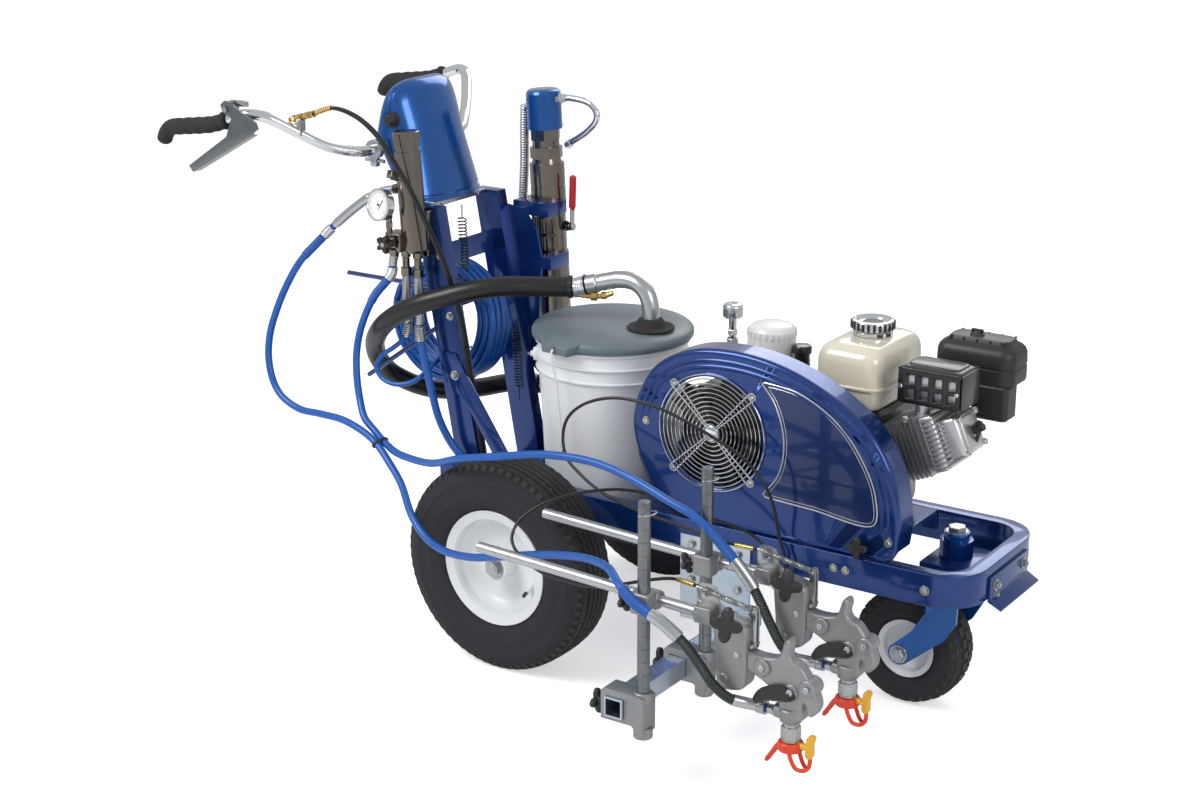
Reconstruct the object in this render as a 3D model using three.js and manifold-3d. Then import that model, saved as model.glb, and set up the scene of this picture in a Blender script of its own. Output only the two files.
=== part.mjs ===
// A walk-behind line striping machine: a two-wheeled frame with a front caster, an engine-driven
// hydraulic pump behind a fan-cooled belt cover, a paint pump with its filter on two leaning posts,
// a pail, and two spray guns on a rack at the near side.
// Millimetres. +X is the direction of travel, +Z is up, and the machine's near side is -Y.
// Every piece is laid out from a datum on the ground under the middle of the rear axle; the last
// lines then move the whole machine so that its origin is the bottom centre of its own box.
import * as THREE from "three";
import { mergeVertices } from "three/addons/utils/BufferGeometryUtils.js";
import Module from "manifold-3d";

const wasm = await Module();
wasm.setup();

// ---------------------------------------------------------------- driving dimensions
const GAP = 0.3; // clearance between two pieces that touch
const SLACK = 4; // clearance where a piece runs freely past another

const REAR = { radius: 210, width: 118, bead: 101, flange: 115.5, axleRadius: 10, track: 575 };
const FRONT = { radius: 112, width: 86, bead: 50, flange: 57, axleRadius: 8, x: 726, trail: 76 };

const RAIL = { outerY: 169, width: 30, height: 61, top: 328, wall: 3, rear: -255, front: 901, corner: 80 };
const DECK = { thickness: 4, low: 270, step: 225, rear: -250, front: 700 };
const BOSS = { radius: 31, height: 70, stem: 17, plate: 6, halfWidth: 60, depth: 113, capRadius: 24 };
const FORK = { arm: 6, armY: 57, crown: 12, crownTop: 262 };

const POST = { innerY: 85, width: 30, depth: 58, base: -226, lean: 0.182, top: 836 };
const HOOD = { halfWidth: 118, taper: 0.14 };
const BAR = { radius: 11, gripRadius: 17, halfSpan: 345, clampY: 124, clampRadius: 20, clampWidth: 14 };

const FILTER = { x: -326, y: -150, radius: 26, bottom: 752, top: 992, capHeight: 32, lean: -0.072 };
const GAUGE = { radius: 32, depth: 20 };
const PUMP = { x: -229, y: 185, z: 800, lean: -0.054, radius: 36, neck: 31, foot: 24 };

const PAIL = { x: 52, topRadius: 150, bottomRadius: 132, height: 354, wall: 3, ring: 5, earHeight: 295 };
const LID = { radius: 160, skirt: 26, wall: 3, holeOffset: 93 };
const ELBOW = { radius: 17, suctionRadius: 13, grommetRadius: 27, grommetHeight: 12 };
const BAIL = { wire: 2.5, reach: 166, length: 186, angle: 33.65, droop: 20 };

const COVER = { face: -165, depth: 58, wall: 3, fanX: 379, fanZ: 507, fanRadius: 112, hingeX: 208, hingeZ: 513 };
const FAN = { hub: 28, blade: 102, blades: 5, pitch: 32, pulley: 78, shaft: 10 };
const ENGINE = { crankX: 575, crankZ: 440, tilt: 23, bore: 110, pulley: 55, near: -92, far: 150 };
const TANK = { x: [513, 654], y: [-45, 165], z: [555, 675], seam: 44 };
const HYD = { x: [235, 450], y: [-10, 170], top: 528, filterRadius: 48, filterHeight: 122, row: 110 };

const RACK = { tube: 36, wall: 3, x: 455, z: 150, near: -612, far: -130 };
const MAST = { x: 500, nearY: -586, farY: -383, radius: 11, bottom: 102, top: 528 };
const ROD = { radius: 9.5, offset: 24, rear: 138, front: 625, z: 347, slope: -0.035 };
const GUN = { offset: 26, width: 26, tipX: 771, inletZ: 203, inletX: 727 };

const HOSE = { gun: 7.5, suction: 20, pump: 8, coil: 7, cable: 3 };
const COIL = { x: -350, z: 575, outer: 140, inner: 86, halfWidth: 34 };

// ---------------------------------------------------------------- finishes
function finish(color, metalness, roughness) {
  return new THREE.MeshStandardMaterial({ color, metalness, roughness });
}
const BLUE = finish(0x123d8c, 0.3, 0.3);
const BRIGHT_BLUE = finish(0x1c5fc4, 0.1, 0.35);
const ZINC = finish(0xb9c0c4, 0.85, 0.35);
const CHROME = finish(0xd0d0d0, 1.0, 0.12);
const NICKEL = finish(0x8f877c, 0.9, 0.3);
const CAST = finish(0x8b8d8e, 0.6, 0.5);
const BLACK = finish(0x161616, 0.0, 0.45);
const RUBBER = finish(0x1b1b1b, 0.0, 0.8);
const WHITE = finish(0xe9eaea, 0.0, 0.4);
const CREAM = finish(0xe8e0c8, 0.0, 0.35);
const GREY = finish(0x69767c, 0.0, 0.5);
const ORANGE = finish(0xe2431b, 0.0, 0.4);
const RED = finish(0xb51420, 0.0, 0.4);

// ---------------------------------------------------------------- solids
// A closed geometry as a manifold solid with its faces turned outwards.
function solid(geometry) {
  const bare = geometry.index ? geometry.toNonIndexed() : geometry.clone();
  for (const name of Object.keys(bare.attributes)) {
    if (name !== "position") bare.deleteAttribute(name);
  }
  const merged = mergeVertices(bare, 1e-4);
  const vertProperties = new Float32Array(merged.attributes.position.array);
  const made = (order) => {
    const triVerts = new Uint32Array(merged.index.array);
    if (order < 0) {
      for (let i = 0; i < triVerts.length; i += 3) {
        [triVerts[i + 1], triVerts[i + 2]] = [triVerts[i + 2], triVerts[i + 1]];
      }
    }
    return new wasm.Manifold(new wasm.Mesh({ numProp: 3, vertProperties, triVerts }));
  };
  const outward = made(1);
  return outward.volume() < 0 ? made(-1) : outward;
}

function join(...solids) {
  return solids.reduce((all, next) => all.add(next));
}

function cut(body, ...tools) {
  return tools.reduce((rest, tool) => rest.subtract(tool), body);
}

function block(x, y, z) {
  const box = new THREE.BoxGeometry(x[1] - x[0], y[1] - y[0], z[1] - z[0]);
  return solid(box.translate((x[0] + x[1]) / 2, (y[0] + y[1]) / 2, (z[0] + z[1]) / 2));
}

// A round bar from one point to another.
function bar(from, to, radius, sides = 12, endRadius = radius) {
  const start = new THREE.Vector3(...from);
  const along = new THREE.Vector3(...to).sub(start);
  const length = along.length();
  const cylinder = new THREE.CylinderGeometry(endRadius, radius, length, sides);
  cylinder.translate(0, length / 2, 0);
  const turn = new THREE.Quaternion().setFromUnitVectors(new THREE.Vector3(0, 1, 0), along.normalize());
  return solid(cylinder.applyQuaternion(turn).translate(...from));
}

// A flat bar of the given width and thickness from one point to another.
function strap(from, to, width, thickness) {
  const start = new THREE.Vector3(...from);
  const end = new THREE.Vector3(...to);
  const box = new THREE.BoxGeometry(width, thickness, start.distanceTo(end));
  const holder = new THREE.Object3D();
  holder.position.copy(start).add(end).multiplyScalar(0.5);
  holder.lookAt(end);
  holder.updateMatrix();
  return solid(box.applyMatrix4(holder.matrix));
}

function curveThrough(points) {
  return new THREE.CatmullRomCurve3(points.map((p) => new THREE.Vector3(...p)), false, "centripetal");
}

function ring(radius, sides) {
  const shape = new THREE.Shape();
  for (let i = 0; i < sides; i += 1) {
    const angle = (2 * Math.PI * i) / sides;
    const step = i === 0 ? "moveTo" : "lineTo";
    shape[step](radius * Math.cos(angle), radius * Math.sin(angle));
  }
  return shape;
}

// A round tube along a smooth curve through the points.
function tube(points, radius, sides, steps) {
  const extrudePath = curveThrough(points);
  return solid(new THREE.ExtrudeGeometry(ring(radius, sides), { steps, extrudePath }));
}

function outlineShape(points) {
  return new THREE.Shape(points.map((p) => new THREE.Vector2(...p)));
}

// A plate whose outline lies in X and Z, between two values of Y.
function sidePlate(points, y) {
  const sheet = new THREE.ExtrudeGeometry(outlineShape(points), { depth: y[1] - y[0], bevelEnabled: false });
  return solid(sheet.rotateX(Math.PI / 2).translate(0, y[1], 0));
}

// A plate whose outline lies in X and Y, between two values of Z.
function floorPlate(points, z) {
  const sheet = new THREE.ExtrudeGeometry(outlineShape(points), { depth: z[1] - z[0], bevelEnabled: false });
  return solid(sheet.translate(0, 0, z[0]));
}

// A profile of [radius, height] pairs turned about a line along Z through (x, y).
function turnedUpright(profile, x, y, sides) {
  const lathe = new THREE.LatheGeometry(profile.map((p) => new THREE.Vector2(...p)), sides);
  return solid(lathe.rotateX(Math.PI / 2).translate(x, y, 0));
}

// A profile of [radius, offset] pairs turned about a line along Y; offsets grow away from the machine.
function turnedAcross(profile, x, y, z, side, sides) {
  const pairs = profile.map(([r, h]) => new THREE.Vector2(r, side * h));
  return solid(new THREE.LatheGeometry(pairs, sides).translate(x, y, z));
}

function closed(profile) {
  return [...profile, profile[0]];
}

function smoothOutline(points, count) {
  const loop = new THREE.CatmullRomCurve3(points.map(([u, v]) => new THREE.Vector3(u, v, 0)), true);
  return loop.getPoints(count).slice(0, -1).map((p) => [p.x, p.y]);
}

// The same outline moved inwards by a distance, for a clockwise or anticlockwise list of points.
function inset(points, distance) {
  const area = points.reduce((sum, [x, y], i) => {
    const [u, v] = points[(i + 1) % points.length];
    return sum + x * v - u * y;
  }, 0);
  const way = Math.sign(area);
  return points.map(([x, y], i) => {
    const [px, py] = points[(i + points.length - 1) % points.length];
    const [nx, ny] = points[(i + 1) % points.length];
    const length = Math.hypot(nx - px, ny - py);
    return [x - (way * distance * (ny - py)) / length, y + (way * distance * (nx - px)) / length];
  });
}

const machine = new THREE.Group();

function addPiece(name, piece, material) {
  const { vertProperties, triVerts, numProp } = piece.getMesh();
  const geometry = new THREE.BufferGeometry();
  if (numProp !== 3) throw new Error(`${name} has more than positions`);
  geometry.setAttribute("position", new THREE.BufferAttribute(vertProperties, 3));
  geometry.setIndex(new THREE.BufferAttribute(triVerts, 1));
  const mesh = new THREE.Mesh(geometry, material);
  mesh.name = name;
  machine.add(mesh);
}

// ---------------------------------------------------------------- frame
const railInner = RAIL.outerY - RAIL.width;
const railBottom = RAIL.top - RAIL.height;
const beamRear = RAIL.front - RAIL.width;

// The rails and the front beam as one outline in plan, set in from the outer face.
function loopOutline(insetBy) {
  const y = RAIL.outerY - insetBy;
  const front = RAIL.front - insetBy;
  const radius = RAIL.corner - insetBy;
  const points = [[RAIL.rear, -y]];
  for (const side of [-1, 1]) {
    for (let i = 0; i <= 6; i += 1) {
      const angle = ((side < 0 ? i - 6 : i) * Math.PI) / 12;
      points.push([front - radius + radius * Math.cos(angle), side * (y - radius) + radius * Math.sin(angle)]);
    }
  }
  points.push([RAIL.rear, y]);
  return points;
}

function frameRing(from, to, z, rear) {
  const outer = loopOutline(from).map(([x, y]) => [x === RAIL.rear ? rear : x, y]);
  const inner = loopOutline(to).map(([x, y]) => [x === RAIL.rear ? rear : x, y]);
  return floorPlate([...outer, ...inner.reverse()], z);
}

function makeFrame() {
  const skin = frameRing(0, RAIL.width, [railBottom, RAIL.top], RAIL.rear);
  const inside = [railBottom + RAIL.wall, RAIL.top - RAIL.wall];
  const hollow = frameRing(RAIL.wall, RAIL.width - RAIL.wall, inside, RAIL.rear - 1);
  const middle = RAIL.outerY - RAIL.width / 2;
  const ear = (side) => {
    const lug = block([-26, 26], [side * middle - 7, side * middle + 7], [REAR.radius - 24, railBottom + 1]);
    const hole = bar([0, side * middle - 10, REAR.radius], [0, side * middle + 10, REAR.radius], REAR.axleRadius + GAP);
    return cut(lug, hole);
  };
  return join(cut(skin, hollow), ear(-1), ear(1));
}

function makeDeck() {
  const y = [-railInner + GAP, railInner - GAP];
  const high = RAIL.top;
  const t = DECK.thickness;
  const tray = block([DECK.rear, DECK.step + t], y, [DECK.low - t, DECK.low]);
  const riser = block([DECK.step, DECK.step + t], y, [DECK.low - t, high]);
  const bed = block([DECK.step, DECK.front], y, [high - t, high]);
  const skirt = (side) => {
    const edge = side * (railInner - GAP);
    const band = [Math.min(edge, edge - side * t), Math.max(edge, edge - side * t)];
    return block([DECK.step, DECK.front], band, [high - 40, high]);
  };
  const cableHole = bar([-174, -110, DECK.low - 10], [-174, -110, DECK.low + 10], 20, 12);
  return cut(join(tray, riser, bed, skirt(-1), skirt(1)), cableHole);
}

const stemX = FRONT.x + FRONT.trail;
const bossTop = railBottom + BOSS.height;

function makeCasterBoss() {
  const w = BOSS.halfWidth;
  const rear = beamRear - GAP - BOSS.depth;
  const shelf = railBottom + 35;
  const saddle = block([rear, beamRear - GAP], [-w, w], [railBottom - 4 - GAP, shelf]);
  const under = block([rear + 6, beamRear - 10], [-w + 6, w - 6], [railBottom - 10, shelf - 6]);
  const tongue = block([beamRear - 12, RAIL.front + GAP + 5], [-w, w], [railBottom - 4 - GAP, railBottom - GAP]);
  const plate = block([RAIL.front + GAP, RAIL.front + GAP + 5], [-80, 88], [railBottom - 4 - GAP, railBottom + 42]);
  const lip = sidePlate(
    [[901.3, 262.7], [928, 250], [930, 254], [906, 268]].map(([x, z]) => [x + RAIL.front - 901, z + railBottom - 267]),
    [-80, 88],
  );
  const barrel = bar([stemX, 0, railBottom - 4 - GAP], [stemX, 0, bossTop], BOSS.radius, 20);
  const bore = bar([stemX, 0, railBottom - 20], [stemX, 0, bossTop + 5], BOSS.stem + GAP, 16);
  return cut(join(cut(saddle, under), tongue, plate, lip, barrel), bore);
}

// ---------------------------------------------------------------- caster and wheels
function makeFork() {
  const crownBottom = FORK.crownTop - FORK.crown;
  const armTop = crownBottom + 2;
  const z = (h) => FRONT.radius + h;
  const outer = FORK.armY + FORK.arm;
  const arm = (side) => {
    const hub = [];
    for (let i = 0; i <= 6; i += 1) {
      const angle = (115 + i * 32) * (Math.PI / 180);
      hub.push([FRONT.x + 22 * Math.cos(angle), z(22 * Math.sin(angle))]);
    }
    const top = [[stemX + 36, armTop], [stemX - 26, armTop], [stemX - 26, z(94)], [FRONT.x + 24, z(52)]];
    const front = [[FRONT.x + 90, z(48)], [stemX + 34, z(84)]];
    const y = side < 0 ? [-outer, -FORK.armY] : [FORK.armY, outer];
    return sidePlate([...top, ...hub, ...front], y);
  };
  const crown = block([stemX - 26, stemX + 36], [-outer, outer], [crownBottom, FORK.crownTop]);
  const stem = bar([stemX, 0, FORK.crownTop - 1], [stemX, 0, bossTop + 2], BOSS.stem, 16);
  const cap = bar([stemX, 0, bossTop + GAP], [stemX, 0, bossTop + 14], BOSS.capRadius, 16);
  const axle = bar([FRONT.x, -outer - 9, FRONT.radius], [FRONT.x, outer + 9, FRONT.radius], FRONT.axleRadius);
  const head = (side) => bar([FRONT.x, side * outer, FRONT.radius], [FRONT.x, side * (outer + 8), FRONT.radius], 13, 6);
  return join(arm(-1), arm(1), crown, stem, cap, axle, head(-1), head(1));
}

// A dished steel rim: two flanges, two bead seats, a well, a web and a hub tube.
function rimProfile(wheel, hubHalf) {
  const half = wheel.width * 0.41;
  const seat = wheel.bead;
  const well = seat * 0.86;
  const lip = wheel.flange;
  return closed([
    [lip, half], [lip, half - 4], [seat, half - 6], [seat, half * 0.55], [well, half * 0.35], [well, -half * 0.35],
    [seat, -half * 0.55], [seat, -half + 6], [lip, -half + 4], [lip, -half], [seat - 4, -half + 2],
    [well - 4, -half * 0.3], [well - 4, 2], [seat * 0.26, 2], [seat * 0.26, -hubHalf],
    [wheel.axleRadius + GAP, -hubHalf], [wheel.axleRadius + GAP, hubHalf], [seat * 0.26, hubHalf],
    [seat * 0.26, 7], [well - 4, 7], [well - 4, half * 0.3], [seat - 4, half - 2],
  ]);
}

function tyreProfile(wheel) {
  const half = wheel.width / 2;
  const rim = wheel.width * 0.41;
  const seat = wheel.bead + GAP;
  const wall = wheel.radius - wheel.flange;
  const at = (share) => wheel.flange + wall * share;
  const outer = [[seat, rim - 7], [wheel.flange + 1, rim - 5], [at(0.2), half * 0.95], [at(0.55), half],
    [at(0.9), half * 0.87], [wheel.radius, half * 0.55]];
  const mirrored = outer.map(([r, h]) => [r, -h]).reverse();
  const inner = [[seat, -rim * 0.62], [at(0.45), -half * 0.8], [at(0.85), -half * 0.5]];
  const back = inner.map(([r, h]) => [r, -h]).reverse();
  return closed([...outer, ...mirrored, ...inner, ...back]);
}

const wheelY = REAR.track / 2;
const hubHalf = 44;

function makeRearAxle() {
  const end = wheelY + hubHalf + 12;
  const shaft = bar([0, -end, REAR.radius], [0, end, REAR.radius], REAR.axleRadius, 12);
  const washer = (side, at) => bar([0, side * at, REAR.radius], [0, side * (at + 3), REAR.radius], 19, 12);
  const nut = (side) => {
    const from = wheelY + hubHalf + GAP + 2;
    return bar([0, side * from, REAR.radius], [0, side * (from + 9), REAR.radius], 15, 6);
  };
  const collarAt = wheelY - hubHalf - GAP - 3;
  const outside = wheelY + hubHalf + GAP;
  return join(shaft, washer(-1, outside), washer(1, outside), washer(-1, collarAt), washer(1, collarAt), nut(-1), nut(1));
}

addPiece("frame_loop", makeFrame(), BLUE);
addPiece("deck", makeDeck(), BLUE);
addPiece("caster_boss", makeCasterBoss(), BLUE);
addPiece("caster_fork", makeFork(), BLUE);
addPiece("front_rim", turnedAcross(rimProfile(FRONT, FORK.armY - 4), FRONT.x, 0, FRONT.radius, -1, 16), WHITE);
addPiece("front_tyre", turnedAcross(tyreProfile(FRONT), FRONT.x, 0, FRONT.radius, -1, 16), RUBBER);
addPiece("rear_axle", makeRearAxle(), ZINC);
for (const [name, side] of [["near", -1], ["far", 1]]) {
  const y = side * wheelY;
  addPiece(`${name}_rim`, turnedAcross(rimProfile(REAR, hubHalf), 0, y, REAR.radius, side, 18), WHITE);
  addPiece(`${name}_tyre`, turnedAcross(tyreProfile(REAR), 0, y, REAR.radius, side, 18), RUBBER);
}

// ---------------------------------------------------------------- posts
const postOuter = POST.innerY + POST.width;
const postX = (z) => POST.base - POST.lean * (z - RAIL.top);

function postOutline(bottom, top) {
  const half = POST.depth / 2;
  return [[postX(bottom) - half, bottom], [postX(bottom) + half, bottom], [postX(top) + half, top], [postX(top) - half, top]];
}

function makePost(side) {
  const y = side < 0 ? [-postOuter, -POST.innerY] : [POST.innerY, postOuter];
  const post = sidePlate(postOutline(DECK.low + GAP, POST.top), y);
  const gusset = side < 0 ? [-postOuter - 6, -postOuter] : [postOuter, postOuter + 6];
  const corner = sidePlate([[-282, 545], [-246, 545], [-226, 512], [-226, 455], [-262, 470]], gusset);
  const brace = strap([-238, side * (postOuter + 4), 500], [-106, side * 148, 350], 34, 6);
  const base = RAIL.top + GAP;
  const foot = sidePlate([[-126, base], [-62, base], [-62, base + 6], [-84, base + 12], [-100, 362], [-126, 366]], [
    side * 150 - 8, side * 150 + 8,
  ]);
  return join(post, corner, brace, foot);
}

function makeNearPost() {
  const y = -postOuter + 8;
  const upperRack = bar([postX(672) - POST.depth / 2 + 3, y, 672], [-550, -84, 663], 5, 10);
  const lowerRack = bar([postX(590) - POST.depth / 2 + 3, y, 590], [-466, -130, 467], 5, 10);
  return join(makePost(-1), upperRack, lowerRack);
}

function makeFarPost() {
  const z = [712, 756];
  const reach = -POST.innerY + GAP;
  const crossPlate = block([postX(733) - 2, postX(733) + 2], [reach, POST.innerY + 1], z);
  const hook = [COIL.x + (COIL.inner - 6.5) * 0.77, COIL.z + (COIL.inner - 6.5) * 0.64];
  const hookRod = bar([hook[0], reach + 1, hook[1]], [hook[0], POST.innerY + 2, hook[1]], 5, 10);
  const shield = sidePlate([[-322, 520], [-212, 500], [-200, 700], [-212, 760], [-245, 800], [-322, 808]], [postOuter, postOuter + 5]);
  const hold = (height) => {
    const x = pumpX(height);
    const arm = block([x - 44, x + 44], [postOuter + 4, PUMP.y], [height - 14, height + 14]);
    return cut(arm, bar([pumpX(height - 30), PUMP.y, height - 30], [pumpX(height + 30), PUMP.y, height + 30], PUMP.radius + GAP, 28));
  };
  return join(makePost(1), crossPlate, hookRod, shield, hold(690), hold(800));
}

// ---------------------------------------------------------------- paint pump
const pumpX = (z) => PUMP.x + PUMP.lean * (z - PUMP.z);

// One stretch of the leaning pump, between two heights.
function pumpStage(bottom, top, radius, sides = 18, topRadius = radius) {
  return bar([pumpX(bottom), PUMP.y, bottom], [pumpX(top), PUMP.y, top], radius, sides, topRadius);
}

function makePumpMotor() {
  const cap = join(pumpStage(956, 1030, PUMP.radius), pumpStage(1030, 1037, PUMP.radius, 28, PUMP.radius - 6));
  const x = pumpX(1010);
  const elbow = bar([x - 26, PUMP.y, 1000], [x - 46, PUMP.y - 4, 992], 10, 12);
  const drop = tube([[x - 44, 181, 1000], [x - 46, 181, 960], [-287, 180, 880], [-291, 176, 780], [-293, 172, 715]], 10, 6, 8);
  const returnTube = tube(
    [[x + 30, PUMP.y, 1018], [x + 70, PUMP.y, 1023], [-122, PUMP.y, 1014], [-108, PUMP.y, 990], [-130, PUMP.y, 962], [-180, PUMP.y, 928]],
    6.5, 6, 8,
  );
  return join(cap, elbow, drop, returnTube);
}

function makePumpCylinder() {
  const nut = pumpStage(934, 956 - GAP, PUMP.radius - 3, 6);
  const neck = pumpStage(918, 935, PUMP.neck - 3);
  const collar = pumpStage(896, 919, PUMP.neck + 3, 8);
  const shoulder = pumpStage(884, 897, PUMP.neck, 28, PUMP.neck - 2);
  const sleeve = pumpStage(642, 885, PUMP.radius);
  const tapX = pumpX(757);
  const tap = bar([tapX + 30, PUMP.y, 757], [tapX + PUMP.radius + 16, PUMP.y, 757], 9, 12);
  return join(nut, neck, collar, shoulder, sleeve, tap);
}

function makePumpIntake() {
  const body = pumpStage(412, 642 - GAP, PUMP.foot + 4);
  const foot = pumpStage(386, 413, PUMP.foot, 8);
  const x = pumpX(404);
  const spigot = bar([x - 10, PUMP.y, 404], [x - 42, PUMP.y, 404], 16, 12);
  const outlet = bar([x + 3, PUMP.y - 6, 430], [-205, 152, 398], 8, 12);
  return join(body, foot, spigot, outlet);
}

function makeValveHandle() {
  const x = pumpX(757) + PUMP.radius + 16 + GAP;
  const boss = bar([x, PUMP.y, 757], [x + 8, PUMP.y, 757], 9, 12);
  const lever = block([x + 2, x + 6], [PUMP.y - 7, PUMP.y + 7], [757, 800]);
  const grip = bar([x + 4, PUMP.y, 795], [x + 6, PUMP.y, 866], 7, 12);
  return join(boss, lever, grip);
}

// ---------------------------------------------------------------- hood, handlebar and filter
function hoodSolid() {
  const profile = [[-312, 838 + GAP], [-372, 1040], [-382, 1063], [-402, 1074], [-426, 1066], [-462, 958], [-452, 944], [-372, 838 + GAP]];
  const sheet = new THREE.ExtrudeGeometry(outlineShape(profile), { depth: 2 * HOOD.halfWidth, bevelEnabled: false, steps: 6 });
  sheet.rotateX(Math.PI / 2).translate(0, HOOD.halfWidth, 0);
  const place = sheet.attributes.position;
  for (let i = 0; i < place.count; i += 1) {
    const rise = (place.getZ(i) - 838) / 236;
    place.setY(i, place.getY(i) * (1 - HOOD.taper * rise));
    const across = place.getY(i) / HOOD.halfWidth;
    const front = place.getX(i) > -400 ? 34 : 12;
    place.setX(i, place.getX(i) - front * across * across);
  }
  return solid(sheet);
}

const barHeight = 942;
const barX = -430;

const barPath = [
  [-619, -BAR.halfSpan, 1015], [-578, -BAR.halfSpan + 1, 1028], [-545, -322, 1024], [-505, -272, 990], [-468, -215, 955],
  [-438, -165, barHeight], [barX, -BAR.clampY - 20, barHeight], [barX, -BAR.clampY, barHeight], [barX, -60, barHeight], [barX, 0, barHeight],
];

function makeHandlebar() {
  const half = [...barPath];
  const other = half.slice(0, -1).reverse().map(([x, y, z]) => [x, -y, z]);
  const pipe = tube([...half, ...other], BAR.radius, 8, 26);
  const clamp = (side) => {
    const y = side * BAR.clampY;
    return bar([barX, y, barHeight], [barX, y + side * BAR.clampWidth, barHeight], BAR.clampRadius, 16);
  };
  const pivotMount = block([-616, -598], [-BAR.halfSpan - 6, -BAR.halfSpan + 10], [1016, 1052]);
  const adjuster = bar([-522, -274, 1016], [-466, -262, 1031], 7, 8);
  const adjusterPost = block([-506, -494], [-278, -262], [985, 1018]);
  return join(pipe, clamp(-1), clamp(1), pivotMount, adjuster, adjusterPost);
}

function makeGrip(side) {
  const y = side * BAR.halfSpan;
  const path = [[-619.5, y, 1014.8], [-660, y, 1002], [-740, y, 990], [-778, y, 984], [-792, y, 970], [-798, y, 952]];
  return tube(path, BAR.gripRadius, 10, 8);
}

function makeLever() {
  const y = [-BAR.halfSpan - 22, -BAR.halfSpan - 17];
  const arm = sidePlate([[-617, 1047], [-607, 1056], [-597, 1054], [-528, 1020], [-524, 1008], [-536, 1000], [-612, 1034]], y);
  const handle = sidePlate([[-530, 1012], [-538, 996], [-700, 906], [-710, 918], [-606, 986], [-590, 1024]], [y[0], y[0] + 26]);
  const wing = sidePlate([[-526, 1016], [-538, 996], [-600, 962], [-590, 1024]], y);
  const room = block([-640, -520], [y[1], y[0] + 40], [992, 1060]);
  const pin = bar([-607, y[0], 1040], [-607, -BAR.halfSpan - 6 - GAP, 1040], 5, 12);
  return join(arm, wing, cut(handle, room), pin);
}

const filterX = (z) => FILTER.x + FILTER.lean * (z - 872);

function makeFilter() {
  const at = (z) => [filterX(z), FILTER.y, z];
  const capFrom = FILTER.top - FILTER.capHeight;
  const bowl = bar(at(FILTER.bottom), at(capFrom - 4), FILTER.radius, 16);
  const groove = bar(at(capFrom - 5), at(capFrom + 1), FILTER.radius - 3, 16);
  const cap = bar(at(capFrom), at(FILTER.top), FILTER.radius - 1, 16);
  const bracket = block([filterX(860) - 22, filterX(860) + 26], [FILTER.y + 16, -postOuter - GAP], [740, 832]);
  const valveBlock = block([-368, -330], [-184, FILTER.y + 4], [754, 792]);
  const valveStem = bar([-352, -183, 773], [-352, -190, 773], 9, 12);
  const hoseSleeve = bar([-340, FILTER.y - 12, 880], [-398, -166, 864], 10, 10);
  const nearSleeve = bar([-398, -166, 864], [-491, -184, 794], 9, 10);
  const drop = (x) => bar([x, FILTER.y, FILTER.bottom + 2], [x, FILTER.y, 604], 9, 12);
  const farSleeve = bar([-347, -180, 760], [-352, -181, 728], 9, 12);
  return join(bowl, groove, cap, bracket, valveBlock, valveStem, hoseSleeve, nearSleeve, drop(-343), drop(-313), farSleeve);
}

function makeGauge() {
  const face = new THREE.Vector3(-366, -206, 851);
  const back = new THREE.Vector3(0.15, 0.97, -0.15).normalize().multiplyScalar(GAUGE.depth).add(face);
  const can = bar(back.toArray(), face.toArray(), GAUGE.radius, 20);
  const stem = bar([-361, -177, 826], [-361, -177, 792 + GAP], 6, 12);
  const turn = bar([-361, -173, 822], [-362, -196, 827], 6, 12);
  return join(can, stem, turn);
}

addPiece("near_post", makeNearPost(), BLUE);
addPiece("far_post", makeFarPost(), BLUE);
addPiece("pump_motor", makePumpMotor(), BRIGHT_BLUE);
addPiece("pump_cylinder", makePumpCylinder(), NICKEL);
addPiece("pump_intake", makePumpIntake(), NICKEL);
addPiece("valve_handle", makeValveHandle(), RED);
const tunnel = bar([barX, -200, barHeight], [barX, 200, barHeight], BAR.radius + 1, 16);
addPiece("control_hood", cut(hoodSolid(), tunnel), BLUE);
addPiece("handlebar", makeHandlebar(), CHROME);
addPiece("near_grip", makeGrip(-1), BLACK);
addPiece("far_grip", makeGrip(1), BLACK);
addPiece("trigger_lever", makeLever(), ZINC);
addPiece("filter_body", makeFilter(), NICKEL);
addPiece("pressure_gauge", makeGauge(), CHROME);
addPiece("drain_knob", bar([-352, -190 - GAP, 773], [-352, -212, 773], 19, 16), BLACK);

// ---------------------------------------------------------------- pail
const pailBottom = DECK.low + GAP;
const pailTop = pailBottom + PAIL.height;
const lidTop = pailTop + GAP + LID.wall + 6;

function makePail() {
  const { topRadius: top, bottomRadius: low, wall, ring: lip } = PAIL;
  const z = (share) => pailBottom + PAIL.height * share;
  const profile = closed([
    [0, z(0)], [low, z(0)], [top - 3, z(0.86)], [top + lip, z(0.865)], [top + lip, z(0.945)], [top, z(0.95)],
    [top, z(1)], [top - wall, z(1)], [top - wall - 2, z(0.86)], [low - wall, z(0) + wall], [0, z(0) + wall],
  ]);
  const ear = (side) => {
    const a = (BAIL.angle * Math.PI) / 180;
    const from = PAIL.topRadius - 8;
    const to = BAIL.reach - BAIL.wire - 2 * GAP;
    const at = (r) => [PAIL.x + side * r * Math.cos(a), side * r * Math.sin(a), pailBottom + PAIL.earHeight];
    return bar(at(from), at(to), 6, 10);
  };
  return join(turnedUpright(profile, PAIL.x, 0, 20), ear(-1), ear(1));
}

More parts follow.
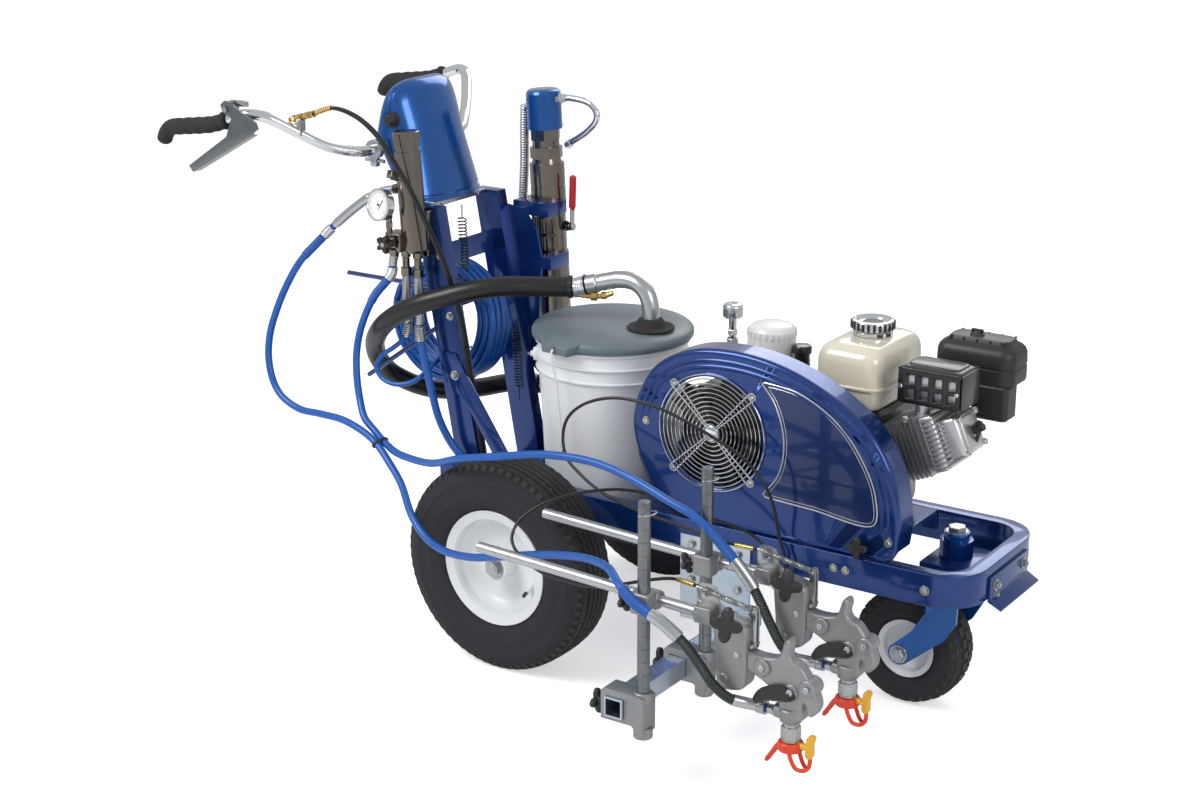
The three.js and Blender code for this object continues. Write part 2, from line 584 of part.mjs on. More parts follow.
function makeLid() {
  const { radius, wall, skirt } = LID;
  const edge = lidTop - 6;
  const profile = closed([
    [0, lidTop], [radius * 0.72, lidTop], [radius * 0.93, lidTop - 3], [radius, edge - 4], [radius, lidTop - skirt],
    [PAIL.topRadius + PAIL.ring + GAP, lidTop - skirt], [PAIL.topRadius + PAIL.ring + GAP, edge - wall], [0, edge - wall],
  ]);
  const hole = bar([PAIL.x + LID.holeOffset, -8, 500], [PAIL.x + LID.holeOffset, -8, 800], ELBOW.radius + GAP + 0.4, 20);
  return cut(turnedUpright(profile, PAIL.x, 0, 20), hole);
}

function makeBail() {
  const a = (BAIL.angle * Math.PI) / 180;
  const d = (BAIL.droop * Math.PI) / 180;
  const points = [];
  for (let i = 0; i <= 16; i += 1) {
    const t = (Math.PI * i) / 16;
    const along = BAIL.reach * Math.cos(t);
    const out = BAIL.length * Math.sin(t) * Math.cos(d);
    const z = pailBottom + PAIL.earHeight - BAIL.length * Math.sin(t) * Math.sin(d);
    points.push([PAIL.x + along * Math.cos(a) - out * Math.sin(a), along * Math.sin(a) + out * Math.cos(a), z]);
  }
  return tube(points, BAIL.wire, 6, 20);
}

function makeElbow() {
  const x = PAIL.x + LID.holeOffset;
  const rise = tube([[x, -8, lidTop - 16], [x, -8, 650], [x - 1, -8, 676], [x - 12, -8, 704], [x - 36, -8, 720],
    [x - 70, -9, 721], [x - 95, -12, 715], [x - 116, -16.2, 709.3], [8, -24, 704]], ELBOW.radius, 10, 12);
  const grommet = bar([x, -8, lidTop + GAP], [x, -8, lidTop + ELBOW.grommetHeight], ELBOW.grommetRadius, 16);
  const dip = bar([x, -8, pailBottom + 30], [x, -8, lidTop - 12], ELBOW.suctionRadius, 10);
  return join(rise, grommet, dip);
}

addPiece("pail", makePail(), WHITE);
addPiece("pail_lid", makeLid(), GREY);
addPiece("pail_bail", makeBail(), ZINC);
addPiece("suction_elbow", makeElbow(), CAST);

// ---------------------------------------------------------------- belt drive
const coverOutline = smoothOutline([
  [330, 331], [273, 347], [218, 435], [203, 497], [214, 553], [250, 612], [322, 655], [417, 668], [511, 658], [602, 626],
  [693, 568], [741, 501], [759, 437], [762, 372], [748, 332], [640, 330.5], [480, 330.5],
], 36).map(([x, z]) => [x, Math.max(z, RAIL.top + 2)]);
const coverBack = COVER.face + COVER.depth;

function makeCover() {
  const shell = sidePlate(coverOutline, [COVER.face, coverBack]);
  const room = sidePlate(inset(coverOutline, COVER.wall), [COVER.face + COVER.wall, coverBack + 1]);
  const opening = bar([COVER.fanX, COVER.face - 5, COVER.fanZ], [COVER.fanX, COVER.face + 5, COVER.fanZ], COVER.fanRadius - 4, 20);
  const below = sidePlate(
    [[180, 446], [236, 446], [304, 356], [312, 338], [744, 338], [744, 310], [180, 310]],
    [COVER.face + COVER.wall, coverBack + 1],
  );
  const ear = bar([COVER.hingeX, coverBack - 6, COVER.hingeZ], [COVER.hingeX, coverBack, COVER.hingeZ], 14, 16);
  const plug = block([COVER.hingeX - 6, COVER.hingeX + 16], [coverBack - 6, coverBack], [COVER.hingeZ - 10, COVER.hingeZ + 10]);
  const hole = bar([COVER.hingeX, coverBack - 12, COVER.hingeZ], [COVER.hingeX, coverBack + 5, COVER.hingeZ], 4.6, 12);
  return cut(join(cut(shell, room, below, opening), ear, plug), hole);
}

function makeHingeArm() {
  const y = [coverBack + GAP, coverBack + GAP + 5];
  const base = RAIL.top + GAP;
  const arm = sidePlate([[194, 513], [200, 526], [214, 528], [224, 516], [250, 440], [300, 380], [322, 346], [322, base], [244, base], [236, 372]], y);
  return join(arm, bar([COVER.hingeX, y[0] - 10, COVER.hingeZ], [COVER.hingeX, y[0] + 2, COVER.hingeZ], 4, 12));
}

function makeGrille() {
  const near = COVER.face - 5;
  const rings = [];
  for (let r = FAN.hub; r < COVER.fanRadius + 2; r += 42) {
    const square = closed([[r, 0], [r + 3, 0], [r + 3, 3], [r, 3]]);
    rings.push(turnedAcross(square, COVER.fanX, near, COVER.fanZ, 1, 16));
  }
  const spoke = (turn) => {
    const a = (turn * Math.PI) / 180;
    const reach = (r) => [COVER.fanX + r * Math.cos(a), near + 2.6, COVER.fanZ + r * Math.sin(a)];
    return strap(reach(FAN.hub), reach(COVER.fanRadius + 10), 3, 4);
  };
  return join(...rings, spoke(45), spoke(135), spoke(225), spoke(315));
}

function makeFan() {
  const at = (y) => [COVER.fanX, y, COVER.fanZ];
  const hub = bar(at(COVER.face + 8), at(COVER.face + 34), FAN.hub, 14);
  const blades = [];
  for (let i = 0; i < FAN.blades; i += 1) {
    const blade = new THREE.BoxGeometry(FAN.blade - FAN.hub + 6, 2.5, 44);
    blade.rotateX((FAN.pitch * Math.PI) / 180).translate((FAN.blade + FAN.hub - 6) / 2, 0, 0);
    blade.rotateY((2 * Math.PI * i) / FAN.blades).translate(COVER.fanX, COVER.face + 21, COVER.fanZ);
    blades.push(solid(blade));
  }
  const pulley = bar(at(COVER.face + 38), at(COVER.face + 54), FAN.pulley, 18);
  const shaft = bar(at(COVER.face + 30), at(-98), FAN.shaft, 10);
  return join(hub, ...blades, pulley, shaft);
}

function makeEnginePulley() {
  const at = (y) => [ENGINE.crankX, y, ENGINE.crankZ];
  return join(
    bar(at(COVER.face + 38), at(COVER.face + 54), ENGINE.pulley, 18),
    bar(at(COVER.face + 30), at(ENGINE.near - GAP), 14, 16),
  );
}

addPiece("belt_cover", makeCover(), BLUE);
addPiece("fan_grille", makeGrille(), CHROME);
addPiece("cooling_fan", makeFan(), BLACK);
addPiece("engine_pulley", makeEnginePulley(), CAST);
addPiece("hinge_arm", makeHingeArm(), GREY);

// ---------------------------------------------------------------- engine
const engineBase = RAIL.top + GAP;

function makeEngineBlock() {
  const { crankX, crankZ, near, far } = ENGINE;
  const foot = block([crankX - 72, crankX + 80], [-60, 110], [engineBase, engineBase + 12]);
  const crankcase = block([crankX - 70, crankX + 78], [-80, far], [engineBase + 10, 520]);
  const shroud = block([crankX - 60, crankX + 72], [-30, far], [518, TANK.z[0] - GAP]);
  const nose = bar([crankX, near, crankZ], [crankX, -78, crankZ], 38, 16);
  const slope = (ENGINE.tilt * Math.PI) / 180;
  const alongBore = (d) => [crankX + d * Math.cos(slope), crankZ + d * Math.sin(slope)];
  const slab = (from, to, thick, y) => {
    const [x, z] = alongBore((from + to) / 2);
    const box = new THREE.BoxGeometry(to - from, y[1] - y[0], thick);
    return solid(box.rotateY(-slope).translate(x, (y[0] + y[1]) / 2, z));
  };
  const fins = [];
  for (let d = 76; d < 190; d += 28) fins.push(slab(d, d + 12, ENGINE.bore, [-40, 72]));
  const barrel = slab(40, 200, ENGINE.bore - 24, [-28, 60]);
  const head = slab(190, 222, ENGINE.bore + 4, [-42, 74]);
  const valveCover = slab(220, 262, ENGINE.bore - 28, [-28, 60]);
  const skirt = block([crankX + 60, crankX + 190], [-36, 66], [420, 470]);
  const pipe = bar([725, -6, 540], [725, -6, 590 - GAP], 14, 14);
  const recoil = bar([crankX, far - 1, crankZ], [crankX, far + 58, crankZ], 92, 22);
  const rope = block([crankX + 56, crankX + 88], [far + 20, far + 58], [490, 512]);
  return join(foot, crankcase, shroud, nose, barrel, head, valveCover, ...fins, skirt, pipe, recoil, rope);
}

function roundedBox(x, y, z, r) {
  const shape = [];
  const corners = [[x[1] - r, y[1] - r, 0], [x[0] + r, y[1] - r, 90], [x[0] + r, y[0] + r, 180], [x[1] - r, y[0] + r, 270]];
  for (const [u, v, start] of corners) {
    for (let i = 0; i <= 3; i += 1) {
      const a = ((start + i * 30) * Math.PI) / 180;
      shape.push([u + r * Math.cos(a), v + r * Math.sin(a)]);
    }
  }
  return floorPlate(shape, z);
}

function makeFuelTank() {
  const { x, y, z, seam } = TANK;
  const low = roundedBox([x[0] + 6, x[1] - 6], [y[0] + 6, y[1] - 6], [z[0], z[0] + seam], 22);
  const rim = roundedBox(x, y, [z[0] + seam - 3, z[0] + seam + 3], 26);
  const high = roundedBox([x[0] + 3, x[1] - 3], [y[0] + 3, y[1] - 3], [z[0] + seam, z[1] - 14], 26);
  const crown = roundedBox([x[0] + 14, x[1] - 14], [y[0] + 14, y[1] - 14], [z[1] - 16, z[1]], 30);
  return join(low, rim, high, crown);
}

const capAt = [586, 62];

function makeMuffler() {
  const x = [690, 815];
  const y = [-45, 38];
  const can = roundedBox(x, y, [590, 654], 12);
  const top = roundedBox([x[0] + 10, x[1] - 10], [y[0] + 10, y[1] - 10], [652, 663], 10);
  return join(can, top);
}

function makeAirCleaner() {
  const cover = roundedBox([692, 848], [98, 190], [600, 672], 20);
  const top = roundedBox([704, 836], [110, 178], [670, 683], 16);
  const nutTop = bar([760, 140, 682], [760, 140, 694], 12, 6);
  const elbow = block([770, 842], [98, 150], [536, 602]);
  const neck = block([700, 760], [74 + GAP, 120], [540, 602]);
  return join(cover, top, nutTop, elbow, neck);
}

function makeStarterGrip() {
  const y = ENGINE.far + 58 + GAP;
  const x = ENGINE.crankX + 72;
  return join(bar([x, y, 501], [x, y + 12, 501], 7, 12), bar([x - 26, y + 19, 501], [x + 26, y + 19, 501], 9, 12));
}

function makeHydraulicTank() {
  const { x, y, top, row } = HYD;
  const tank = roundedBox(x, y, [engineBase, top], 16);
  const pumpBody = bar([COVER.fanX, -98 + GAP, COVER.fanZ], [COVER.fanX, y[0] + 2, COVER.fanZ], 42, 18);
  const foot = block([COVER.fanX - 30, COVER.fanX + 30], [-70, y[0] + 2], [engineBase, COVER.fanZ - 30]);
  const breather = bar([415, row, top - 2], [415, row, 613], 16, 12);
  const breatherCap = bar([415, row, 598], [415, row, 615], 18.4, 16);
  const knobSeat = bar([260, row, top - 2], [260, row, 606], 13, 12);
  return join(tank, pumpBody, foot, breather, breatherCap, knobSeat);
}

function makeOilFilter() {
  const { top, filterRadius: r, filterHeight: h, row } = HYD;
  const z = top + GAP;
  const profile = [[0, z], [r - 3, z], [r, z + 5], [r, z + h - 14], [r - 5, z + h - 5], [r - 14, z + h], [0, z + h]];
  return turnedUpright(closed(profile), 348, row, 20);
}

function makePressureKnob() {
  const at = (z) => [260, HYD.row, z];
  return join(bar(at(606 + GAP), at(648), 8, 12), bar(at(646), at(674), 20, 20));
}

addPiece("engine_block", makeEngineBlock(), CAST);
addPiece("fuel_tank", makeFuelTank(), CREAM);
addPiece("fuel_cap", join(
  bar([...capAt, TANK.z[1] + GAP], [...capAt, TANK.z[1] + 10], 38, 20),
  bar([...capAt, TANK.z[1] + 8], [...capAt, TANK.z[1] + 30], 42, 12),
), CHROME);
addPiece("muffler", makeMuffler(), BLACK);
addPiece("air_cleaner", makeAirCleaner(), BLACK);
addPiece("starter_grip", makeStarterGrip(), BLACK);
addPiece("hydraulic_tank", makeHydraulicTank(), BLACK);
addPiece("oil_filter", makeOilFilter(), WHITE);
addPiece("pressure_knob", makePressureKnob(), CHROME);

// ---------------------------------------------------------------- gun rack
function squareTube(grow, from, to) {
  const half = RACK.tube / 2 + grow;
  return block([RACK.x - half, RACK.x + half], [from, to], [RACK.z - half, RACK.z + half]);
}

function makeCrossbar() {
  const pipe = cut(squareTube(0, RACK.near, RACK.far), squareTube(-RACK.wall, RACK.near - 1, RACK.far + 1));
  const face = -RAIL.outerY - GAP;
  const hanger = block([320, 470], [face - 5, face], [RACK.z - 20, 300]);
  const room = squareTube(-RACK.wall, -RAIL.outerY - 20, face + 1);
  return join(pipe, cut(hanger, room));
}

const rodZ = (x) => ROD.z + ROD.slope * (x - MAST.x);

function makeMast(y) {
  const mast = bar([MAST.x, y, MAST.bottom], [MAST.x, y, MAST.top], MAST.radius, 12);
  const half = RACK.tube / 2;
  const shoe = block([RACK.x - half - 9, MAST.x - 4], [y - 22, y + 22], [MAST.bottom + 2, RACK.z + half + 12]);
  const rodY = y + ROD.offset;
  const rod = bar([ROD.rear, rodY, rodZ(ROD.rear)], [ROD.front, rodY, rodZ(ROD.front)], ROD.radius, 12);
  const clamp = block([MAST.x - 30, MAST.x + 17], [y - 6, rodY + 13], [rodZ(MAST.x) - 16, rodZ(MAST.x) + 16]);
  const wing = bar([MAST.x - 24, y, rodZ(MAST.x)], [MAST.x - 56, y - 4, rodZ(MAST.x) - 14], 6, 8);
  return cut(join(mast, shoe, clamp, rod, wing), squareTube(GAP, y - 30, y + 30));
}

// One spray gun on the front end of a mast's rod.
function makeGun(mastY) {
  const y = mastY + GUN.offset;
  const half = GUN.width / 2;
  const rodY = mastY + ROD.offset;
  const casting = sidePlate([
    [648, 318], [700, 300], [735, 300], [752, 306], [764, 337], [772, 330], [770, 306], [790, 297], [822, 249], [822, 219],
    [806, 212], [802, 222], [800, 236], [797, 226], [797, 200], [754, 190], [753, 222], [745, 240], [705, 262], [690, 268],
    [648, 290],
  ], [y - half, y + half]);
  const clamp = sidePlate([[632, 350], [690, 340], [690, 232], [640, 222]], [y - 18, y + 18]);
  const shelf = sidePlate([[583, 330], [583, 392], [621, 388], [624, 362], [680, 345], [684, 300], [636, 300]], [rodY + 12, rodY + 16]);
  const grip = block([588, 622], [rodY - 14, rodY + 14], [328, 360]);
  const rodHole = bar([560, rodY, rodZ(560)], [ROD.front + 1, rodY, rodZ(ROD.front)], ROD.radius + GAP + 0.4, 12);
  const spring = bar([584, rodY + 9, 384], [700, rodY + 9, 366], 5, 8);
  const link = block([690, 702], [rodY - 2, rodY + 14], [300, 372]);
  const knobStem = bar([668, y - 16, 344], [668, y - 34, 350], 8, 10);
  const knob = bar([668, y - 32, 350], [668, y - 46, 354], 30, 8);
  const collar = bar([GUN.tipX, y, 182], [GUN.tipX, y, 196], 13, 12);
  const nut = bar([GUN.tipX, y, 156], [GUN.tipX, y, 184], 17, 6);
  const inlet = bar([760, y, GUN.inletZ], [GUN.inletX + GAP, y, GUN.inletZ], 8, 12);
  return cut(join(casting, clamp, shelf, grip, spring, link, knobStem, knob, collar, nut, inlet), rodHole);
}

function makeTrigger(mastY) {
  const near = mastY + GUN.offset - GUN.width / 2 - GAP;
  return sidePlate([[708, 224], [716, 240], [752, 258], [772, 256], [786, 243], [768, 232], [735, 226], [712, 216]], [near - 6, near]);
}

function makeTipGuard(mastY) {
  const y = mastY + GUN.offset;
  const x = GUN.tipX;
  const ringPart = cut(bar([x, y, 140], [x, y, 156 - GAP], 21, 14), bar([x, y, 130], [x, y, 149], 14, 12));
  const rearLeg = bar([x - 14, y, 147], [x - 42, y, 113], 4.5, 8);
  const loop = tube([[x + 6, y - 14, 144], [x + 12, y - 12, 124], [x + 18, y - 6, 112], [x + 34, y, 118], [x + 36, y, 140]], 4, 6, 8);
  const key = block([x + 31, x + 41], [y - 5, y + 5], [122, 174]);
  const turret = bar([x + 14, y, 148], [x + 34, y, 152], 6, 10);
  return join(ringPart, rearLeg, loop, key, turret);
}

addPiece("crossbar", makeCrossbar(), ZINC);
for (const [name, y] of [["near", MAST.nearY], ["far", MAST.farY]]) {
  addPiece(`${name}_mast`, makeMast(y), ZINC);
  addPiece(`${name}_gun`, makeGun(y), CAST);
  addPiece(`${name}_trigger`, makeTrigger(y), BLACK);
  addPiece(`${name}_tip_guard`, makeTipGuard(y), ORANGE);
}

// ---------------------------------------------------------------- hoses and cables
const nearGunHose = [
  [-497, -185, 789], [-533, -195, 752], [-575, -205, 707], [-607, -215, 652], [-626, -225, 603], [-639, -235, 550],
  [-636, -245, 499], [-619, -252, 456], [-590, -258, 430], [-541, -262, 414], [-485, -265, 415], [-415, -270, 414],
  [-333, -282, 392], [-277, -300, 358], [-234, -320, 331], [-174, -362, 288], [-124, -382, 261], [-70, -398, 252],
  [10, -420, 264], [93, -440, 290], [180, -462, 320], [260, -488, 346], [340, -520, 368], [410, -558, 379],
  [455, -594, 372], [499, -610, 352], [548, -611, 334], [592, -608, 304], [622, -604, 270], [645, -600, 240],
  [668, -588, 217], [688, -571, 207], [706, -561.5, 203.3], [GUN.inletX - 2 * GAP, -560, GUN.inletZ],
];
const farGunHose = [
  [-352.1, -181, 727.2], [-355, -181.6, 708], [-393, -192, 659], [-421, -200, 597], [-428, -210, 546], [-418, -225, 499],
  [-399, -240, 453], [-375, -256, 424], [-345, -262, 404], [-313, -272, 389], [-275, -285, 379], [-216, -305, 381],
  [-148, -330, 393], [-55, -364, 430], [38, -374, 455], [155, -376, 482], [263, -378, 488], [346, -388, 478],
  [430, -401, 458], [497, -404, 436], [552, -404, 392], [597, -396, 338], [620, -398, 306], [642, -397, 266],
  [660, -394, 236], [676, -382, 214], [694, -364, 204.5], [709, -358, 203], [GUN.inletX - GAP, -357, GUN.inletZ],
];
const suctionHose = [
  [7.3, -24.3, 703.8], [-14, -32, 699], [-72, -66, 698], [-134, -118, 700], [-185, -153, 691], [-230, -174, 677],
  [-280, -190, 659], [-328, -194, 634], [-370, -187, 606], [-413, -162, 570], [-447, -130, 534], [-463, -100, 496],
  [-464, -65, 459], [-444, -30, 431], [-414, 5, 412], [-378, 48, 403], [-347, 98, 401], [-322, 145, 402],
  [-292, 180, 404], [-272, 185, 404], [-250.3, 185, 404],
];
const pumpHose = [
  [-313, -150, 604 - GAP], [-313, -150, 586], [-306, -150, 546], [-292, -148, 484], [-274, -143, 408], [-248, -132, 352], [-215, -127, 322],
  [-175, -126, 303], [-150, -98, 294], [-146, -40, 290], [-148, 30, 290], [-160, 85, 306], [-182, 125, 345],
  [-203, 150, 392],
];
const coilLead = [
  [-343, -150, 604 - GAP], [-343, -150, 590], [-350, -153, 570], [-370, -160, 550], [-397, -170, 528], [-406, -176, 505], [-392, -179, 486],
  [-357, -178, 477], [-324, -162, 484], [-312, -140, 498], [-308, -110, 512], [-312, -75, 520], [-330, -52, 500],
  [-345, -44, 474],
];

// A gun's control cable: adjuster, filter, post, under the deck and out to the gun's bracket.
function cableRoute(shift, loose) {
  const upper = [
    [-463, -262, 1032], [-432, -247, 1042], [-391, -228, 1027], [-352, -211, 990], [-322, -200, 940], [-298, -191, 898],
    [-280, -181, 855], [-261, -167, 800], [-245, -152, 745], [-230, -136, 670], [-224, -118, 600], [-222, -106, 530],
    [-207, -104, 440], [-192, -104, 350], [-184, -105, 292], [-177, -107, 262], [-168, -110, 250],
  ];
  const hidden = [[-140, -115, 247], [-40, -122, 249], [150, -122, 253], [380, -122, 253], [490, -124, 250]];
  const crossing = [[530, -152, 244], [548, -182, 253], [553, -190, 282]];
  const out = crossing.map(([x, y, z]) => [x + shift * 2, y, z]);
  return [...upper, ...hidden].map(([x, y, z]) => [x, y + shift, z]).concat(out, loose);
}
const farCable = cableRoute(0, [
  [548, -186, 312], [540, -190, 339], [538, -200, 375], [535, -206, 405], [520, -215, 448], [486, -222, 488],
  [434, -230, 518], [359, -236, 548], [285, -242, 567], [209, -248, 566], [150, -255, 543], [122, -262, 513],
  [118, -270, 480], [134, -282, 446], [170, -292, 424], [217, -302, 405], [256, -310, 397], [321, -322, 390],
  [416, -338, 388], [508, -354, 384], [582, -353, 384],
]);
const nearCable = cableRoute(-8, [
  [532, -199, 308], [515, -204, 326], [492, -208, 344], [449, -225, 362], [385, -250, 381], [336, -275, 406], [278, -310, 419],
  [233, -345, 418], [188, -375, 407], [154, -400, 390], [127, -425, 363], [125, -445, 340], [140, -460, 326],
  [173, -475, 315], [225, -490, 305], [294, -505, 309], [351, -520, 318], [419, -531, 342], [482, -537, 367],
  [535, -546, 384], [582, -553, 385],
]);
const coilProfile = closed([
  [COIL.inner, -COIL.halfWidth], [COIL.outer, -COIL.halfWidth], [COIL.outer, COIL.halfWidth], [COIL.inner, COIL.halfWidth],
]);

addPiece("near_gun_hose", tube(nearGunHose, HOSE.gun, 8, 34), BRIGHT_BLUE);
addPiece("far_gun_hose", tube(farGunHose, HOSE.gun, 8, 30), BRIGHT_BLUE);
addPiece("suction_hose", tube(suctionHose, HOSE.suction, 10, 18), BLACK);
addPiece("pump_hose", tube(pumpHose, HOSE.pump, 8, 14), BRIGHT_BLUE);
addPiece("coil_lead", tube(coilLead, HOSE.coil - 2, 8, 16), BRIGHT_BLUE);
addPiece("hose_coil", turnedAcross(coilProfile, COIL.x, 0, COIL.z, 1, 24), BRIGHT_BLUE);
addPiece("near_gun_cable", tube(nearCable, HOSE.cable, 8, 40), BLACK);
addPiece("far_gun_cable", tube(farCable, HOSE.cable, 8, 40), BLACK);

// ---------------------------------------------------------------- origin
// The origin is the bottom centre of the machine without its loose hoses and cables.
const LOOSE = ["near_gun_hose", "far_gun_hose", "suction_hose", "pump_hose", "coil_lead", "hose_coil", "near_gun_cable", "far_gun_cable"];
const box = new THREE.Box3();
for (const mesh of machine.children) {
  if (!LOOSE.includes(mesh.name)) box.expandByObject(mesh);
}
const centre = box.getCenter(new THREE.Vector3());
for (const mesh of machine.children) mesh.position.set(-centre.x, -centre.y, -box.min.z);

export default machine;
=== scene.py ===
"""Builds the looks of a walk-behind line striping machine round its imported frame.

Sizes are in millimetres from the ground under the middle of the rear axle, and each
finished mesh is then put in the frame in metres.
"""

import logging
import math
from dataclasses import dataclass, field
from enum import Enum
from functools import cache
from typing import Callable, Iterable, Sequence

import bmesh
import bpy
from mathutils import Matrix, Vector


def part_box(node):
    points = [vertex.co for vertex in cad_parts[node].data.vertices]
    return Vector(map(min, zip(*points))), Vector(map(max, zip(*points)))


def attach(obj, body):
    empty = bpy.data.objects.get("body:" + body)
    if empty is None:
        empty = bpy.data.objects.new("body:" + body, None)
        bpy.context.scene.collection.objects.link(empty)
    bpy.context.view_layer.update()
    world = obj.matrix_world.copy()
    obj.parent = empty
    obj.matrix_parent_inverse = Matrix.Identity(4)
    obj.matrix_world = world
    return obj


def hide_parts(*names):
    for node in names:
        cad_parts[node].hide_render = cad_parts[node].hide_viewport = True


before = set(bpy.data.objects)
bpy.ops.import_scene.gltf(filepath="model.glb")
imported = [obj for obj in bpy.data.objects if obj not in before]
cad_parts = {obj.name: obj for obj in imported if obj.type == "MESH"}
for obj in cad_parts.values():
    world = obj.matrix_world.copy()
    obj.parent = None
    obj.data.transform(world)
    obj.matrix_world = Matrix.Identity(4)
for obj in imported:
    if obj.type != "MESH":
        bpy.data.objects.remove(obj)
LOG = logging.getLogger("striper")
Point = Sequence[float]
Outline = Sequence[Sequence[float]]

AXLE_HEIGHT = 0.21  # metres, from the ground to the middle of the rear axle
BUMP_DISTANCE = 0.001
COAT_ROUGHNESS = 0.05
SPAN_STEPS = 24  # pieces that a curve has between two of its points before it is evened out
WELD = 1e-4  # millimetres between points that are joined into one


class Axis(Enum):
    """The line that a turned piece is made about."""

    X = 0
    Y = 1
    Z = 2


@dataclass
class Datum:
    """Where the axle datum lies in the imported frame."""

    shift: Vector = field(default_factory=Vector)

    def find(self) -> None:
        """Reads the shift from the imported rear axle, whose middle is on the datum."""
        low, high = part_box("rear_axle")
        self.shift = (low + high) / 2 - Vector((0, 0, AXLE_HEIGHT))

    def matrix(self) -> Matrix:
        """Returns the matrix from drawing millimetres to frame metres."""
        return Matrix.Translation(self.shift) @ Matrix.Scale(0.001, 4)


DATUM = Datum()


# ------------------------------------------------------------------ shader groups
class Tree:
    """A node tree under construction, with its group input and output."""

    def __init__(self, name: str, kind: str) -> None:
        """Starts an empty tree.

        Args:
            name: the tree's name.
            kind: ShaderNodeTree or GeometryNodeTree.
        """
        self.tree = bpy.data.node_groups.new(name, kind)
        self.inside = self.tree.nodes.new("NodeGroupInput")
        self.outside = self.tree.nodes.new("NodeGroupOutput")

    def node(self, kind: str, **values: object) -> bpy.types.Node:
        """Adds a node, as add_node does."""
        return add_node(self.tree, kind, **values)

    def wire(self, start: bpy.types.NodeSocket, end: bpy.types.NodeSocket) -> None:
        """Links an output socket to an input socket."""
        self.tree.links.new(start, end)


class ShaderGroup(Tree):
    """A shared effect: a shader node group with named inputs and outputs."""

    def __init__(self, name: str) -> None:
        """Starts an empty group called name."""
        super().__init__(name, "ShaderNodeTree")

    def socket(self, name: str, kind: str, default: object = None, output: bool = False) -> None:
        """Adds one input or output.

        Args:
            name: the socket's name.
            kind: Float, Color or Vector.
            default: an input's value where nothing is linked.
            output: true for an output.
        """
        made = self.tree.interface.new_socket(
            name, in_out="OUTPUT" if output else "INPUT", socket_type=f"NodeSocket{kind}"
        )
        if default is not None:
            made.default_value = default


def add_node(tree: bpy.types.NodeTree, kind: str, **values: object) -> bpy.types.Node:
    """Adds a node to a tree.

    Args:
        tree: the material's or group's tree.
        kind: the node's type, without its prefix where that is ShaderNode.
        values: the node's own settings, or input values by name, with an underscore for a space.

    Returns:
        The new node.
    """
    node = tree.nodes.new(kind if kind.startswith("GeometryNode") else f"ShaderNode{kind}")
    for key, value in values.items():
        if hasattr(node, key):
            setattr(node, key, value)
        else:
            node.inputs[key.replace("_", " ")].default_value = value
    return node


@cache
def variation_group() -> bpy.types.NodeTree:
    """Makes the uneven colour and gloss that any worked surface has.

    Returns:
        A group that puts out a colour and a roughness.
    """
    g = ShaderGroup("surface_variation")
    g.socket("Vector", "Vector")
    g.socket("Color", "Color", (0.5, 0.5, 0.5, 1))
    g.socket("Second", "Color", (0.4, 0.4, 0.4, 1))
    g.socket("Scale", "Float", 20.0)
    g.socket("Share", "Float", 0.3)
    g.socket("Roughness", "Float", 0.4)
    g.socket("Spread", "Float", 0.08)
    g.socket("Color", "Color", output=True)
    g.socket("Roughness", "Float", output=True)
    noise = g.node("TexNoise", Detail=6.0, Roughness=0.62)
    fine = g.node("TexNoise", Detail=3.0)
    finer = g.node("Math", operation="MULTIPLY")
    finer.inputs[1].default_value = 5.3
    sharpen = g.node("MapRange", From_Min=0.35, From_Max=0.65)
    share = g.node("Math", operation="MULTIPLY")
    mix = g.node("Mix", data_type="RGBA")
    swing = g.node("Math", operation="SUBTRACT")
    swing.inputs[1].default_value = 0.5
    spread = g.node("Math", operation="MULTIPLY_ADD", use_clamp=True)
    w = g.wire
    i = g.inside.outputs
    w(i["Vector"], noise.inputs["Vector"])
    w(i["Vector"], fine.inputs["Vector"])
    w(i["Scale"], noise.inputs["Scale"])
    w(i["Scale"], finer.inputs[0])
    w(finer.outputs[0], fine.inputs["Scale"])
    w(noise.outputs["Fac"], sharpen.inputs["Value"])
    w(sharpen.outputs[0], share.inputs[0])
    w(i["Share"], share.inputs[1])
    w(share.outputs[0], mix.inputs[0])
    w(i["Color"], mix.inputs[6])
    w(i["Second"], mix.inputs[7])
    w(mix.outputs[2], g.outside.inputs["Color"])
    w(fine.outputs["Fac"], swing.inputs[0])
    w(swing.outputs[0], spread.inputs[0])
    w(i["Spread"], spread.inputs[1])
    w(i["Roughness"], spread.inputs[2])
    w(spread.outputs[0], g.outside.inputs["Roughness"])
    return g.tree


@cache
def grain_group() -> bpy.types.NodeTree:
    """Makes a fine raised grain: orange peel, sand-cast skin or moulded texture.

    Returns:
        A group that puts out a height.
    """
    g = ShaderGroup("fine_grain")
    g.socket("Vector", "Vector")
    g.socket("Scale", "Float", 400.0)
    g.socket("Pits", "Float", 0.3)
    g.socket("Height", "Float", output=True)
    noise = g.node("TexNoise", Detail=4.0)
    cells = g.node("TexVoronoi", feature="F1")
    mix = g.node("Mix", data_type="FLOAT")
    w = g.wire
    i = g.inside.outputs
    for texture in (noise, cells):
        w(i["Vector"], texture.inputs["Vector"])
        w(i["Scale"], texture.inputs["Scale"])
    w(i["Pits"], mix.inputs[0])
    w(noise.outputs["Fac"], mix.inputs[2])
    w(cells.outputs["Distance"], mix.inputs[3])
    w(mix.outputs[0], g.outside.inputs["Height"])
    return g.tree


